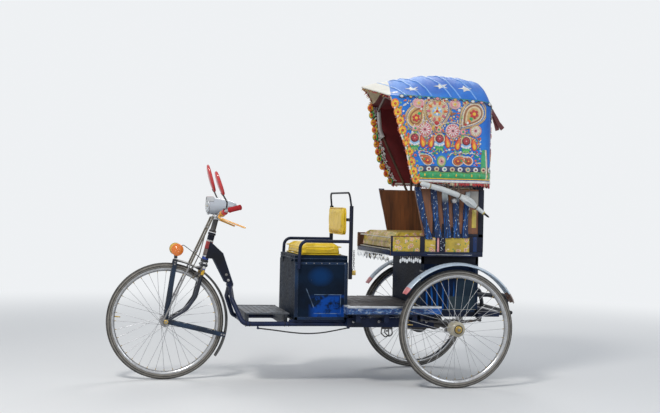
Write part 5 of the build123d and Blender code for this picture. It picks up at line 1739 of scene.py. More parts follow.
@dataclass
class HeadTube:
    """Cups and painted bands of the head tube, on the chassis."""

    bottom: float = 0.722
    top: float = 0.902
    radius: float = 0.020

    def build(self) -> None:
        """Build the sleeves and cups over the tube."""
        shape = Shape("head_tube_bands")
        bands = (
            (0.724, 0.734, 0.0240, Palette.chrome), (0.736, 0.752, 0.0212, Palette.tape_blue),
            (0.752, 0.762, 0.0215, Palette.tape_white), (0.766, 0.800, 0.0214, Palette.guard_brown),
            (0.802, 0.846, 0.0216, Palette.tape_red), (0.846, 0.856, 0.0214, Palette.tape_white),
            (0.858, 0.884, 0.0210, Palette.neck_black), (0.888, 0.901, 0.0240, Palette.dark_steel),
        )
        for low, high, radius, finish in bands:
            length = (high - low) / STEER_UP.z
            shape.lathe(
                [(self.radius - 0.002, 0), (radius - 0.001, 0), (radius, 0.001), (radius, length - 0.001),
                 (radius - 0.001, length), (self.radius - 0.002, length)],
                on_axis(low), STEER_UP, finish, 30,
            )
        shape.finish("chassis", "frame_paint")


@dataclass
class Handlebar:
    """Handlebar with its stem, grips, levers and switch housing."""

    bar_r: float = 0.011
    bend: float = 0.050
    grip_l: float = 0.084

    @staticmethod
    def points(side: int) -> tuple[Vector, Vector, Vector]:
        """The end, the bend and the middle of one half of the bar."""
        return (
            Vector((fore(1.300), side * 0.290, 1.062)), Vector((fore(1.372), side * 0.215, 1.040)),
            Vector((fore(1.408), side * 0.090, 1.000)),
        )

    def bar(self) -> None:
        """Build the bar, its stem and its clamp."""
        shape = Shape("handlebar_tube")
        line = rounded([*self.points(1), *reversed(self.points(-1))], self.bend, 8)
        shape.tube(line, self.bar_r, Palette.chrome, 20)
        stem = on_axis(0.905)
        length = (1.008 - 0.905) / STEER_UP.z
        shape.lathe(
            [(0.0132, 0), (0.0215, 0), (0.0225, 0.002), (0.0225, 0.010), (0.018, 0.014), (0.0165, 0.020),
             (0.0165, length - 0.026), (0.020, length - 0.020), (0.020, length - 0.002), (0.018, length),
             (0.008, length), (0.008, length + 0.003), (0, length + 0.003)],
            stem, STEER_UP, Palette.dark_steel, 32,
        )
        shape.box((fore(1.384), -0.024, 0.983), (fore(1.432), 0.024, 1.013), Palette.chrome, None, 0.006)
        for side in (1, -1):
            shape.nut((fore(1.4325), side * 0.015, 0.998), (1, 0, 0), 0.010, 0.005, Palette.dull_steel)
        shape.finish("steering", "chrome", ["handlebar"])

    def grips(self) -> None:
        """Build the ribbed grips with their end collars."""
        shape = Shape("rubber_grips")
        for side in (1, -1):
            end, bend, _ = self.points(side)
            run = (bend - end).normalized()
            profile = [(0.0, -0.003), (0.013, -0.003), (0.0165, -0.001), (0.0165, 0.004), (0.0150, 0.006)]
            at = 0.008
            while at < self.grip_l - 0.012:
                profile += [(0.0146, at), (0.0158, at + 0.0012), (0.0158, at + 0.0030), (0.0146, at + 0.0042)]
                at += 0.0056
            profile += [(0.0150, self.grip_l - 0.008), (0.0172, self.grip_l - 0.006), (0.0172, self.grip_l - 0.001),
                        (0.0150, self.grip_l), (0.0112, self.grip_l)]
            shape.lathe(profile, end, run, Palette.grip_red, 28)
        shape.finish("steering", "grip_rubber", ["grips"])

    def levers(self) -> None:
        """Build the brake levers: ring clamps and flat curved blades."""
        shape = Shape("lever_blades")
        for side in (1, -1):
            _, bend, middle = self.points(side)
            along = (bend - middle).normalized()
            ring = middle + along * 0.062
            shape.lathe([(0.0113, 0), (0.0175, 0), (0.019, 0.0015), (0.019, 0.0165), (0.0175, 0.018), (0.0113, 0.018)],
                        ring, along, Palette.lever_orange, 28)
            pivot = ring + along * 0.009 + Vector((0.019, 0, -0.005))
            tip = Vector((fore(1.262), side * 0.262, 0.940))
            line = rounded([pivot, pivot + Vector((0.006, side * 0.022, -0.018)), tip], 0.016, 8)
            count = len(line) - 1
            radii = [0.0058 + 0.0012 * math.sin(math.pi * i / count) for i in range(count + 1)]
            shape.tube(line, radii, Palette.lever_orange, 14, flat=0.72)
            shape.disc(pivot - Vector((0, 0.006, 0)), (0, 1, 0), 0.008, 0.012, Palette.dull_steel, 16)
        shape.finish("steering", "lever_metal", ["brake_levers"])

    def cables(self) -> None:
        """Build the switch housing by the near grip, with a small box on it."""
        shape = Shape("switch_and_lines")
        _, bend, middle = self.points(1)
        along = (bend - middle).normalized()
        at = bend - along * 0.028
        shape.lathe([(0.0112, 0), (0.0175, 0.001), (0.0185, 0.004), (0.0185, 0.020), (0.0165, 0.023), (0.0112, 0.023)],
                    at - along * 0.012, along, Palette.mirror_red, 24)
        shape.box(at + Vector((-0.012, -0.010, 0.013)), at + Vector((0.012, 0.010, 0.021)),
                  Palette.black_plastic, None, 0.003)
        shape.finish("steering", "cable_black")

    def build(self) -> None:
        """Build every piece of the handlebar."""
        self.bar()
        self.grips()
        self.levers()
        self.cables()


@dataclass
class HeadLamp:
    """Bullet headlamp: shell, chrome ring, reflector, bulb and glass."""

    z: float = 1.068
    front: float = fore(1.466)

    def build(self) -> None:
        """Build the shell and the glass."""
        shape = Shape("lamp_bullet")
        centre = Vector((self.front, 0, self.z))
        outside = [
            (0.050, 0.0), (0.054, 0.0), (0.0545, -0.004), (0.0545, -0.012), (0.0528, -0.014), (0.0530, -0.036),
            (0.0500, -0.060), (0.0440, -0.096), (0.0375, -0.126), (0.0290, -0.156), (0.0200, -0.175),
            (0.0080, -0.1825), (0.0, -0.183),
        ]
        shape.lathe(outside, centre, (1, 0, 0), Palette.lamp_shell, 48)
        ring = [centre + Vector((-0.006, 0.0522 * math.cos(a), 0.0522 * math.sin(a))) for a in angles(40)]
        shape.tube(ring, 0.0042, Palette.chrome, 10, loop=True)
        bowl = [(0.050, 0.0), (0.046, -0.012), (0.036, -0.026), (0.020, -0.036), (0.010, -0.038), (0.0, -0.038)]
        shape.lathe(bowl, centre, (1, 0, 0), Palette.mirror_glass, 40)
        shape.lathe([(0.0, -0.010), (0.004, -0.012), (0.006, -0.018), (0.005, -0.026), (0.005, -0.037)], centre,
                    (1, 0, 0), Palette.yellow_lens, 18)
        # peak over the ring
        peak = []
        for depth, lift in ((0.004, 0.0), (0.012, 0.0015), (-0.030, 0.0020)):
            peak.append([
                centre + Vector((depth - 0.006, 0.0555 * math.sin(a) * (1 + lift), (0.0555 + lift) * math.cos(a)))
                for a in (math.radians(-62 + 124 * k / 16) for k in range(17))
            ])
        shape.rings(peak, Palette.chrome, around=False, caps=False)
        shape.tube(rounded([(fore(1.406), 0, 1.011), (fore(1.406), 0, 1.030), (fore(1.412), 0, 1.045)], 0.010, 4),
                   0.009, Palette.dull_steel, 16)
        shape.nut((fore(1.406), 0.013, 1.026), (0, 1, 0), 0.012, 0.006, Palette.dull_steel)
        shape.finish("steering", "lamp_shell", ["headlamp"])
        glass = Shape("lamp_front_glass")
        dome = [(0.050 * math.sin(a), 0.0003 + 0.0127 * (math.cos(a) - math.cos(1.2)) / (1 - math.cos(1.2)))
                for a in (1.2 * (1 - k / 8) for k in range(9))]
        scale = 0.0497 / dome[0][0]
        dome = [(r * scale, h) for r, h in dome]
        glass.lathe(dome, centre, (1, 0, 0), Palette.clear_lens, 48)
        glass.finish("steering", "lamp_glass", ["headlamp_glass"])


@dataclass
class Mirror:
    """An oval mirror on its stem."""

    name: str
    side: int
    height: float
    z: float
    lean: float
    half: float = 0.048
    depth: float = 0.024

    def build(self) -> None:
        """Build the domed shell, the glass and the stem."""
        shape = Shape(self.name + "_shell")
        lean = math.radians(self.lean)
        middle = Vector((fore(1.436), self.side * 0.250, self.z))
        to_rider = Vector((-math.cos(lean), 0, math.sin(lean)))
        across = Vector((0, 1, 0))
        upright = Vector((math.sin(lean), 0, math.cos(lean)))

        def oval(scale: float, deep: float) -> list[Vector]:
            """Ring of the mirror's outline at a scale and a depth."""
            return [
                middle + to_rider * deep + across * (self.half * scale * math.cos(a))
                + upright * (self.height / 2 * scale * math.sin(a))
                for a in angles(40)
            ]

        back = [oval(math.sin(math.pi / 2 * k / 7) if k else 0.02, 0.014 - 0.014 * math.cos(math.pi / 2 * k / 7))
                for k in range(8)]
        shape.rings([*back, oval(1.0, 0.020), oval(0.97, self.depth), oval(0.93, self.depth)],
                    Palette.mirror_red, caps=False)
        shape.rings([oval(0.93, self.depth), oval(0.93, 0.0222), oval(0.02, 0.0222)], Palette.mirror_glass, caps=False)
        shape.rings([oval(0.99, 0.0195), oval(1.0, 0.0205), oval(0.99, 0.0215)], Palette.black_plastic, caps=False)
        bend = Handlebar.points(self.side)[1]
        foot = bend + Vector((0, 0, 0.0115))
        low = middle - upright * (self.height * 0.42) + to_rider * 0.012
        line = rounded([foot, foot + Vector((-0.002, self.side * 0.006, 0.040)), low], 0.020, 6)
        shape.tube(line, 0.0048, Palette.black_plastic, 14)
        shape.tube([low - upright * 0.012, low + upright * 0.006], [0.0052, 0.010], Palette.black_plastic, 16)
        shape.disc(foot, (0, 0, 1), 0.009, 0.007, Palette.dull_steel, 18)
        shape.finish("steering", "mirror_shell", [self.name])


@dataclass
class Indicators:
    """Two round lamps on a black bracket, with a wire."""

    x: float = fore(1.650)
    z: float = 0.797
    radius: float = 0.0375

    def build(self) -> None:
        """Build the bracket, the lamps and the wire."""
        shape = Shape("side_lamps")
        shape.tube([(self.x, -0.064, self.z), (self.x, 0.064, self.z)], 0.007, Palette.black_plastic, 14)
        shape.box((fore(1.643), -0.012, WHEEL_R + 0.3825), (fore(1.663), 0.012, self.z + 0.004),
                  Palette.black_plastic, None, 0.002)
        shape.nut((fore(1.653), 0.012, 0.770), (0, 1, 0), 0.009, 0.004, Palette.dull_steel)
        for side, lens in ((1, Palette.amber), (-1, Palette.yellow_lens)):
            seat = Vector((self.x, side * 0.062, self.z))
            out = Vector((0, side, 0))
            r = self.radius
            shape.lathe([(0, 0), (r * 0.55, 0.0), (r * 0.8, 0.004), (r * 0.97, 0.012), (r * 0.97, 0.017),
                         (0, 0.017)], seat, out, Palette.black_plastic if side > 0 else Palette.lamp_yellow, 36)
            rings = [(r, 0.016), (r, 0.022)]
            for k in range(7):
                share = 1 - k / 7
                rings += [(r * (0.96 * share), 0.024 + 0.014 * (1 - share ** 2)),
                          (r * (0.96 * share - 0.03), 0.0232 + 0.014 * (1 - (share - 0.03) ** 2))]
            rings.append((0.0, 0.0398))
            shape.lathe(rings, seat, out, lens, 36)
        wire = rounded([(self.x, 0.060, 0.792), (fore(1.615), 0.056, 0.828), (fore(1.575), 0.040, 0.800),
                        on_axis(0.735, 0.020, 0.022)], 0.012, 5)
        shape.tube(wire, 0.0022, Palette.cable_black, 8)
        shape.finish("steering", "amber_lens", ["indicators"])


# Mudguards


def guard_rings(
    centre: Vector, radius: float, width: float, crown: float, start: float, end: float, steps: int, ridges: bool,
) -> list[list[Vector]]:
    """Closed sections of a rolled guard along its arc.

    Args:
        centre: middle of the wheel.
        radius: outside of the guard at its middle.
        width: across the guard.
        crown: how far its edges lie inside its middle.
        start: angle of one end up from straight ahead, in degrees.
        end: angle of the other end.
        steps: pieces of the arc.
        ridges: whether two lines are rolled into it.

    Returns:
        The rings of points.
    """
    half, thick = width / 2, 0.0022
    section = []
    for k in range(25):
        u = -1 + 2 * k / 24
        drop = crown * abs(u) ** 2.4
        if ridges:
            drop += 0.0028 * math.exp(-((abs(u) - 0.45) / 0.10) ** 2)
        section.append((u * half, radius - drop))
    bead = [(half + 0.0012, radius - crown - 0.0025), (half - 0.0016, radius - crown - 0.0050)]
    under = [(y, r - thick) for y, r in reversed(section[1:-1])]
    outline = section + bead + under + [(-y, r) for y, r in reversed(bead)]
    rings = []
    for k in range(steps + 1):
        a = math.radians(start + (end - start) * k / steps)
        tip = min(k, steps - k)
        narrow = 1.0 if tip > 2 else (0.62, 0.86, 0.97)[tip]
        rings.append([centre + Vector((r * math.cos(a), y * narrow, r * math.sin(a))) for y, r in outline])
    return rings


@dataclass
class RearGuard:
    """A rear mudguard with its two brackets, its painted tip and its rusty tail."""

    side: int
    node: str
    radius: float = 0.400
    width: float = 0.092

    def build(self) -> None:
        """Build the guard and its brackets."""
        shape = Shape(self.node + "_shell")
        centre = Vector((REAR_X, self.side * WHEEL_Y, WHEEL_R))
        rings = guard_rings(centre, self.radius, self.width - 0.003, 0.012, 32.5, 156.0, 76, True)
        shape.spans(rings, ((4, Palette.guard_pink), (66, Palette.guard_silver), (6, Palette.guard_brown)))
        for angle in (62.0, 112.0):
            a = math.radians(angle)
            spot = Vector((REAR_X + 0.386 * math.cos(a), 0, WHEEL_R + 0.386 * math.sin(a)))
            low, high = sorted((self.side * 0.3303, self.side * (WHEEL_Y - 0.032)))
            shape.box(spot + Vector((-0.014, low, -0.004)), spot + Vector((0.014, high, 0.004)),
                      Palette.stay_blue, None, 0.0015)
            shape.nut(spot + Vector((0, self.side * (WHEEL_Y - 0.045), 0.004)), (0, 0, 1), 0.011, 0.005,
                      Palette.dull_steel)
        for angle in (52.0, 140.0):
            a = math.radians(angle)
            rim = Vector((REAR_X + 0.388 * math.cos(a), self.side * (WHEEL_Y + 0.040), WHEEL_R + 0.388 * math.sin(a)))
            shape.nut(rim, (0, self.side, 0), 0.009, 0.003, Palette.dull_steel)
        shape.finish("chassis", "guard_paint", [self.node], close=0.0)


@dataclass
class FrontGuard:
    """The narrow front mudguard and its flat stays."""

    radius: float = 0.384
    width: float = 0.062

    def build(self) -> None:
        """Build the guard and its four stays."""
        shape = Shape("front_guard_shell")
        centre = Vector((FRONT_X, 0, WHEEL_R))
        shape.rings(guard_rings(centre, self.radius, self.width - 0.003, 0.009, 96, 215, 60, False), Palette.guard_dark)
        for side in (1, -1):
            y = side * 0.0361
            for angle in (98.0, 193.0):
                a = math.radians(angle)
                out = Vector((math.cos(a), 0, math.sin(a)))
                across = Vector((-math.sin(a), 0, math.cos(a)))
                rings = []
                for reach, half, off in ((0.0, 0.014, 0.0), (0.020, 0.014, 0.0), (0.345, 0.013, 0.0),
                                         (0.365, 0.013, -0.003), (0.379, 0.013, -0.006)):
                    middle = centre + out * reach + Vector((0, y + side * off, 0))
                    rings.append([
                        middle + across * (u * half) + Vector((0, side * v * 0.0014, 0))
                        for u, v in ((-1, -0.6), (-0.9, -1), (0.9, -1), (1, -0.6), (1, 0.6),
                                     (0.9, 1), (-0.9, 1), (-1, 0.6))
                    ])
                shape.rings(rings, Palette.stay_blue)
                for reach in (0.352, 0.368):
                    shape.nut(centre + out * reach + Vector((0, side * 0.0362, 0)), (0, side, 0), 0.008, 0.003,
                              Palette.dull_steel)
            ring = [(0.0064, -0.0014), (0.014, -0.0014), (0.014, 0.0014), (0.0064, 0.0014)]
            shape.lathe(ring, (FRONT_X, y, WHEEL_R), (0, 1, 0), Palette.stay_blue, 28, closed=True)
        shape.finish("steering", "dark_paint", ["front_mudguard"])


@dataclass
class Bumper:
    """The tubular rear bumper."""

    radius: float = 0.013

    def build(self) -> None:
        """Build both arms and both cross tubes."""
        shape = Shape("bumper_tubes")
        back = fore(-REAR_REACH + self.radius)
        for side in (1, -1):
            y = side * 0.240
            line = rounded([(fore(-0.330), y, 0.431), (back, y, 0.431), (back + 0.026, y, 0.546),
                            (fore(-0.180), y, 0.546)], 0.026, 8)
            shape.tube(line, self.radius, Palette.bumper_black, 20)
        for x, z in ((back + 0.004, 0.440), (back + 0.022, 0.520)):
            line = [(x, -0.300, z), (x, -0.297, z), (x, 0.297, z), (x, 0.300, z)]
            shape.tube(line, [0.009, 0.012, 0.012, 0.009], Palette.bumper_black, 18)
        shape.finish("chassis", "dark_paint", ["rear_bumper"])


# Driver's place


@dataclass
class DriverRails:
    """Hoops beside the driver's seat, back posts and the thin top hoop."""

    hoop_y: float = 0.2903
    post_x: float = fore(0.620)
    post_top: float = 1.085

    def build(self) -> None:
        """Build all tubes."""
        shape = Shape("driver_rail_tubes")
        for side in (1, -1):
            y = side * self.hoop_y
            line = rounded([(fore(0.938), y, 0.700), (fore(0.930), y, 0.868), (self.post_x, y, 0.868)], 0.045, 10)
            shape.tube(line, 0.010, Palette.frame_blue, 18)
            post = [(self.post_x, y, 0.640), (self.post_x, y, 0.642), (self.post_x, y, self.post_top - 0.002),
                    (self.post_x, y, self.post_top)]
            shape.tube(post, [0.010, 0.012, 0.012, 0.010], Palette.neck_black, 18)
        rest_z = 1.000
        shape.tube([(self.post_x, -self.hoop_y, rest_z), (self.post_x, self.hoop_y, rest_z)], 0.010,
                   Palette.frame_blue, 16)
        top = self.post_top - 0.012
        x, y = self.post_x, self.hoop_y
        line = rounded([(x, -y, top), (x + 0.012, -y + 0.012, 1.165), (x + 0.012, y - 0.012, 1.165), (x, y, top)],
                       0.040, 10)
        shape.tube(line, 0.006, Palette.neck_black, 14)
        shape.finish("chassis", "frame_paint", ["driver_rails"])


@dataclass
class DriverBoxTrim:
    """Corner angles, lid rim, hasp, rivets and the chain on the driver's box."""

    back: float = fore(0.632)
    front: float = fore(0.958)
    half: float = 0.280
    bottom: float = 0.392
    top: float = 0.741

    def corners(self) -> None:
        """Build the angles, the bead at the top and the row of rivets."""
        shape = Shape("box_corner_angles")
        thick = 0.0016
        for side in (1, -1):
            y = side * self.half
            for x, turn in ((self.back, 1), (self.front, -1)):
                low, high = sorted((x - turn * thick * 0.4, x + turn * 0.020))
                shape.box((low, y - thick, self.bottom), (high, y + thick * 0.9, self.top),
                          Palette.box_edge, None, 0.0006)
            shape.box((self.back, y - thick, self.bottom), (self.front, y + thick * 0.9, self.bottom + 0.018),
                      Palette.box_edge, None, 0.0006)
            shape.box((self.back, y - thick, self.top - 0.014), (self.front, y + thick * 1.2, self.top),
                      Palette.box_edge, None, 0.0006)
            for k in range(7):
                x = self.back + 0.020 + (self.front - self.back - 0.040) * k / 6
                shape.disc((x, y + side * 0.0014, self.top - 0.007), (0, side, 0), 0.0032,
                           0.0016, Palette.dull_steel, 10)
        shape.finish("chassis", "box_paint")

    def lid(self) -> None:
        """Build the pale bead and the hasp that ride on the lid."""
        shape = Shape("lid_bead")
        line = rounded([(self.front - 0.001, 0, 0.7605), (self.front - 0.001, 0.2625, 0.7605),
                        (self.back + 0.001, 0.2625, 0.7605), (self.back + 0.001, -0.2625, 0.7605),
                        (self.front - 0.001, -0.2625, 0.7605), (self.front - 0.001, -0.001, 0.7605)], 0.004, 3)
        shape.tube(line, 0.0035, Palette.box_edge, 8)
        shape.box((self.back - 0.0035, 0.020, 0.744), (self.back, 0.050, 0.776), Palette.dull_steel, None, 0.0008)
        shape.finish("seat_lid", "box_paint")

    def chain(self) -> None:
        """Build the short chain and its padlock on the near rear corner."""
        shape = Shape("chain_padlock")
        x, y = self.back - 0.036, self.half - 0.004
        for k in range(9):
            z = 0.808 - 0.0118 * k
            turn = Matrix.Rotation(math.pi / 2 * (k % 2), 3, "Z")
            link = [Vector((x, y, z)) + turn @ Vector((0.0045 * math.cos(a), 0, 0.0085 * math.sin(a)))
                    for a in angles(14)]
            shape.tube(link, 0.0016, Palette.dull_steel, 7, loop=True)
        shape.box((x - 0.013, y - 0.006, 0.664), (x + 0.012, y + 0.005, 0.693), Palette.brass, None, 0.002)
        shackle = [(x + 0.007 * math.cos(a), y, 0.693 + 0.014 * math.sin(a))
                   for a in (math.pi * j / 12 for j in range(13))]
        shape.tube(shackle, 0.002, Palette.chrome, 8)
        shape.finish("chassis", "bare_steel")

    def build(self) -> None:
        """Build all trim of the box."""
        self.corners()
        self.lid()
        self.chain()


# Cushions


@dataclass
class Cushion:
    """A stuffed seat or back, puffed up by simulation, with piping along its seams."""

    name: str
    body: str
    slot: str
    node: str
    low: tuple[float, float, float]
    high: tuple[float, float, float]
    skin: Finish
    piping: Finish
    corner: float = 0.030
    thick_axis: int = 2
    travel: float = 0.014
    tufts: tuple[tuple[float, float], ...] = ()
    inset: float = 0.010
    fill: float = 0.7
    step: float = 0.006  # between the points of its even mesh
    quick_step: float = 0.010
    pressure: float = 4.0  # of the stuffing
    mass: float = 0.3
    frames: int = 20  # of the simulation
    held_foot: float = 0.004  # height of the rim that stays put
    held_tuft: float = 0.009  # radius that a tuft holds down
    crown: float = 0.006  # how far the thick side may stand over the box

    def block(self) -> bpy.types.Object:
        """A slightly smaller rounded block, remeshed evenly, with its own material.

        Returns:
            The pad's object.
        """
        grown = bmesh.new()
        bmesh.ops.create_cube(grown, size=2.0)
        low, high = Vector(self.low), Vector(self.high)
        half = (high - low) / 2 - Vector([self.inset] * 3)
        half[self.thick_axis] = (high - low)[self.thick_axis] / 2 - self.inset * 0.75
        middle = (low + high) / 2
        for vert in grown.verts:
            vert.co = Vector([middle[i] + vert.co[i] * half[i] for i in range(3)])
        upright = [e for e in grown.edges
                   if abs((e.verts[0].co - e.verts[1].co)[self.thick_axis]) > 1e-4]
        bmesh.ops.bevel(grown, geom=upright, offset=self.corner, segments=4, affect="EDGES", profile=0.5)
        flat = [e for e in grown.edges if abs((e.verts[0].co - e.verts[1].co)[self.thick_axis]) < 1e-4]
        bmesh.ops.bevel(grown, geom=flat, offset=min(half[self.thick_axis] * 0.45, 0.014), segments=3,
                        affect="EDGES", profile=0.5)
        mesh = bpy.data.meshes.new(self.name)
        grown.to_mesh(mesh)
        grown.free()
        piece = bpy.data.objects.new(self.name, mesh)
        bpy.context.scene.collection.objects.link(piece)
        return piece

    def apply(self, piece: bpy.types.Object) -> None:
        """Put the evaluated shape in the place of the mesh and drop its modifiers.

        Args:
            piece: the pad's object.
        """
        evaluated = piece.evaluated_get(bpy.context.evaluated_depsgraph_get())
        mesh = bpy.data.meshes.new_from_object(evaluated)
        old = piece.data
        piece.modifiers.clear()
        piece.data = mesh
        bpy.data.meshes.remove(old)

    def puff(self, piece: bpy.types.Object) -> None:
        """Blow the pad up as cloth, and cap how far each point moves.

        Args:
            piece: the pad's object.
        """
        before = [v.co.copy() for v in piece.data.vertices]
        cloth = piece.modifiers.new("puff", "CLOTH")
        cloth.settings.quality = 5
        cloth.settings.mass = self.mass
        cloth.settings.use_pressure = True
        cloth.settings.uniform_pressure_force = self.pressure
        cloth.settings.effector_weights.gravity = 0.0
        pins = piece.vertex_groups.new(name="held")
        down = Vector(self.low)[self.thick_axis] + self.inset
        held = [i for i, co in enumerate(before) if co[self.thick_axis] < down + self.held_foot or self.near_tuft(co)]
        pins.add(held, 1.0, "REPLACE")
        cloth.settings.vertex_group_mass = "held"
        scene = bpy.context.scene
        for frame_number in range(1, self.frames + 1):
            scene.frame_set(frame_number)
        self.apply(piece)
        scene.frame_set(1)
        low, high = Vector(self.low), Vector(self.high)
        for vert, start in zip(piece.data.vertices, before):
            move = vert.co - start
            if move.length > self.travel:
                vert.co = start + move.normalized() * self.travel
            for i in range(3):
                vert.co[i] = min(max(vert.co[i], low[i]), high[i] + (self.crown if i == self.thick_axis else 0.0))

    def near_tuft(self, co: Vector) -> bool:
        """Whether a point is held down by a tuft on the top face.

        Args:
            co: the point.

        Returns:
            True where the point is held.
        """
        across = [i for i in range(3) if i != self.thick_axis]
        top = Vector(self.high)[self.thick_axis] - 0.03
        if co[self.thick_axis] < top:
            return False
        return any(math.hypot(co[across[0]] - a, co[across[1]] - b) < self.held_tuft for a, b in self.tufts)

    def outline(self, level: float, out: float) -> list[Vector]:
        """Line of a seam round the pad at a level along its thickness.

        Args:
            level: place along the pad's thickness.
            out: distance inside the pad's box.

        Returns:
            Points of the closed line.
        """
        across = [i for i in range(3) if i != self.thick_axis]
        low, high = Vector(self.low), Vector(self.high)
        line = []
        for sx, sy, start in ((1, 1, 0), (-1, 1, 90), (-1, -1, 180), (1, -1, 270)):
            reach = []
            for axis, sign in zip(across, (sx, sy)):
                edge = high[axis] - out if sign > 0 else low[axis] + out
                reach.append(edge - sign * self.corner)
            for k in range(7):
                a = math.radians(start + 15 * k)
                point = Vector((0, 0, 0))
                point[across[0]] = reach[0] + self.corner * math.cos(a)
                point[across[1]] = reach[1] + self.corner * math.sin(a)
                point[self.thick_axis] = level
                line.append(point)
        return line

    def seams(self) -> None:
        """Build the piping along the lower and upper edge of the pad's sides."""
        shape = Shape(self.name + "_piping")
        low, high = Vector(self.low)[self.thick_axis], Vector(self.high)[self.thick_axis]
        for level, out in ((low + 0.006, 0.0045), (high - 0.24 * (high - low), 0.0035)):
            shape.tube(self.outline(level, out), 0.0034, self.piping, 8, loop=True)
        shape.finish(self.body, self.slot)

    def build(self) -> None:
        """Build the pad and its piping."""
        piece = self.block()
        remesh = piece.modifiers.new("even", "REMESH")
        remesh.mode = "VOXEL"
        remesh.voxel_size = self.step
        self.apply(piece)
        self.puff(piece)
        finer = piece.modifiers.new("finer", "SUBSURF")
        finer.levels = finer.render_levels = 1
        self.apply(piece)
        piece.data.polygons.foreach_set("use_smooth", [True] * len(piece.data.polygons))
        piece.data.materials.clear()
        piece.data.materials.append(self.skin.material())
        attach(piece, self.body)
        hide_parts(self.node)
        LOG.info("%s: %d faces on %s", piece.name, len(piece.data.polygons), self.body)
        self.seams()


# Hood


def between(x: float, table: Sequence[tuple[float, float]]) -> float:
    """Value at x from a table of (x, value) in falling or rising order, eased between entries.

    Args:
        x: where the table is read.
        table: pairs of place and value.

    Returns:
        The value there.
    """
    rows = sorted(table)
    if x <= rows[0][0]:
        return rows[0][1]
    for (x0, v0), (x1, v1) in zip(rows, rows[1:]):
        if x <= x1:
            share = (x - x0) / (x1 - x0)
            return v0 + (v1 - v0) * share
    return rows[-1][1]


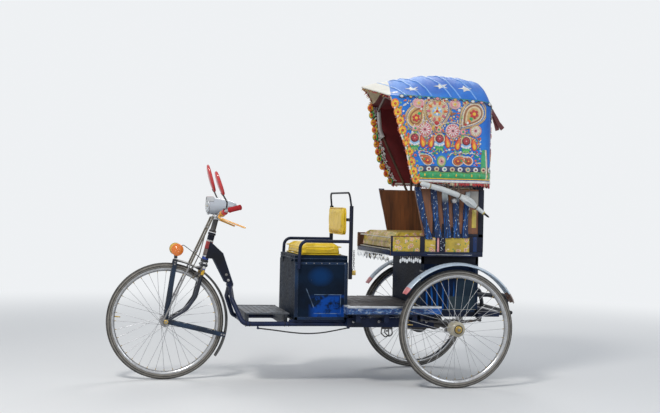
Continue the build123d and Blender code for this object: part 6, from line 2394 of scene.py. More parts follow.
@dataclass
class Hood:
    """The cloth hood: outer cloth and lining, its bows, visor, strap and fringe."""

    half: float = 0.482
    bottom: float = 1.236
    straight: float = 0.70
    rear_flat: float = -0.144
    rear_end: float = -0.330
    visor_deep: float = 0.168
    crown: tuple[tuple[float, float], ...] = (
        (0.520, 1.836), (0.503, 1.841), (0.390, 1.876), (0.268, 1.902), (0.160, 1.919), (0.056, 1.930), (-0.030, 1.929),
        (-0.110, 1.920), (-0.186, 1.900),
    )
    seam: tuple[tuple[float, float], ...] = (
        (0.428, 1.749), (0.268, 1.744), (0.056, 1.738), (-0.110, 1.730), (-0.186, 1.720), (-0.250, 1.694),
        (-0.298, 1.662), (-0.330, 1.632),
    )
    near_edge: tuple[tuple[float, float], ...] = (
        (1.236, 0.280), (1.286, 0.299), (1.383, 0.322), (1.441, 0.334), (1.492, 0.355), (1.549, 0.378), (1.607, 0.391),
        (1.690, 0.420), (1.749, 0.445),
    )
    far_edge: tuple[tuple[float, float], ...] = (
        (1.236, 0.160), (1.312, 0.205), (1.363, 0.236), (1.421, 0.258), (1.472, 0.270), (1.531, 0.283), (1.590, 0.290),
        (1.648, 0.300), (1.714, 0.317), (1.772, 0.330),
    )
    far_lift: float = 0.036
    plan: list[tuple[float, float, float, float, float]] = field(default_factory=list)

    def __post_init__(self) -> None:
        """Measure the plan of the rear: its run from the flat side, with the place and the outward direction."""
        corners = [(self.rear_flat + 0.04, self.half, 0), (self.rear_flat - 0.042, self.half, 0),
                   (self.rear_end, 0.082, 0), (self.rear_end, 0.0, 0)]
        line = [p for p in rounded(corners, 0.060, 16) if p.x <= self.rear_flat + 1e-4]
        dense = [Vector((self.rear_flat, self.half, 0))]
        for here, on in zip(line, line[1:]):
            pieces = max(1, int((on - here).length / 0.006))
            dense += [here.lerp(on, k / pieces) for k in range(1, pieces + 1)]
        run = 0.0
        for i, spot in enumerate(dense):
            before, after = dense[max(i - 1, 0)], dense[min(i + 1, len(dense) - 1)]
            run += (spot - before).length
            ahead = (after - before).normalized()
            nx, ny = (0.0, 1.0) if i == 0 else (-1.0, 0.0) if i == len(dense) - 1 else (ahead.y, -ahead.x)
            self.plan.append((run, spot.x, spot.y, nx, ny))

    def round_rear(self, run: float) -> tuple[float, float, float, float]:
        """X, Y and outward direction of the plan at a run from the end of the flat side.

        Args:
            run: metres along the plan.

        Returns:
            X and Y of the place, and of its outward direction.
        """
        for (r0, x0, y0, _, _), (r1, x1, y1, nx, ny) in zip(self.plan, self.plan[1:]):
            if run <= r1:
                share = max(0.0, (run - r0) / max(r1 - r0, 1e-9))
                return x0 + (x1 - x0) * share, y0 + (y1 - y0) * share, nx, ny
        return self.plan[-1][1:]

    def along(self, t: float, front: float) -> float:
        """X, forward of the rear axle, of a section's point where the section starts at front."""
        return front + (self.rear_flat - front) * min(1.0, t / self.straight)

    def behind(self, t: float) -> float:
        """How far round the rear a section lies, from 0 where the flat side ends to 1 in the middle behind."""
        return max(0.0, (t - self.straight) / (1 - self.straight))

    def front_edge(self, z: float, side: int = 1) -> float:
        """X, forward of the rear axle, of the front edge of a side at a height; the far side is drawn back."""
        return between(z, self.near_edge if side > 0 else self.far_edge)

    def point(self, t: float, s: float, side: int, out: float = 0.0) -> Vector:
        """Point of the hood.

        Args:
            t: 0 at the front edge, 1 at the middle of the rear.
            s: 0 at the bottom, 0.6 at the seam of side and roof, 1 at the crown.
            side: 1 for the left, -1 for the right.
            out: how far outside the cloth.

        Returns:
            The point, in the row's frame.
        """
        round_to = self.behind(t)
        if round_to > 0:
            seam_x, seam_y, nx, ny = self.round_rear(round_to * self.plan[-1][0])
        else:
            seam_x, seam_y, nx, ny = self.along(t, self.front_edge(self.seam[0][1], side)), self.half, 0.0, 1.0
        seam_z = between(seam_x, self.seam)
        ahead = max(0.0, 1 - t / 0.24)
        if side < 0:
            seam_z += self.far_lift * ahead ** 1.5
        if s <= 0.6:
            share = s / 0.6
            z = self.bottom + (seam_z - self.bottom) * share
            x = seam_x if round_to > 0 else self.along(t, self.front_edge(z, side))
            hollow = 0.0016 * math.sin(math.pi * share) * math.sin(math.pi * min(1.0, t / self.straight))
            return Vector((fore(x + nx * out), side * (seam_y - hollow + ny * out), z))
        share = (s - 0.6) / 0.4
        if round_to > 0:
            return self.fan(round_to, share, side, out)
        crown_x = self.along(t, 0.503)
        x = seam_x + (crown_x - seam_x) * share ** 1.3
        crown_z = between(crown_x, self.crown)
        rise = crown_z - seam_z
        radius = (self.half ** 2 + rise ** 2) / (2 * rise)
        reach = math.asin(self.half / radius) * (1 - share)
        off = radius + out - self.sag(x, share)
        y, z = off * math.sin(reach), crown_z - radius + off * math.cos(reach)
        tight = ahead ** 1.3
        y += (self.half * (1 - share) - y) * tight
        z += (seam_z + rise * share + out - z) * tight
        return Vector((fore(x), side * y, z))

    def fan(self, round_to: float, share: float, side: int, out: float) -> Vector:
        """Point of the roof behind, on a line that runs from the rear seam up to the end of the crown.

        Args:
            round_to: how far round the rear the line starts.
            share: how far up the line.
            side: 1 for the left, -1 for the right.
            out: how far outside the cloth.

        Returns:
            The point, in the row's frame.
        """
        seam_x, seam_y, _, _ = self.round_rear(round_to * self.plan[-1][0])
        top_x, top_z = self.rear_flat, between(self.rear_flat, self.crown)
        rise = top_z - between(self.rear_flat, self.seam)
        reach = math.asin(self.half / ((self.half ** 2 + rise ** 2) / (2 * rise)))
        slow = math.sin(reach * (1 - share)) / math.sin(reach)
        climb = (math.cos(reach * (1 - share)) - math.cos(reach)) / (1 - math.cos(reach))
        quarter = math.pi / 2 * share
        blend = round_to ** 0.7
        slow += (max(0.0, math.cos(quarter)) ** 0.72 - slow) * blend
        climb += (math.sin(quarter) ** 0.72 - climb) * blend
        seam_z = between(seam_x, self.seam)
        ahead = Vector((seam_x - top_x, side * seam_y, 0))
        off = out - self.sag(top_x + ahead.x * slow, share) * (1 - 0.6 * blend)
        normal = (ahead.normalized() * slow + Vector((0, 0, max(climb, 0.05)))).normalized()
        spot = Vector((fore(top_x), 0, seam_z + (top_z - seam_z) * climb)) + ahead * slow + normal * off
        if round_to >= 1.0:
            spot.y = 0.0
        return spot

    def sag(self, x: float, share: float) -> float:
        """How far the roof cloth hangs in between its bows, with the ridges of its folds.

        Args:
            x: metres forward of the rear axle.
            share: share of the way over the roof, from 0 to 1.

        Returns:
            The depth in metres.
        """
        bows = (0.43, 0.29, 0.15, 0.02, -0.12, -0.25)
        near = min(abs(x - b - 0.06 * (1 - share)) for b in bows)
        hang = 0.009 * min(1.0, near / 0.07) ** 1.5
        fold = 0.0018 * math.sin((x + 0.10 * share) * 2 * math.pi / 0.046)
        return (hang + fold) * min(1.0, share * 4) + 0.001

    def sheet_rows(self, steps: int = 64, rows: int = 40) -> list[list[Vector]]:
        """Rows of points over the whole hood, from the bottom up, each from the left front round to the right front.

        Args:
            steps: how many steps round the plan.
            rows: how many rows.

        Returns:
            The rows.
        """
        sheet = []
        for r in range(rows + 1):
            left = [self.point(k / steps, r / rows, 1) for k in range(steps + 1)]
            right = [self.point(k / steps, r / rows, -1) for k in range(steps)]
            sheet.append(left + right[::-1])
        return sheet

    @staticmethod
    def lined(sheet: list[list[Vector]], thick: float) -> list[list[Vector]]:
        """The same rows moved inwards by the cloth's thickness.

        Args:
            sheet: rows of points.
            thick: thickness in metres.

        Returns:
            The moved rows.
        """
        rows, count = len(sheet), len(sheet[0])
        half = count // 2
        inner = []
        for r, row in enumerate(sheet):
            moved = []
            for k, point in enumerate(row):
                ahead = row[min(k + 1, count - 1)] - row[max(k - 1, 0)]
                if k == half:
                    ahead = Vector((0, -1, 0))
                upper, lower = sheet[min(r + 1, rows - 1)][k], sheet[max(r - 1, 0)][k]
                normal = ahead.cross(upper - lower)
                if normal.length < 1e-9:
                    normal = Vector((0, 0, 1))
                moved.append(point - normal.normalized() * thick)
            inner.append(moved)
        return inner

    def cloth(self) -> bpy.types.Object:
        """Build the outer cloth and the lining as one sheet.

        Returns:
            The sheet's object.
        """
        shape = Shape("hood_cloth")
        sheet = self.sheet_rows()
        inner = self.lined(sheet, 0.004)
        count = len(sheet[0])
        loops = [row + lining[::-1] for row, lining in zip(sheet, inner)]
        shape.rings(loops, Palette.hood_blue, caps=False,
                    pick=lambda i: Palette.hood_blue if i < count else Palette.lining_red)
        hem = [[row, lining] for row, lining in zip(sheet[0], inner[0])]
        shape.rings(hem, Palette.hood_blue, around=False, caps=False)
        piece = shape.finish("chassis", "hood_cloth", ["hood"], smooth=50.0, close=0.0002)
        return piece

    def bows(self) -> None:
        """Build the hoops that carry the cloth, and their pivots."""
        shape = Shape("hood_hoops")
        half = self.half - 0.0143
        pivot = Vector((fore(0.030), 0, 1.130))
        for lean, shoulder, crown in ((-26.0, 0.640, 0.730), (-2.0, 0.590, 0.760), (22.0, 0.600, 0.735)):
            up = Vector((math.sin(math.radians(-lean)), 0, math.cos(math.radians(lean))))
            points = [pivot + up * s + Vector((0, y, 0)) for y, s in (
                (-half, 0), (-half, shoulder - 0.12), (-half * 0.6, crown - 0.07), (0, crown),
                (half * 0.6, crown - 0.07), (half, shoulder - 0.12), (half, 0))]
            line = rounded(points, 0.090, 8)
            shape.tube(line, 0.008, Palette.cane, 14)
            if lean < -20:
                legs = [p for p in line if p.y < -half * 0.62 and p.z > 1.30]
                shape.tube(legs, 0.0125, Palette.sleeve, 14)
        for side in (1, -1):
            reach = 0.485 if side > 0 else half + 0.010
            low, high = sorted((side * 0.4446, side * reach))
            spot = Vector((pivot.x, low, pivot.z))
            shape.disc(spot, (0, 1, 0), 0.016, high - low, Palette.dull_steel, 24)
        lath = [(0.122, 1.225), (0.136, 1.400), (0.150, 1.600), (0.158, 1.735)]
        rings = [[(fore(x) + u * 0.019, y, z) for u, y in (
            (-1, half - 0.010), (1, half - 0.010), (1, half - 0.016), (-1, half - 0.016))] for x, z in lath]
        shape.rings(rings, Palette.lath)
        shape.finish("chassis", "bow_cane", ["hood_bows"])

    def far_flowers(self) -> None:
        """Build the flowers and the pale fluff along the far side's drawn-back front edge."""
        shape = Shape("far_edge_flowers")
        face = -self.half + 0.0075
        sewer = Applique(self)

        def at(_side: int, x: float, z: float, level: float) -> Vector:
            """Place on the far edge's flat face."""
            return Vector((fore(x), face + level, z))

        chance = random.Random(41)
        heights = [1.262 + 0.049 * k for k in range(11)]
        for k, z in enumerate(heights):
            x = self.front_edge(z, -1) + 0.004
            for outline, level, finish in (
                (oval(x, z, 0.040, 0.050, 0, 16), 0.0, (Trim.green, Trim.yellow, Trim.orange)[k % 3]),
                (oval(x + 0.004, z, 0.028, 0.034, 0, 14), 0.002, (Trim.yellow, Trim.orange, Trim.yellow)[k % 3]),
                (oval(x + 0.004, z, 0.013, 0.015, 0, 10), 0.004, Trim.red),
                (drop(x - 0.010, z + 0.022, 0.016, 0.011, 110), 0.003, Trim.leaf),
                (oval(x + 0.010, z + 0.024, 0.011, 0.011, 0, 8), 0.002, (Trim.white, Trim.red)[k % 2]),
            ):
                sewer.patch(shape, -1, outline, level, 0.0022, finish, at)
        for k in range(190):
            z = 1.262 + 0.50 * k / 190
            top = Vector((fore(self.front_edge(z, -1) - 0.030 + chance.uniform(-0.008, 0.008)), face, z))
            foot = top + Vector((chance.uniform(-0.012, 0.012), chance.uniform(0.008, 0.016),
                                 chance.uniform(-0.014, 0.006)))
            shape.tube([top, top.lerp(foot, 0.5), foot], [0.0020, 0.0052, 0.0014],
                       Palette.sleeve if chance.random() < 0.8 else Trim.rose, 6)
        shape.finish("chassis", "hood_cloth", smooth=60.0)

    def visor(self) -> None:
        """Build the white visor along the front edge of the roof, with its beige underside."""
        shape = Shape("hood_visor")
        across = [k / 24 * 2 - 1 for k in range(25)]
        for lift, finish in ((0.0022, Palette.visor_white), (-0.0062, Palette.visor_under)):
            rows = []
            for v in across:
                side = 1 if v >= 0 else -1
                deep = self.visor_deep * (1 - abs(v) ** 1.1) + 0.004
                rows.append([self.point(deep * j / 10, 1 - 0.4 * abs(v), side, lift) for j in range(11)])
            shape.rings(rows, finish, around=False, caps=False)
        edge = [self.point(0.0, 1 - 0.4 * abs(v), 1 if v >= 0 else -1, -0.002) for v in across]
        shape.tube(edge, 0.0045, Palette.visor_white, 10)
        chance = random.Random(17)
        for v in across[1:-1]:
            spot = self.point(0.010, 1 - 0.4 * abs(v), 1 if v >= 0 else -1, -0.009)
            for _ in range(3):
                foot = spot + Vector((chance.uniform(-0.006, 0.020), chance.uniform(-0.010, 0.010),
                                      -chance.uniform(0.006, 0.016)))
                shape.tube([spot, spot.lerp(foot, 0.5), foot], [0.0018, 0.0034, 0.0012],
                           Trim.red if chance.random() < 0.6 else Trim.gold, 6)
        shape.finish("chassis", "hood_cloth")

    def strap(self) -> None:
        """Build the dark-red tie that hangs behind the hood."""
        shape = Shape("rear_tie")
        for width, places in (
            (0.034, ((-0.324, 1.800), (-0.340, 1.772), (-0.364, 1.728), (-0.392, 1.682),
                     (-0.415, 1.640), (-0.444, 1.606))),
            (0.030, ((-0.326, 1.790), (-0.346, 1.752), (-0.366, 1.706), (-0.384, 1.664),
                     (-0.398, 1.628), (-0.408, 1.596))),
        ):
            line = rounded([(fore(x), 0.0, z) for x, z in places], 0.030, 4)
            rings = []
            for i, spot in enumerate(line):
                before, after = line[max(i - 1, 0)], line[min(i + 1, len(line) - 1)]
                ahead = (after - before).normalized()
                up = Vector((-ahead.z, 0, ahead.x))
                twist = 0.6 + 0.8 * i / len(line)
                across = Vector((0, math.cos(twist), 0)) + up * math.sin(twist)
                rings.append([spot + across * (u * width) + up * (w * 0.0016)
                              for u, w in ((-0.5, 0), (-0.45, 1), (0, 1.3), (0.45, 1), (0.5, 0),
                                           (0.45, -1), (0, -1.3), (-0.45, -1))])
            shape.rings(rings, Palette.strap_red)
        shape.finish("chassis", "hood_cloth")

    def build(self) -> None:
        """Build every part of the hood."""
        self.cloth()
        self.bows()
        self.far_flowers()
        self.visor()
        self.strap()


@dataclass
class RainRoll:
    """The rolled white rain cover, tied under the near side of the hood."""

    y: float = 0.504
    radius: float = 0.020

    def build(self) -> None:
        """Build the roll with its folds and its two ties."""
        shape = Shape("rolled_cover")
        places = ((0.250, 1.228), (0.115, 1.196), (0.020, 1.165), (-0.045, 1.134), (-0.100, 1.094),
                  (-0.150, 1.057), (-0.182, 1.034))
        line = rounded([(fore(x), self.y, z) for x, z in places], 0.100, 5)
        dense = []
        for a, b in zip(line, line[1:]):
            pieces = max(1, int((b - a).length / 0.008))
            dense += [a.lerp(b, k / pieces) for k in range(pieces)]
        dense.append(line[-1])
        chance = random.Random(4)
        phases = [chance.uniform(0, 6.28) for _ in range(6)]
        rings = []
        count = len(dense)
        for i, spot in enumerate(dense):
            before, after = dense[max(i - 1, 0)], dense[min(i + 1, count - 1)]
            ahead = (after - before).normalized()
            side = Vector((0, 1, 0))
            up = ahead.cross(side).normalized()
            share = i / (count - 1)
            base = between(share, ((0.0, 0.0165), (0.42, 0.0180), (0.50, 0.0150), (0.56, 0.0225), (0.66, 0.0240),
                                   (0.72, 0.0150), (0.88, 0.0115), (0.93, 0.0080), (1.0, 0.0060)))
            crumple = max(0.0, 1 - abs(share - 0.60) / 0.14) + 0.12
            if i in (0, count - 1):
                base *= 0.55
            ring = []
            for k in range(28):
                a = 2 * math.pi * k / 28
                crease = 0.07 * math.sin(5 * a + phases[0] + 6 * share) + 0.05 * math.sin(9 * a
                                                                                          + phases[1] - 14 * share)
                crease += 0.04 * math.sin(2 * a + phases[2] + 30 * share)
                r = base * (0.94 + crease * 1.7 * min(1.0, crumple))
                ring.append(spot + side * (r * math.cos(a)) + up * (r * math.sin(a)))
            rings.append(ring)
        gold, tip = int(0.86 * count), int(0.93 * count)
        shape.spans(rings, [(gold, Palette.rain_white), (tip - gold, Palette.strip_yellow),
                            (count - 1 - tip, Palette.black_rubber)])
        for share, size in ((0.10, 0.0185), (0.50, 0.0175), (0.74, 0.0165)):
            spot = dense[int(share * (count - 1))]
            ahead = (dense[int(share * (count - 1)) + 1] - spot).normalized()
            shape.lathe([(size - 0.004, -0.004), (size, -0.002), (size, 0.002), (size - 0.004, 0.004)], spot, ahead,
                        Palette.rain_tie, 20)
        for share in (0.10, 0.50):
            spot = dense[int(share * (count - 1))]
            top = Vector((spot.x + 0.006, 0.4835, 1.2375))
            shape.tube([spot + Vector((0, -0.006, 0.010)), spot.lerp(top, 0.6) + Vector((0, 0.004, 0)), top], 0.0022,
                       Palette.rain_tie, 6)
        shape.finish("chassis", "rain_sheet", ["rain_roll"])


# Outlines of the sewn patches, as (x, z) points


def beside(x: float, z: float, radius: float, turn: float) -> tuple[float, float]:
    """Place at a radius and an angle in degrees from (x, z)."""
    return x + radius * math.cos(math.radians(turn)), z + radius * math.sin(math.radians(turn))


def oval(x: float, z: float, wide: float, high: float, turn: float = 0.0, count: int = 20) -> list[tuple[float, float]]:
    """Outline of an oval about (x, z), turned by an angle in degrees.

    Args:
        x: metres forward of the rear axle.
        z: height in metres.
        wide: width in metres.
        high: height of the outline in metres.
        turn: turn in degrees.
        count: how many points.

    Returns:
        The outline as (x, z) points.
    """
    a = math.radians(turn)
    spots = [(wide / 2 * math.cos(b), high / 2 * math.sin(b)) for b in (2 * math.pi * k / count for k in range(count))]
    return [(x + u * math.cos(a) - v * math.sin(a), z + u * math.sin(a) + v * math.cos(a)) for u, v in spots]


def star(x: float, z: float, radius: float, inner: float, tips: int, turn: float = 90.0) -> list[tuple[float, float]]:
    """Outline of a star with its first tip at an angle in degrees.

    Args:
        x: metres forward of the rear axle.
        z: height in metres.
        radius: radius in metres.
        inner: radius between the tips.
        tips: how many tips.
        turn: turn in degrees.

    Returns:
        The outline as (x, z) points.
    """
    spots = []
    for k in range(2 * tips):
        r = radius if k % 2 == 0 else inner
        a = math.radians(turn + 180 * k / tips)
        spots.append((x + r * math.cos(a), z + r * math.sin(a)))
    return spots


def drop(
    x: float, z: float, length: float, wide: float, turn: float, curl: float = 0.0, count: int = 22,
) -> list[tuple[float, float]]:
    """Outline of a teardrop or curled leaf.

    Args:
        x: middle of its round end.
        z: height of its round end.
        length: from the round end's middle to the tip.
        wide: across the round end.
        turn: direction of the tip in degrees.
        curl: how far the tip bends sideways, as a share of the length.
        count: number of points.

    Returns:
        The outline.
    """
    a = math.radians(turn)
    spots = []
    for k in range(count):
        b = 2 * math.pi * k / count
        u = (math.cos(b) + 1) / 2
        along = -wide / 2 + (length + wide / 2) * u
        across = wide / 2 * math.sin(b) * math.sin(math.pi * min(1.0, 1.12 - u) / 2) ** 0.8
        across += curl * length * u ** 2.2
        spots.append((x + along * math.cos(a) - across * math.sin(a), z + along * math.sin(a) + across * math.cos(a)))
    return spots


@dataclass
class Applique:
    """Sewn decoration of the hood: rosettes, leaves, rounds, studs, borders and scallops."""

    hood: Hood
    cups: tuple[tuple[float, float], ...] = ((0.288, 1.490), (0.133, 1.489), (-0.034, 1.479))
    tries: int = 9000  # places tried for the small leaves and dots
    most: int = 340  # leaves and dots of a side, but one

    def lay(self, side: int, x: float, z: float, level: float) -> Vector:
        """Point on the hood's wall.

        Args:
            side: 1 for the left, -1 for the right.
            x: forward of the rear axle on the left side; past the rear corner it goes on along the cloth.
            z: height.
            level: how far outside the cloth.

        Returns:
            The point, in the row's frame.
        """
        flat, total = self.hood.rear_flat, self.hood.plan[-1][0]
        if x >= flat:
            if side < 0:
                squeeze = (self.hood.front_edge(z, -1) - flat) / (self.hood.front_edge(z, 1) - flat)
                x = flat + (x - flat) * squeeze
            return Vector((fore(x), side * (self.hood.half + level), z))
        run = flat - x
        if run > total:
            return self.lay(-side, flat - (2 * total - run), z, level)
        px, py, nx, ny = self.hood.round_rear(run)
        return Vector((fore(px + nx * level), side * (py + ny * level), z))

    def patch(
        self, shape: Shape, side: int, outline: Sequence[tuple[float, float]], level: float, thick: float,
        finish: Finish, place: Optional[Callable[[int, float, float, float], Vector]] = None,
    ) -> None:
        """Sew a puffed patch on the cloth.

        Args:
            shape: the piece that it becomes part of.
            side: which side of the hood.
            outline: its outline.
            level: how far outside the cloth it starts.
            thick: how far it puffs up.
            finish: what it wears.
            place: where a point of the outline lies, if not on the wall.
        """
        put = place or self.lay
        count = len(outline)
        cx = sum(p[0] for p in outline) / count
        cz = sum(p[1] for p in outline) / count
        rings = []
        for scale, share in ((1.0, -0.6), (1.0, 0.35), (0.90, 0.75), (0.55, 1.0)):
            rings.append([put(side, cx + (x - cx) * scale, cz + (z - cz) * scale, level + thick * share)
                          for x, z in outline])
        start = len(rings) * count
        points = [p for ring in rings for p in ring] + [put(side, cx, cz, level + thick)]
        faces: list[tuple[int, ...]] = []
        for r in range(len(rings) - 1):
            for i in range(count):
                j = (i + 1) % count
                faces.append((r * count + i, r * count + j, (r + 1) * count + j, (r + 1) * count + i))
        last = (len(rings) - 1) * count
        faces += [(last + i, last + (i + 1) % count, start) for i in range(count)]
        shape.add(points, faces, finish)

    def cord(self, shape: Shape, side: int, line: Sequence[tuple[float, float]], radius: float, finish: Finish,
             level: float = 0.001, loop: bool = False) -> None:
        """Sew a thin cord on the wall along (x, z) points."""
        shape.tube([self.lay(side, x, z, level) for x, z in line], radius, finish, 6, loop=loop)

    def beads(self, shape: Shape, side: int, line: Sequence[tuple[float, float]], size: float, finish: Finish,
              level: float) -> None:
        """Sew a row of small round studs at (x, z) points."""
        for x, z in line:
            self.patch(shape, side, oval(x, z, size, size, 0, 8), level, size * 0.3, finish)

    def round_with_spokes(self, shape: Shape, side: int, x: float, z: float, size: float, rim: Finish = Trim.white,
                          inside: Finish = Trim.rose) -> None:
        """A pale-rimmed round with spokes and a dark heart.

        Args:
            shape: shape that takes the faces.
            side: 1 for the left, -1 for the right.
            x: metres forward of the rear axle.
            z: height in metres.
            size: size in metres.
            rim: finish of the rim.
            inside: finish of the spokes.
        """
        self.patch(shape, side, oval(x, z, size, size, 0, 28), 0.0005, 0.002, rim)
        self.patch(shape, side, oval(x, z, size * 0.84, size * 0.84, 0, 28), 0.002, 0.001, inside)
        for k in range(12):
            a = 30 * k + 15
            r = size * 0.255
            spot = beside(x, z, r, a)
            self.patch(shape, side, oval(*spot, size * 0.26, size * 0.075, a, 8), 0.0026, 0.0014, Trim.white)
        self.patch(shape, side, oval(x, z, size * 0.30, size * 0.30, 0, 14), 0.003, 0.0014, Trim.pink)
        self.patch(shape, side, oval(x, z, size * 0.16, size * 0.16, 0, 10), 0.004, 0.0016, Trim.plum)
        ring = [(x + size * 0.46 * math.cos(a), z + size * 0.46 * math.sin(a)) for a in angles(26)]
        self.beads(shape, side, ring, size * 0.055, Trim.red, 0.0022)

    def cup_flower(self, shape: Shape, side: int, x: float, z: float) -> None:
        """A dark-red bloom under a pale arch in a cup on a green foot, embraced by flame-shaped leaves.

        Args:
            shape: shape that takes the faces.
            side: 1 for the left, -1 for the right.
            x: metres forward of the rear axle.
            z: height in metres.
        """
        for lean in (1, -1):
            for size, (deep, lift, finish) in zip((1.0, 0.76, 0.44), (
                    (0.0, 0.0005, Trim.red), (0.001, 0.0024, Trim.orange), (0.003, 0.0040, Trim.yellow))):
                outline = drop(x + lean * 0.054, z - 0.026 - deep, 0.062 * size,
                               0.042 * size, 90 - lean * 4, lean * 0.34)
                self.patch(shape, side, outline, lift, 0.0020, finish)
        self.patch(shape, side, oval(x, z - 0.042, 0.056, 0.030, 0, 18), 0.0010, 0.0022, Trim.green)
        for lean in (-1, 0, 1):
            self.patch(shape, side, drop(x + lean * 0.010, z - 0.050, 0.026, 0.013, -90 + lean * 40),
                       0.0018, 0.002, Trim.leaf)
        self.patch(shape, side, oval(x, z + 0.009, 0.068, 0.070, 0, 24), 0.0008, 0.0020, Trim.cream)
        self.patch(shape, side, oval(x, z - 0.018, 0.066, 0.038, 0, 20), 0.0014, 0.0024, Trim.sky)
        for k in range(5):
            a = math.radians(200 + 35 * k)
            spot = (x + 0.026 * math.cos(a), z - 0.018 + 0.013 * math.sin(a))
            self.patch(shape, side, oval(*spot, 0.014, 0.012, 0, 10), 0.0032, 0.0014, Trim.white)
        self.patch(shape, side, oval(x, z + 0.010, 0.052, 0.052, 0, 22), 0.0028, 0.0040, Trim.plum)
        for k in range(7):
            a = 2 * math.pi * k / 7
            self.patch(shape, side, oval(x + 0.013 * math.cos(a), z + 0.010 + 0.013 * math.sin(a), 0.014, 0.010,
                                         math.degrees(a), 8), 0.0060, 0.0012, Trim.red)
        self.patch(shape, side, oval(x, z + 0.010, 0.010, 0.010, 0, 8), 0.0068, 0.0012, Trim.pink)

    def flower(self, shape: Shape, side: int, x: float, z: float, size: float, petals: Finish, heart: Finish,
               count: int = 6, level: float = 0.001) -> None:
        """An open flower with round petals.

        Args:
            shape: shape that takes the faces.
            side: 1 for the left, -1 for the right.
            x: metres forward of the rear axle.
            z: height in metres.
            size: size in metres.
            petals: finish of the petals.
            heart: finish of the heart.
            count: how many petals.
            level: height over the cloth.
        """
        for k in range(count):
            a = 360 / count * k + 20
            r = size * 0.27
            spot = beside(x, z, r, a)
            self.patch(shape, side, oval(*spot, size * 0.46, size * 0.34, a, 10), level, 0.0024, petals)
        self.patch(shape, side, oval(x, z, size * 0.36, size * 0.36, 0, 12), level + 0.0018, 0.0024, heart)

    def paisley(self, shape: Shape, side: int, x: float, z: float, length: float, wide: float, turn: float, curl: float,
                skins: Sequence[Finish]) -> None:
        """A curled leaf of nested patches, edged with beads, with a flower in its round end.

        Args:
            shape: shape that takes the faces.
            side: 1 for the left, -1 for the right.
            x: metres forward of the rear axle.
            z: height in metres.
            length: length in metres.
            wide: width in metres.
            turn: turn in degrees.
            curl: how far the tip bends.
            skins: finishes from the outermost patch inwards.
        """
        for i, finish in enumerate(skins):
            scale = 1 - 0.15 * i
            self.patch(shape, side, drop(x, z, length * scale, wide * scale, turn, curl, 34),
                       0.0006 + 0.0010 * i, 0.0016, finish)
        edge = drop(x, z, length * 0.93, wide * 0.93, turn, curl, 38)
        self.beads(shape, side, edge, 0.0065, Trim.white, 0.0016)
        level = 0.0022 + 0.0010 * len(skins)
        self.flower(shape, side, x, z, wide * 0.42, Trim.red, Trim.yellow, 6, level)
        a = math.radians(turn)
        for k in range(4):
            far = 0.34 + 0.14 * k
            shift = curl * length * far ** 2.2
            spot = (x + length * far * math.cos(a) - shift * math.sin(a),
                    z + length * far * math.sin(a) + shift * math.cos(a))
            size = wide * (0.19 - 0.025 * k)
            self.patch(shape, side, oval(*spot, size, size * 0.8, turn, 9), level, 0.0018,
                       (Trim.green, Trim.orange, Trim.white, Trim.red)[k])

    def rosette(self, shape: Shape, side: int, x: float, z: float) -> None:
        """The large onion-shaped rosette in the middle of the panel, wide above and pointed below.

        Args:
            shape: shape that takes the faces.
            side: 1 for the left, -1 for the right.
            x: metres forward of the rear axle.
            z: height in metres.
        """
        for i, (scale, finish) in enumerate((
                (1.0, Trim.gold), (0.93, Trim.brown), (0.86, Trim.cream), (0.72, Trim.gold), (0.62, Trim.cream))):
            outline = drop(x, z, 0.098 * scale, 0.160 * scale, -90, 0.0, 44)
            self.patch(shape, side, outline, 0.0004 + 0.0009 * i, 0.0014, finish)
        ring = drop(x, z, 0.098 * 0.90, 0.160 * 0.90, -90, 0.0, 46)
        self.beads(shape, side, ring, 0.0070, Trim.white, 0.0024)
        for k in range(10):
            a = 36 * k
            spot = (x + 0.048 * math.cos(math.radians(a)), z + 0.046 * math.sin(math.radians(a)))
            self.patch(shape, side, drop(*spot, 0.020, 0.017, a), 0.0050, 0.0018, Trim.orange if k % 2 else Trim.rose)
        self.patch(shape, side, oval(x, z, 0.060, 0.056, 0, 22), 0.0052, 0.0014, Trim.sky)
        for k in range(6):
            a = 60 * k + 30
            spot = beside(x, z, 0.013, a)
            self.patch(shape, side, drop(*spot, 0.016, 0.014, a), 0.0062, 0.0018, Trim.yellow if k % 2 else Trim.white)
        self.patch(shape, side, oval(x, z, 0.018, 0.018, 0, 12), 0.0076, 0.0016, Trim.red)
        self.patch(shape, side, oval(x, z - 0.070, 0.030, 0.024, 0, 16), 0.0050, 0.0024, Trim.red)
        for k in range(3):
            self.patch(shape, side, drop(x + 0.018 * (k - 1), z - 0.092, 0.024, 0.015, -90 + 32 * (k - 1)), 0.0016,
                       0.002, (Trim.yellow, Trim.red, Trim.yellow)[k])

    def seam_trim(self, shape: Shape, side: int) -> None:
        """The zigzag band with its studs, along the seam of side and roof and round the rear.

        Args:
            shape: shape that takes the faces.
            side: 1 for the left, -1 for the right.
        """
        total = self.hood.plan[-1][0]
        x = 0.392
        step = 0.0185
        line = []
        k = 0
        while x > self.hood.rear_flat - total:
            z = self.seam_height(x) - 0.004
            line.append((x, z + (0.0075 if k % 2 else -0.0075)))
            x -= step
            k += 1
        self.cord(shape, side, line, 0.0030, Trim.black, 0.0022)
        self.cord(shape, side, [(p, q + 0.010 + (0.0075 if k % 2 == 0 else -0.0075)) for k, (p, q) in enumerate(line)],
                  0.0018, Trim.green, 0.0018)
        skins = (Trim.white, Trim.gold, Trim.teal, Trim.white, Trim.pink)
        for i, (p, q) in enumerate(line[1:-1:3]):
            size = 0.021 if i % 2 else 0.027
            z = self.seam_height(p) - 0.003
            self.patch(shape, side, oval(p, z, size, size * 0.84, 0, 14), 0.0028, 0.0030, Trim.black)
            self.patch(shape, side, oval(p, z, size * 0.78, size * 0.62, 0, 14), 0.0050, 0.0034, skins[i % 5])

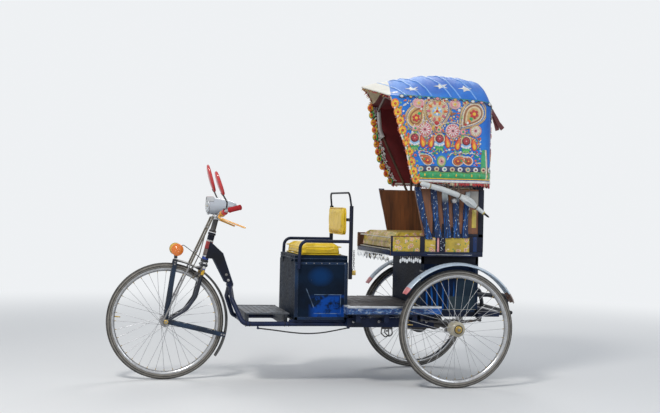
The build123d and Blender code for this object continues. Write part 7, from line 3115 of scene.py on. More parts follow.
    def seam_height(self, x: float) -> float:
        """Height of the seam between side and roof."""
        flat = self.hood.rear_flat
        return between(x if x >= flat else self.hood.round_rear(flat - x)[0], self.hood.seam)

    def front_border(self, shape: Shape, side: int) -> None:
        """Large flowers, leaves and piping along the front edge of the side panel.

        Args:
            shape: shape that takes the faces.
            side: 1 for the left, -1 for the right.
        """
        bottom = self.hood.bottom
        edge = [(self.hood.front_edge(z) + 0.001, z) for z in (bottom + 0.504 * k / 25 for k in range(26))]
        shape.tube([self.lay(side, x, z, -0.002) for x, z in edge], 0.0046, Trim.cream, 8)
        shape.tube([self.lay(side, x + 0.004, z, -0.003) for x, z in edge[:16]], 0.0052, Trim.white, 8)
        shape.tube([self.lay(side, x - 0.003, z, 0.0022) for x, z in edge[:16]], 0.0026, Trim.green, 6)
        chance = random.Random(29 + side)
        for x, z in edge:
            for _ in range(2):
                top = self.lay(side, x, z + chance.uniform(-0.008, 0.008), -0.006)
                foot = top + Vector((chance.uniform(-0.004, 0.012), side * chance.uniform(-0.022, -0.008),
                                     chance.uniform(-0.012, 0.006)))
                shape.tube([top, top.lerp(foot, 0.5), foot], [0.0016, 0.0036, 0.0012],
                           Trim.rose if chance.random() < 0.6 else Trim.red, 6)
        heights = (1.700, 1.650, 1.600, 1.542, 1.480, 1.418, 1.355, 1.300, 1.254)
        for k, z in enumerate(heights):
            x = self.hood.front_edge(z) - 0.012
            self.patch(shape, side, oval(x, z, 0.050, 0.060, 0, 18), 0.0004, 0.0020, Trim.orange)
            self.flower(shape, side, x, z, 0.047, Trim.yellow, Trim.red, 6, 0.0014)
            self.patch(shape, side, oval(x, z, 0.008, 0.008, 0, 8), 0.0052, 0.0014, Trim.orange)
            if k + 1 < len(heights):
                low = (z + heights[k + 1]) / 2
                at = self.hood.front_edge(low) - 0.014
                for lean, finish in ((-1, Trim.green), (1, Trim.white), (0, Trim.orange)):
                    self.patch(shape, side, drop(at + lean * 0.013, low, 0.013, 0.010, 90 + lean * 60),
                               0.0012, 0.0022, finish)
            inner = x - 0.036
            self.flower(shape, side, inner, z - 0.022, 0.020,
                        Trim.orange if k % 2 else Trim.yellow, Trim.red, 5, 0.0008)
            self.patch(shape, side, oval(inner + 0.002, z + 0.006, 0.012, 0.012, 0, 10), 0.0010, 0.0022,
                       (Trim.leaf, Trim.white, Trim.pink)[k % 3])

    def lower_border(self, shape: Shape, side: int) -> None:
        """The navy band with studs, the green border with its yellow edge, the piping and the red fringe.

        Args:
            shape: shape that takes the faces.
            side: 1 for the left, -1 for the right.
        """
        total = self.hood.plan[-1][0]
        start, end = 0.255, self.hood.rear_flat - total
        steps = 150
        xs = [start + (end - start) * k / steps for k in range(steps + 1)]
        band = [[self.lay(side, x, z, lift) for x in xs] for z, lift in (
            (1.299, 0.0), (1.300, 0.0012), (1.335, 0.0012), (1.336, 0.0))]
        shape.rings(band, Trim.navy, around=False, caps=False)
        wave = [[self.lay(side, x, 1.262 + share * (0.038 + 0.003 * math.sin(x * 46)), lift) for x in xs]
                for share, lift in ((0.0, 0.0), (0.08, 0.0022), (0.5, 0.0034), (0.92, 0.0022), (1.0, 0.0))]
        shape.rings(wave, Trim.green, around=False, caps=False)
        self.cord(shape, side, [(x, 1.300 + 0.003 * math.sin(x * 46)) for x in xs], 0.0026, Trim.leaf, 0.0020)
        self.cord(shape, side, [(x, 1.259) for x in xs], 0.0040, Trim.yellow, 0.0012)
        self.cord(shape, side, [(x, 1.244) for x in xs], 0.0075, Trim.white, 0.0004)
        for k in range(int((start - end) / 0.049)):
            x = start - 0.010 - 0.049 * k
            self.patch(shape, side, oval(x, 1.317, 0.031, 0.029, 0, 14), 0.0014, 0.0026,
                       Trim.white if k % 2 else Trim.cream)
            self.patch(shape, side, oval(x, 1.317, 0.014, 0.013, 0, 10), 0.0038, 0.0024,
                       Trim.plum if k % 3 else Trim.teal)
            self.patch(shape, side, drop(x + 0.024, 1.278, 0.013, 0.010, 90), 0.0036, 0.0016,
                       Trim.yellow if k % 2 else Trim.leaf)
        chance = random.Random(11 + side)
        x = 0.275
        while x > end:
            rear = 1.0 if x < 0.06 else 0.45
            long = chance.uniform(0.014, 0.024) * rear
            top = self.lay(side, x, 1.240, -0.001)
            foot = self.lay(side, x + chance.uniform(-0.004, 0.004), 1.238 - long, chance.uniform(-0.002, 0.003))
            shape.tube([top, top.lerp(foot, 0.35), foot], [0.0014, 0.0036, 0.0014],
                       Trim.red if chance.random() < 0.75 else Trim.cream, 6)
            x -= 0.0070

    def rear_strip(self, shape: Shape, side: int) -> None:
        """The green piped border that climbs behind the side panel, below the plain strip.

        Args:
            shape: shape that takes the faces.
            side: 1 for the left, -1 for the right.
        """
        outer = [(-0.166, 1.262), (-0.166, 1.330), (-0.162, 1.390), (-0.156, 1.440)]
        inner = [(-0.128, 1.290), (-0.130, 1.330), (-0.132, 1.390), (-0.136, 1.440)]
        rows = [[self.lay(side, x, z, lift) for (x, z) in line] for line, lift in (
            (outer, 0.0), (outer, 0.0026), (inner, 0.0026), (inner, 0.0))]
        shape.rings(rows, Trim.green, around=False, caps=False)
        self.cord(shape, side, outer, 0.0036, Trim.white, 0.0020)
        self.cord(shape, side, [(x - 0.006, z) for x, z in outer], 0.0026, Trim.yellow, 0.0014)

    def panel(self, shape: Shape, side: int) -> None:
        """The large motifs of the side panel.

        Args:
            shape: shape that takes the faces.
            side: 1 for the left, -1 for the right.
        """
        for x, z, wide, high in ((0.268, 1.708, 0.078, 0.062), (0.042, 1.708, 0.074, 0.060)):
            self.patch(shape, side, oval(x, z, wide, high, 0, 26), 0.0022, 0.0022, Trim.white)
            self.patch(shape, side, oval(x, z, wide * 0.8, high * 0.78, 0, 22), 0.0040, 0.0014, Trim.pink)
            self.flower(shape, side, x, z, high * 0.62, Trim.cream, Trim.yellow, 5, 0.0052)
            ring = [(x + wide * 0.46 * math.cos(a), z + high * 0.46 * math.sin(a)) for a in angles(24)]
            self.beads(shape, side, ring, 0.0050, Trim.rose, 0.0040)
        for x, z in ((0.206, 1.728), (0.106, 1.728), (-0.022, 1.720)):
            self.patch(shape, side, oval(x, z, 0.026, 0.026, 0, 14), 0.0020, 0.0024, Trim.cream)
            self.patch(shape, side, oval(x, z, 0.013, 0.013, 0, 10), 0.0040, 0.0018, Trim.red)
        self.paisley(shape, side, 0.282, 1.618, 0.100, 0.120, 128, -0.26,
                     (Trim.cream, Trim.gold, Trim.brown, Trim.gold))
        self.rosette(shape, side, 0.153, 1.663)
        self.paisley(shape, side, -0.080, 1.654, 0.108, 0.138, -62, 0.26,
                     (Trim.cream, Trim.brown, Trim.cream, Trim.gold))
        for x, z, size in ((0.226, 1.552, 0.090), (0.051, 1.548, 0.090)):
            self.round_with_spokes(shape, side, x, z, size)
        self.round_with_spokes(shape, side, -0.093, 1.554, 0.076, Trim.pink, Trim.cream)
        for x, z in ((0.285, 1.557), (0.139, 1.553), (-0.014, 1.545)):
            self.flower(shape, side, x, z, 0.040, Trim.pink, Trim.green, 7)
            self.patch(shape, side, star(x, z - 0.030, 0.015, 0.008, 3, -90), 0.0006, 0.002, Trim.leaf)
        for x, z in self.cups:
            self.cup_flower(shape, side, x, z)
        earth = (Trim.cream, Trim.brown, Trim.orange, Trim.brown)
        self.paisley(shape, side, 0.206, 1.368, 0.062, 0.070, 14, 0.36, earth)
        self.paisley(shape, side, 0.016, 1.366, 0.066, 0.070, 176, -0.34, earth)
        self.paisley(shape, side, -0.050, 1.368, 0.052, 0.062, -8, 0.36, (Trim.cream, Trim.orange, Trim.brown))
        self.patch(shape, side, oval(0.118, 1.364, 0.058, 0.068, 0, 24), 0.0006, 0.0022, Trim.leaf)
        self.patch(shape, side, oval(0.118, 1.364, 0.042, 0.052, 0, 20), 0.0024, 0.0014, Trim.cream)
        self.flower(shape, side, 0.118, 1.364, 0.030, Trim.pink, Trim.plum, 6, 0.0036)
        # gold and pale cords that follow the large motifs
        for outline in (drop(0.153, 1.663, 0.098, 0.160, -90, 0.0, 44),
                        drop(0.282, 1.618, 0.100, 0.120, 128, -0.26, 36),
                        drop(-0.080, 1.654, 0.108, 0.138, -62, 0.26, 36)):
            cx = sum(p[0] for p in outline) / len(outline)
            cz = sum(p[1] for p in outline) / len(outline)
            for grow, finish in ((1.11, Trim.cream), (1.22, Trim.gold)):
                ring = [(cx + (x - cx) * grow, min(1.722, cz + (z - cz) * grow)) for x, z in outline]
                self.cord(shape, side, [p for p in ring if -0.158 < p[0] < self.hood.front_edge(p[1]) - 0.050],
                          0.0030, finish, 0.0012)
        for x, z in self.cups:
            arch = [(x + 0.084 * math.cos(a), z - 0.004 + 0.056 * math.sin(a))
                    for a in (math.pi * (k / 14) for k in range(-2, 17))]
            self.cord(shape, side, [p for p in arch if p[0] < self.hood.front_edge(p[1]) - 0.050],
                      0.0026, Trim.gold, 0.0014)
        # white cords that swing between the motifs
        for line in (
            [(0.300, 1.556), (0.275, 1.606), (0.226, 1.603), (0.184, 1.592), (0.139, 1.582)],
            [(0.139, 1.582), (0.100, 1.592), (0.051, 1.600), (0.008, 1.588), (-0.016, 1.572)],
            [(0.262, 1.422), (0.220, 1.420), (0.180, 1.404), (0.156, 1.372)],
            [(0.082, 1.372), (0.060, 1.410), (0.020, 1.416), (-0.030, 1.412), (-0.080, 1.416), (-0.112, 1.400)],
        ):
            dense = []
            for (x0, z0), (x1, z1) in zip(line, line[1:]):
                dense += [(x0 + (x1 - x0) * k / 6, z0 + (z1 - z0) * k / 6 + 0.004 * math.sin(math.pi * k / 6))
                          for k in range(6)]
            self.cord(shape, side, dense + [line[-1]], 0.0028, Trim.white, 0.0014)
            self.beads(shape, side, dense[3::6], 0.007, Trim.red, 0.0030)

    def filling(self, shape: Shape, side: int) -> None:
        """Small leaves and dots sewn between the large motifs.

        Args:
            shape: shape that takes the faces.
            side: 1 for the left, -1 for the right.
        """
        chance = random.Random(23)
        taken = [(0.268, 1.708, 0.036), (0.042, 1.708, 0.034), (0.284, 1.620, 0.058), (0.318, 1.665, 0.030),
                 (0.153, 1.663, 0.078), (0.153, 1.590, 0.026), (-0.080, 1.654, 0.066), (-0.045, 1.594, 0.032),
                 (0.226, 1.552, 0.046), (0.051, 1.548, 0.046), (-0.093, 1.554, 0.040), (0.285, 1.557, 0.020),
                 (0.139, 1.553, 0.020), (-0.014, 1.545, 0.020), (0.206, 1.368, 0.036), (0.246, 1.374, 0.024),
                 (0.016, 1.366, 0.036), (-0.052, 1.368, 0.036), (0.060, 1.372, 0.024), (0.118, 1.364, 0.046)]
        for x, z in self.cups:
            taken += [(x, z, 0.034), (x + 0.050, z - 0.010, 0.018), (x - 0.050, z - 0.010, 0.018),
                      (x, z - 0.050, 0.024), (x + 0.050, z - 0.030, 0.018), (x - 0.050, z - 0.030, 0.018)]
        rich = (Trim.cream, Trim.gold, Trim.brown, Trim.white, Trim.cream, Trim.orange, Trim.gold, Trim.leaf)
        bright = (Trim.white, Trim.yellow, Trim.leaf, Trim.orange, Trim.pink, Trim.cream, Trim.green, Trim.red)
        made = 0
        for _ in range(self.tries):
            x, z = chance.uniform(-0.128, 0.350), chance.uniform(1.345, 1.724)
            size = chance.uniform(0.010, 0.026 if z > 1.52 else 0.018)
            if x > self.hood.front_edge(z) - 0.068:
                continue
            if any(math.hypot(x - a, z - b) < r + size * 0.42 for a, b, r in taken):
                continue
            taken.append((x, z, size * 0.46))
            skins = rich if z > 1.52 else bright
            finish = skins[chance.randrange(len(skins))]
            if chance.random() < 0.6:
                self.patch(shape, side, drop(x, z, size, size * 0.66, chance.uniform(0, 360), 0.2, 12),
                           0.0006, 0.0020, finish)
            else:
                self.patch(shape, side, oval(x, z, size * 0.85, size * 0.85, 0, 10), 0.0006, 0.0024, finish)
            made += 1
            if made > self.most:
                break

    def rear_panel(self, shape: Shape) -> None:
        """Motifs on the cloth behind: a large rosette between leaves, over a row of cup flowers.

        Args:
            shape: shape that takes the faces.
        """
        middle = self.hood.rear_flat - self.hood.plan[-1][0]
        self.rosette(shape, 1, middle, 1.560)
        for lean in (1, -1):
            x = middle + lean * 0.170
            self.paisley(shape, 1, x, 1.545, 0.100, 0.076, 90 + lean * 30, lean * 0.32,
                         (Trim.gold, Trim.cream, Trim.brown))
            self.round_with_spokes(shape, 1, middle + lean * 0.285, 1.585, 0.084)
            self.flower(shape, 1, middle + lean * 0.105, 1.500, 0.040, Trim.pink, Trim.green, 7)
        for k in range(-2, 3):
            self.cup_flower(shape, 1, middle + 0.150 * k, 1.425)

    def roof(self, shape: Shape, side: int) -> None:
        """White stars on the roof, and cords along its folds whose pale colour is a painted highlight on the folds.

        Args:
            shape: shape that takes the faces.
            side: 1 for the left, -1 for the right.
        """

        def at(which: int, x: float, up: float, level: float) -> Vector:
            """Place on the roof.

            Args:
                which: 1 for the left half, -1 for the right.
                x: metres forward of the rear axle.
                up: metres up the cloth from the seam.
                level: height over the cloth.

            Returns:
                The point.
            """
            s = 0.6 + 0.4 * max(0.0, min(1.0, up / 0.54))
            low, high = 0.0, 1.0
            for _ in range(26):
                middle = (low + high) / 2
                if self.hood.point(middle, s, which).x > fore(x):
                    low = middle
                else:
                    high = middle
            return self.hood.point((low + high) / 2, s, which, level)

        for x, up, size in ((0.392, 0.105, 0.028), (0.276, 0.140, 0.044), (0.090, 0.160, 0.046),
                            (-0.062, 0.140, 0.048)):
            self.patch(shape, side, star(x, up, size, size * 0.42, 5, 84), 0.0006, 0.0020, Trim.white, at)
        # pale cords along the roof's folds: painted highlights on the folds
        for x, lean in ((0.345, -0.070), (0.250, -0.085), (0.180, -0.090), (0.060, -0.095),
                        (0.000, -0.090), (-0.100, -0.080)):
            line = [at(side, x - lean * 0.9 * k / 22, 0.02 + 0.50 * k / 22, 0.0006) for k in range(23)]
            shape.tube(line, 0.0042, Palette.hood_fold_highlight, 6)

    def build(self) -> None:
        """Build the decoration of both sides, the rear and the roof."""
        for side, name in ((1, "applique_left"), (-1, "applique_right")):
            shape = Shape(name)
            self.panel(shape, side)
            self.filling(shape, side)
            self.seam_trim(shape, side)
            self.front_border(shape, side)
            self.lower_border(shape, side)
            self.rear_strip(shape, side)
            self.roof(shape, side)
            shape.finish("chassis", "hood_cloth", smooth=60.0)
        shape = Shape("applique_rear")
        self.rear_panel(shape)
        shape.finish("chassis", "hood_cloth", smooth=60.0)


# Passenger's place


@dataclass
class SidePanel:
    """A wooden side with its five painted slats, a yellow strip and nails."""

    side: int
    node: str
    inner: float = 0.4203
    board: float = 0.012
    slat_w: float = 0.045
    slats: tuple[tuple[float, float, float, float], ...] = (
        (0.170, 0.894, 0.250, 1.208), (0.111, 0.905, 0.150, 1.200), (0.051, 0.904, 0.078, 1.195),
        (-0.003, 0.905, 0.005, 1.190), (-0.055, 0.905, -0.068, 1.185),
    )

    def prism(self, shape: Shape, outline: Sequence[tuple[float, float]], low: float, high: float, edge: float,
              finish: Finish) -> None:
        """Add a board with an (x, z) outline between two distances from the middle, its outer edge eased.

        Args:
            shape: shape that takes the faces.
            outline: corners as (x, z) points.
            low: distance of the inner face from the middle.
            high: distance of the outer face from the middle.
            edge: width of the cut edge.
            finish: finish of the faces.
        """
        count = len(outline)
        cx, cz = sum(p[0] for p in outline) / count, sum(p[1] for p in outline) / count
        rings = []
        for across, inset in ((low, edge * 0.5), (low + edge, 0.0), (high - edge, 0.0), (high - edge * 0.3, edge * 0.7),
                              (high, edge * 1.6)):
            ring = []
            for x, z in outline:
                dx, dz = cx - x, cz - z
                ring.append((x + math.copysign(min(inset, abs(dx)), dx), self.side * across,
                             z + math.copysign(min(inset, abs(dz)), dz)))
            rings.append(ring)
        shape.rings(rings, finish)

    def build(self) -> None:
        """Build the board, the slats and the small things on them."""
        shape = Shape(self.node + "_boards")
        face = self.inner + self.board
        outline = [(fore(-0.172), 0.791), (fore(0.408), 0.791), (fore(0.408), 0.908), (fore(0.205), 0.912),
                   (fore(0.268), 1.200), (fore(-0.172), 1.200)]
        self.prism(shape, outline, self.inner, face, 0.0015, Palette.panel_wood)
        for x0, x1, z0, z1 in ((0.128, 0.150, 0.93, 1.03), (0.066, 0.092, 0.93, 0.99), (0.010, 0.032, 0.93, 0.97)):
            low, high = sorted((self.side * (face - 0.0005), self.side * (face + 0.0015)))
            shape.box((fore(x0), low, z0), (fore(x1), high, z1), Palette.neck_black, None, 0.0004)
        chance = random.Random(31)
        for n, (foot_x, foot_z, head_x, head_z) in enumerate(self.slats):
            foot_half = self.slat_w / 2
            head_half = self.slat_w / 2 * (0.82 if n < 4 else 0.6)
            rows = []
            for k in range(13):
                u = k / 12
                x = foot_x + (head_x - foot_x) * u + 0.004 * math.sin(math.pi * u)
                z = foot_z + (head_z - foot_z) * u
                half = foot_half + (head_half - foot_half) * u - 0.004 * math.sin(math.pi * min(1.0, u * 1.6))
                rows.append([(fore(x) + v * half, self.side * (face + lift), z) for v, lift in (
                    (-1, 0.0), (-1, 0.0075), (-0.82, 0.0112), (0, 0.0120), (0.82, 0.0112), (1, 0.0075), (1, 0.0))])
            shape.rings(rows, Palette.slat_blue, around=True)
            for k in range(9):
                u = 0.06 + 0.88 * (k + chance.uniform(-0.3, 0.3)) / 8
                x = fore(foot_x + (head_x - foot_x) * u) + chance.uniform(-0.014, 0.014)
                z = foot_z + (head_z - foot_z) * u
                long = chance.uniform(0.004, 0.011)
                a, wide = chance.uniform(0.6, 2.4), chance.uniform(0.0012, 0.0024)
                along, over = (math.cos(a) * long, math.sin(a) * long), (-math.sin(a) * wide, math.cos(a) * wide)
                y = self.side * (face + 0.0124)
                shape.add([(x + along[0], y, z + along[1]), (x + over[0], y, z + over[1]),
                           (x - along[0], y, z - along[1]),
                           (x - over[0], y, z - over[1])], [(0, 1, 2, 3) if self.side < 0 else (3, 2, 1, 0)],
                          Palette.fleck_white)
        patches = (
            (-0.112, 1.022, 0.028, 0.110, Palette.strip_yellow), (-0.106, 1.140, 0.062, 0.100, Palette.far_board),
            (0.318, 0.862, 0.184, 0.086, Palette.floral_seat), (0.162, 0.862, 0.068, 0.086, Palette.floral_seat),
            (0.113, 0.862, 0.014, 0.086, Trim.pink), (-0.0085, 0.862, 0.153, 0.086, Palette.floral_seat),
            (-0.128, 0.862, 0.084, 0.090, Palette.neck_black), (-0.120, 0.868, 0.028, 0.096, Palette.rail_blue),
        )
        for k, (x, z, wide, high, finish) in enumerate(patches):
            deep = 0.0012 if k == len(patches) - 1 else 0.0
            rings = [[(fore(x) + u * (wide / 2 - trim), self.side * (face + deep + lift), z + v * (high / 2 - trim))
                      for u, v in ((-1, -1), (1, -1), (1, 1), (-1, 1))]
                     for trim, lift in ((0.0, 0.0), (0.0, 0.0016), (0.003, 0.0034), (0.006, 0.0042))]
            shape.rings(rings, finish)
        for x, half in ((0.211, 0.014), (0.124, 0.004), (0.086, 0.017), (0.402, 0.006)):
            shape.box((fore(x) - half, min(self.side * face, self.side * (face + 0.006)), 0.815),
                      (fore(x) + half, max(self.side * face, self.side * (face + 0.006)), 0.912),
                      Palette.neck_black, None, 0.0015)
        for k in range(14):
            x, z = 0.086 + chance.uniform(-0.013, 0.013), 0.828 + 0.078 * k / 13
            shape.disc((fore(x), self.side * (face + 0.0062), z), (0, self.side, 0), chance.uniform(0.0014, 0.0034),
                       0.0008, Palette.fleck_white, 7)
        low, high = sorted((self.side * (face - 0.001), self.side * (face + 0.005)))
        shape.box((fore(-0.171), low, 0.7915), (fore(0.407), high, 0.8165), Palette.frame_blue, None, 0.002)
        shape.box((fore(-0.171), low, 0.8165), (fore(0.407), high, 0.8185), Palette.box_edge, None, 0.001)
        # thin pale strip along the middle of the seat rail: a painted highlight on the rail
        shape.box((fore(-0.100), low, 0.8005), (fore(0.180), high + 0.0006 * (self.side > 0), 0.8025),
                  Palette.edge_pale, None,
                  0.0006)
        shape.box((fore(-0.172), low, 0.909), (fore(0.200), high, 0.930), Palette.neck_black, None, 0.0015)
        shape.box((fore(-0.1722), low, 0.820), (fore(-0.138), high, 1.199), Palette.neck_black, None, 0.002)
        shape.finish("chassis", "side_wood", [self.node])


@dataclass
class SeatTrim:
    """Edges and the silver fringe of the passenger's seat."""

    front: float = fore(0.408)
    half: float = 0.420

    def build(self) -> None:
        """Build the front lip and the hanging silver leaves."""
        shape = Shape("seat_front_trim")
        shape.box((self.front - 0.0005, -self.half, 0.7915), (self.front + 0.0030, self.half, 0.8205),
                  Palette.frame_blue, None, 0.001)
        shape.tube([(self.front + 0.003, -self.half, 0.794), (self.front + 0.003, self.half, 0.794)],
                   0.0026, Palette.chrome, 8)
        chance = random.Random(7)
        places = [(self.front + 0.004, -self.half + 0.012 + (2 * self.half - 0.024) * k / 25) for k in range(26)]
        places += [(fore(0.225 + 0.0135 * k), side * 0.4385) for k in range(10) for side in (1, -1)]
        for k, (x, y) in enumerate(places):
            long = 0.020 + 0.012 * (k % 3)
            top = Vector((x, y, 0.791))
            shape.tube([top, top - Vector((0, 0, long * 0.4))], 0.0010, Palette.chrome, 5)
            centre = top - Vector((0, 0, long * 0.4 + 0.012))
            turn = chance.uniform(-0.5, 0.5) + (0.0 if abs(y) < self.half else math.pi / 2)
            rings = []
            for scale, deep in ((0.35, 0.0014), (1.0, 0.0), (0.35, -0.0014)):
                rings.append([
                    centre + Vector((deep * 1.2 + 0.007 * scale * math.cos(a) * math.sin(turn),
                                     0.007 * scale * math.cos(a) * math.cos(turn), 0.0125 * scale * math.sin(a)))
                    for a in angles(10)
                ])
            shape.rings(rings, Palette.foil_silver)
        shape.finish("chassis", "frame_paint")


@dataclass
class FootboardTrim:
    """Pale edge angle, screws and bare top sheet of the passenger's footboard, the sheet darkened partly by dirt and
    partly by painted shade under the seat.
    """

    half: float = 0.415
    top: float = 0.485

    def build(self) -> None:
        """Build the sheet and its edging."""
        shape = Shape("footboard_edging")
        for side in (1, -1):
            low, high = sorted((side * (self.half - 0.016), side * (self.half + 0.0008)))
            shape.box((fore(0.075), low, self.top - 0.0005), (fore(0.659), high, self.top + 0.0022),
                      Palette.edge_pale, None, 0.0008)
            low, high = sorted((side * (self.half - 0.0002), side * (self.half + 0.0014)))
            shape.box((fore(0.075), low, self.top - 0.010), (fore(0.659), high, self.top + 0.0022),
                      Palette.edge_pale, None, 0.0006)
            shape.box((fore(0.075), low, 0.436), (fore(0.659), high, 0.440), Palette.box_edge, None, 0.0006)
            for k in range(8):
                x = fore(0.095 + 0.078 * k)
                shape.disc((x, side * (self.half - 0.008), self.top + 0.0018), (0, 0, 1), 0.0042, 0.0018,
                           Palette.dull_steel, 12)
        # top sheet and its ribs, darkened as painted shade under the seat
        shape.box((fore(0.186), -self.half + 0.017, self.top - 0.0004),
                  (fore(0.629), self.half - 0.017, self.top + 0.0014),
                  Palette.shaded_board_sheet, None, 0.0005)
        for k in range(9):
            x = fore(0.215 + 0.048 * k)
            shape.tube([(x, -0.370, self.top + 0.0008), (x, 0.370, self.top + 0.0008)], 0.0026,
                       Palette.shaded_board_sheet, 8, flat=0.8)
        shape.finish("chassis", "footboard_paint")


@dataclass
class SeatBoxTrim:
    """Corner angles, a black band of painted shade under the seat's overhang, thin light lines and rear door of the
    seat box.
    """

    back: float = fore(-0.180)
    front: float = fore(0.185)
    half: float = 0.330
    bottom: float = 0.446
    top: float = 0.791

    def build(self) -> None:
        """Build the angles, the painted-shade band, the lines and the door."""
        shape = Shape("seat_box_edging")
        for side in (1, -1):
            low, high = sorted((side * (self.half - 0.001), side * (self.half + 0.0016)))
            for x0, x1 in ((self.back - 0.0008, self.back + 0.018), (self.front - 0.018, self.front + 0.0008)):
                shape.box((x0, low, self.bottom), (x1, high, self.top), Palette.box_edge, None, 0.0006)
            # black band along the top of each side: painted shade under the overhanging seat
            shape.box((self.back, low, self.top - 0.052), (self.front, high, self.top - 0.002),
                      Palette.neck_black, None, 0.0006)
            shape.box((self.back, low, self.bottom), (self.front, high, self.bottom + 0.016),
                      Palette.box_edge, None, 0.0006)
            y = side * (self.half + 0.0012)
            line = [(self.back + 0.010, y, 0.462), (fore(0.040), y, 0.462), (fore(0.052), y, 0.462)]
            shape.tube(line, 0.0012, Palette.piping_white, 6)
        back = self.back
        shape.box((back - 0.0030, -0.200, 0.560), (back + 0.0005, 0.200, 0.760), Palette.seat_box_navy, None, 0.001)
        for z in (0.600, 0.720):
            shape.tube([(back - 0.005, 0.203, z - 0.016), (back - 0.005, 0.203, z + 0.016)],
                       0.004, Palette.dull_steel, 12)
        shape.box((back - 0.0065, -0.196, 0.648), (back - 0.002, -0.168, 0.676), Palette.dull_steel, None, 0.001)
        shape.tube([(back - 0.008, -0.182, 0.652 + 0.010 * math.sin(a)) for a in (0.0, 1.5)], 0.003, Palette.brass, 8)
        for side in (1, -1):
            spot = Vector((back - 0.0005, side * 0.270, 0.700))
            shape.lathe([(0.0, 0.006), (0.020, 0.005), (0.028, 0.002), (0.030, 0.0)], spot, (-1, 0, 0),
                        Palette.red_lens, 28)
            shape.lathe([(0.030, -0.0005), (0.033, 0.0), (0.033, 0.003), (0.0295, 0.004)], spot, (-1, 0, 0),
                        Palette.chrome, 28)
        shape.finish("chassis", "seat_box_paint")


@dataclass
class FrameTrim:
    """Round floor rails, weld beads, bolts, floor beading and the neck's edges."""

    def rails(self, shape: Shape) -> None:
        """Add the smooth floor rails over the swept bars.

        Args:
            shape: shape that takes the faces.
        """
        for side in (1, -1):
            line = rounded([(fore(0.616), side * 0.250, 0.365), (fore(1.262), side * 0.250, 0.365),
                            (fore(1.318), side * 0.150, 0.500), (fore(1.318), side * 0.020, 0.580)], 0.045, 8)
            shape.tube(line, 0.01425, Palette.frame_blue, 20)

    def neck(self, shape: Shape) -> None:
        """Add edge rods and bolts along the down tube; the rods' pale worn paint is partly wear and partly a painted
        highlight on its edges.

        Args:
            shape: shape that takes the faces.
        """
        outline = ((1.425, 0.742), (1.350, 0.600), (1.300, 0.588), (1.368, 0.780))
        for side in (1, -1):
            points = [Vector((fore(x), side * 0.0312, z)) for x, z in outline]
            # pale worn edge rods: partly wear, partly painted highlights on the tube's edges
            shape.tube(points, 0.0024, Palette.box_edge, 8)
            for share in (0.12, 0.30):
                p = Vector((fore(1.300), 0, 0.588)).lerp(Vector((fore(1.368), 0, 0.780)), share)
                shape.nut((p.x + 0.022, side * 0.0311, p.z), (0, side, 0), 0.012, 0.005, Palette.dull_steel)
        middle = Vector((fore(1.318), 0, 0.583))
        shape.tube([middle + Vector((0.0, -0.034, 0.0)), middle + Vector((0.0, 0.034, 0.0))],
                   0.019, Palette.frame_blue, 20)

    def floor(self, shape: Shape) -> None:
        """Add the beads, rim and screws of the driver's floor.

        Args:
            shape: shape that takes the faces.
        """
        for k in range(7):
            x = fore(1.020 + 0.032 * k)
            shape.tube([(x, -0.225, 0.4312), (x, 0.225, 0.4312)], 0.0028, Palette.floor_sheet, 8, flat=0.9)
        for side in (1, -1):
            low, high = sorted((side * 0.246, side * 0.264))
            shape.box((fore(0.632), low, 0.3780), (fore(0.985), high, 0.3925), Palette.frame_blue, None, 0.002)
            low, high = sorted((side * 0.262, side * 0.2665))
            shape.box((fore(0.985), low, 0.4235), (fore(1.246), high, 0.4345), Palette.floor_sheet, None, 0.001)
            for x in (0.998, 1.115, 1.233):
                shape.disc((fore(x), side * 0.245, 0.4308), (0, 0, 1), 0.0055, 0.0024, Palette.dull_steel, 14)

    def welds(self, shape: Shape) -> None:
        """Add weld beads where cross members meet the rails and bolts on the beams.

        Args:
            shape: shape that takes the faces.
        """
        for x in (fore(0.606), fore(0.985), fore(1.222)):
            for side in (1, -1):
                for dx in (0.0, 0.024):
                    ring = [(x + dx, side * 0.250 + 0.0150 * math.cos(a), 0.365 + 0.0150 * math.sin(a))
                            for a in angles(14)]
                    shape.tube(ring, 0.0022, Palette.neck_black, 6, loop=True)
        for side in (1, -1):
            for x in (0.140, 0.260, 0.440, 0.600):
                shape.nut((fore(x), side * 0.3151, 0.385), (0, side, 0), 0.012, 0.006, Palette.dull_steel)

    def linkage(self, shape: Shape) -> None:
        """Add the bent brake rods, their bracket and its nut under the beams.

        Args:
            shape: shape that takes the faces.
        """
        y = 0.300
        for dx, dz in ((0.0, 0.0), (0.022, -0.004)):
            bent = rounded([(fore(0.392 + dx), y, 0.360), (fore(0.400 + dx), y, 0.318 + dz),
                            (fore(0.372 + dx), y, 0.292 + dz), (fore(0.350 + dx), y, 0.306 + dz),
                            (fore(0.356 + dx), y, 0.356)], 0.014, 5)
            shape.tube(bent, 0.0036, Palette.dark_steel, 10)
        shape.box((fore(0.350), y - 0.006, 0.338), (fore(0.420), y + 0.002, 0.356), Palette.dark_steel, None, 0.001)
        shape.nut((fore(0.386), y + 0.004, 0.328), (0, 1, 0), 0.010, 0.005, Palette.dull_steel)

    def build(self) -> None:
        """Build the frame's small things."""
        shape = Shape("frame_details")
        self.rails(shape)
        self.neck(shape)
        self.floor(shape)
        self.welds(shape)
        self.linkage(shape)
        shape.finish("chassis", "frame_paint")


# Loose cable


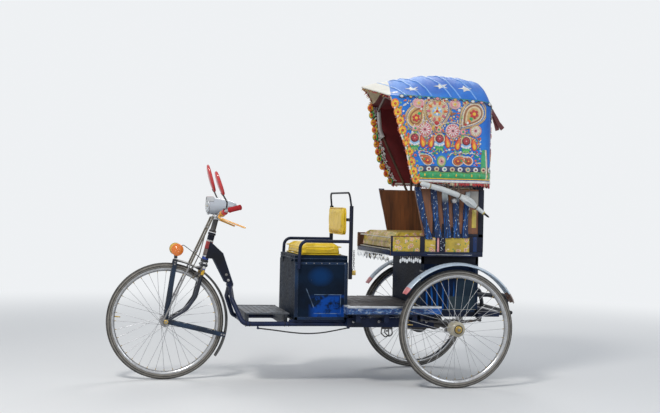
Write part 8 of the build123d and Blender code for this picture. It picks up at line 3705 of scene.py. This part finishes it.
@dataclass
class LooseCable:
    """The cable that sags under the left floor rail."""

    diameter: float = 0.008
    route: tuple[tuple[float, float, float], ...] = (
        (1.165, 0.250, 0.338), (1.075, 0.252, 0.328), (0.980, 0.251, 0.314), (0.880, 0.249, 0.305),
        (0.790, 0.250, 0.309), (0.700, 0.251, 0.324), (0.622, 0.250, 0.340),
    )

    def build(self) -> None:
        """Build the cable on one smooth spline."""
        curve = bpy.data.curves.new("sagging_cable", "CURVE")
        curve.dimensions = "3D"
        curve.bevel_depth = self.diameter / 2
        curve.bevel_resolution = 4
        curve.resolution_u = 16
        spline = curve.splines.new("NURBS")
        spline.points.add(len(self.route) - 1)
        for point, (x, y, z) in zip(spline.points, self.route):
            point.co = (fore(x), y, z, 1.0)
        spline.order_u = 3
        spline.use_endpoint_u = True
        curve.materials.append(Palette.cable_black.material())
        piece = bpy.data.objects.new("sagging_cable", curve)
        bpy.context.scene.collection.objects.link(piece)
        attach(piece, "chassis")
        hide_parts("loose_cable")
        x, y, z = self.route[0]
        fore(x)
        LOG.info("sagging_cable on chassis")


def dress_nodes() -> None:
    """Give every carried-over node its finish."""
    for name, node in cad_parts.items():
        material = NODE_FINISHES[name].material()
        node.data.materials.clear()
        node.data.materials.append(material)


def main() -> None:
    """Build and dress the vehicle, then the studio."""
    global EFFECTS
    logging.basicConfig(level=logging.INFO, format="%(message)s")
    EFFECTS = Effects()
    dress_nodes()
    Studio().build()
    LooseCable().build()
    wheels = (
        FrontWheel("front", "front_wheel", FRONT_X, 0.0, 0.034, 0.0155, "tyre_front", "wheel_front"),
        RearWheel("rear_left", "rear_wheel_left", REAR_X, WHEEL_Y, 0.050, 0.020, "tyre_rear_left", "wheel_rear_left"),
        RearWheel("rear_right", "rear_wheel_right", REAR_X, -WHEEL_Y, 0.050, 0.020, "tyre_rear_right",
                  "wheel_rear_right"),
    )
    for wheel in wheels:
        wheel.build()
    cushions = (
        Cushion("driver_seat_pad", "seat_lid", "yellow_vinyl", "driver_cushion",
                (fore(0.662), -0.252, 0.7803), (fore(0.930), 0.252, 0.848), Palette.yellow_seat, Palette.yellow_seat),
        Cushion("driver_back_pad", "chassis", "yellow_vinyl", "driver_backrest",
                (fore(0.6303), -0.215, 0.906), (fore(0.6563), 0.215, 1.075), Palette.yellow_seat, Palette.yellow_seat,
                thick_axis=0, travel=0.008, inset=0.004),
        Cushion("passenger_seat_pad", "chassis", "seat_vinyl", "seat_cushion",
                (fore(-0.090), -0.406, 0.8213), (fore(0.404), 0.406, 0.925), Palette.floral_seat, Palette.piping_white,
                travel=0.022, inset=0.014, step=0.0063),
        Cushion("passenger_back_pad", "chassis", "seat_vinyl", "seat_back",
                (fore(-0.1307), -0.385, 0.840), (fore(-0.092), 0.385, 1.215), Palette.floral_seat,
                Palette.piping_white, thick_axis=0, travel=0.012, inset=0.006, corner=0.035),
    )
    for piece in (
        RearAxle(), FrontFork(), HeadTube(), Handlebar(), HeadLamp(), Mirror("mirror_left", 1, 0.150, 1.198, 20.0),
        Mirror("mirror_right", -1, 0.180, 1.238, 16.0), Indicators(), RearGuard(1, "mudguard_rear_left"),
        RearGuard(-1, "mudguard_rear_right"), FrontGuard(), Bumper(), DriverRails(), DriverBoxTrim(), Hood(),
        RainRoll(), Applique(Hood()), SidePanel(1, "side_panel_left"), SidePanel(-1, "side_panel_right"), SeatTrim(),
        FootboardTrim(), SeatBoxTrim(), FrameTrim(), *cushions,
    ):
        piece.build()


if __name__ == "__main__":
    main()
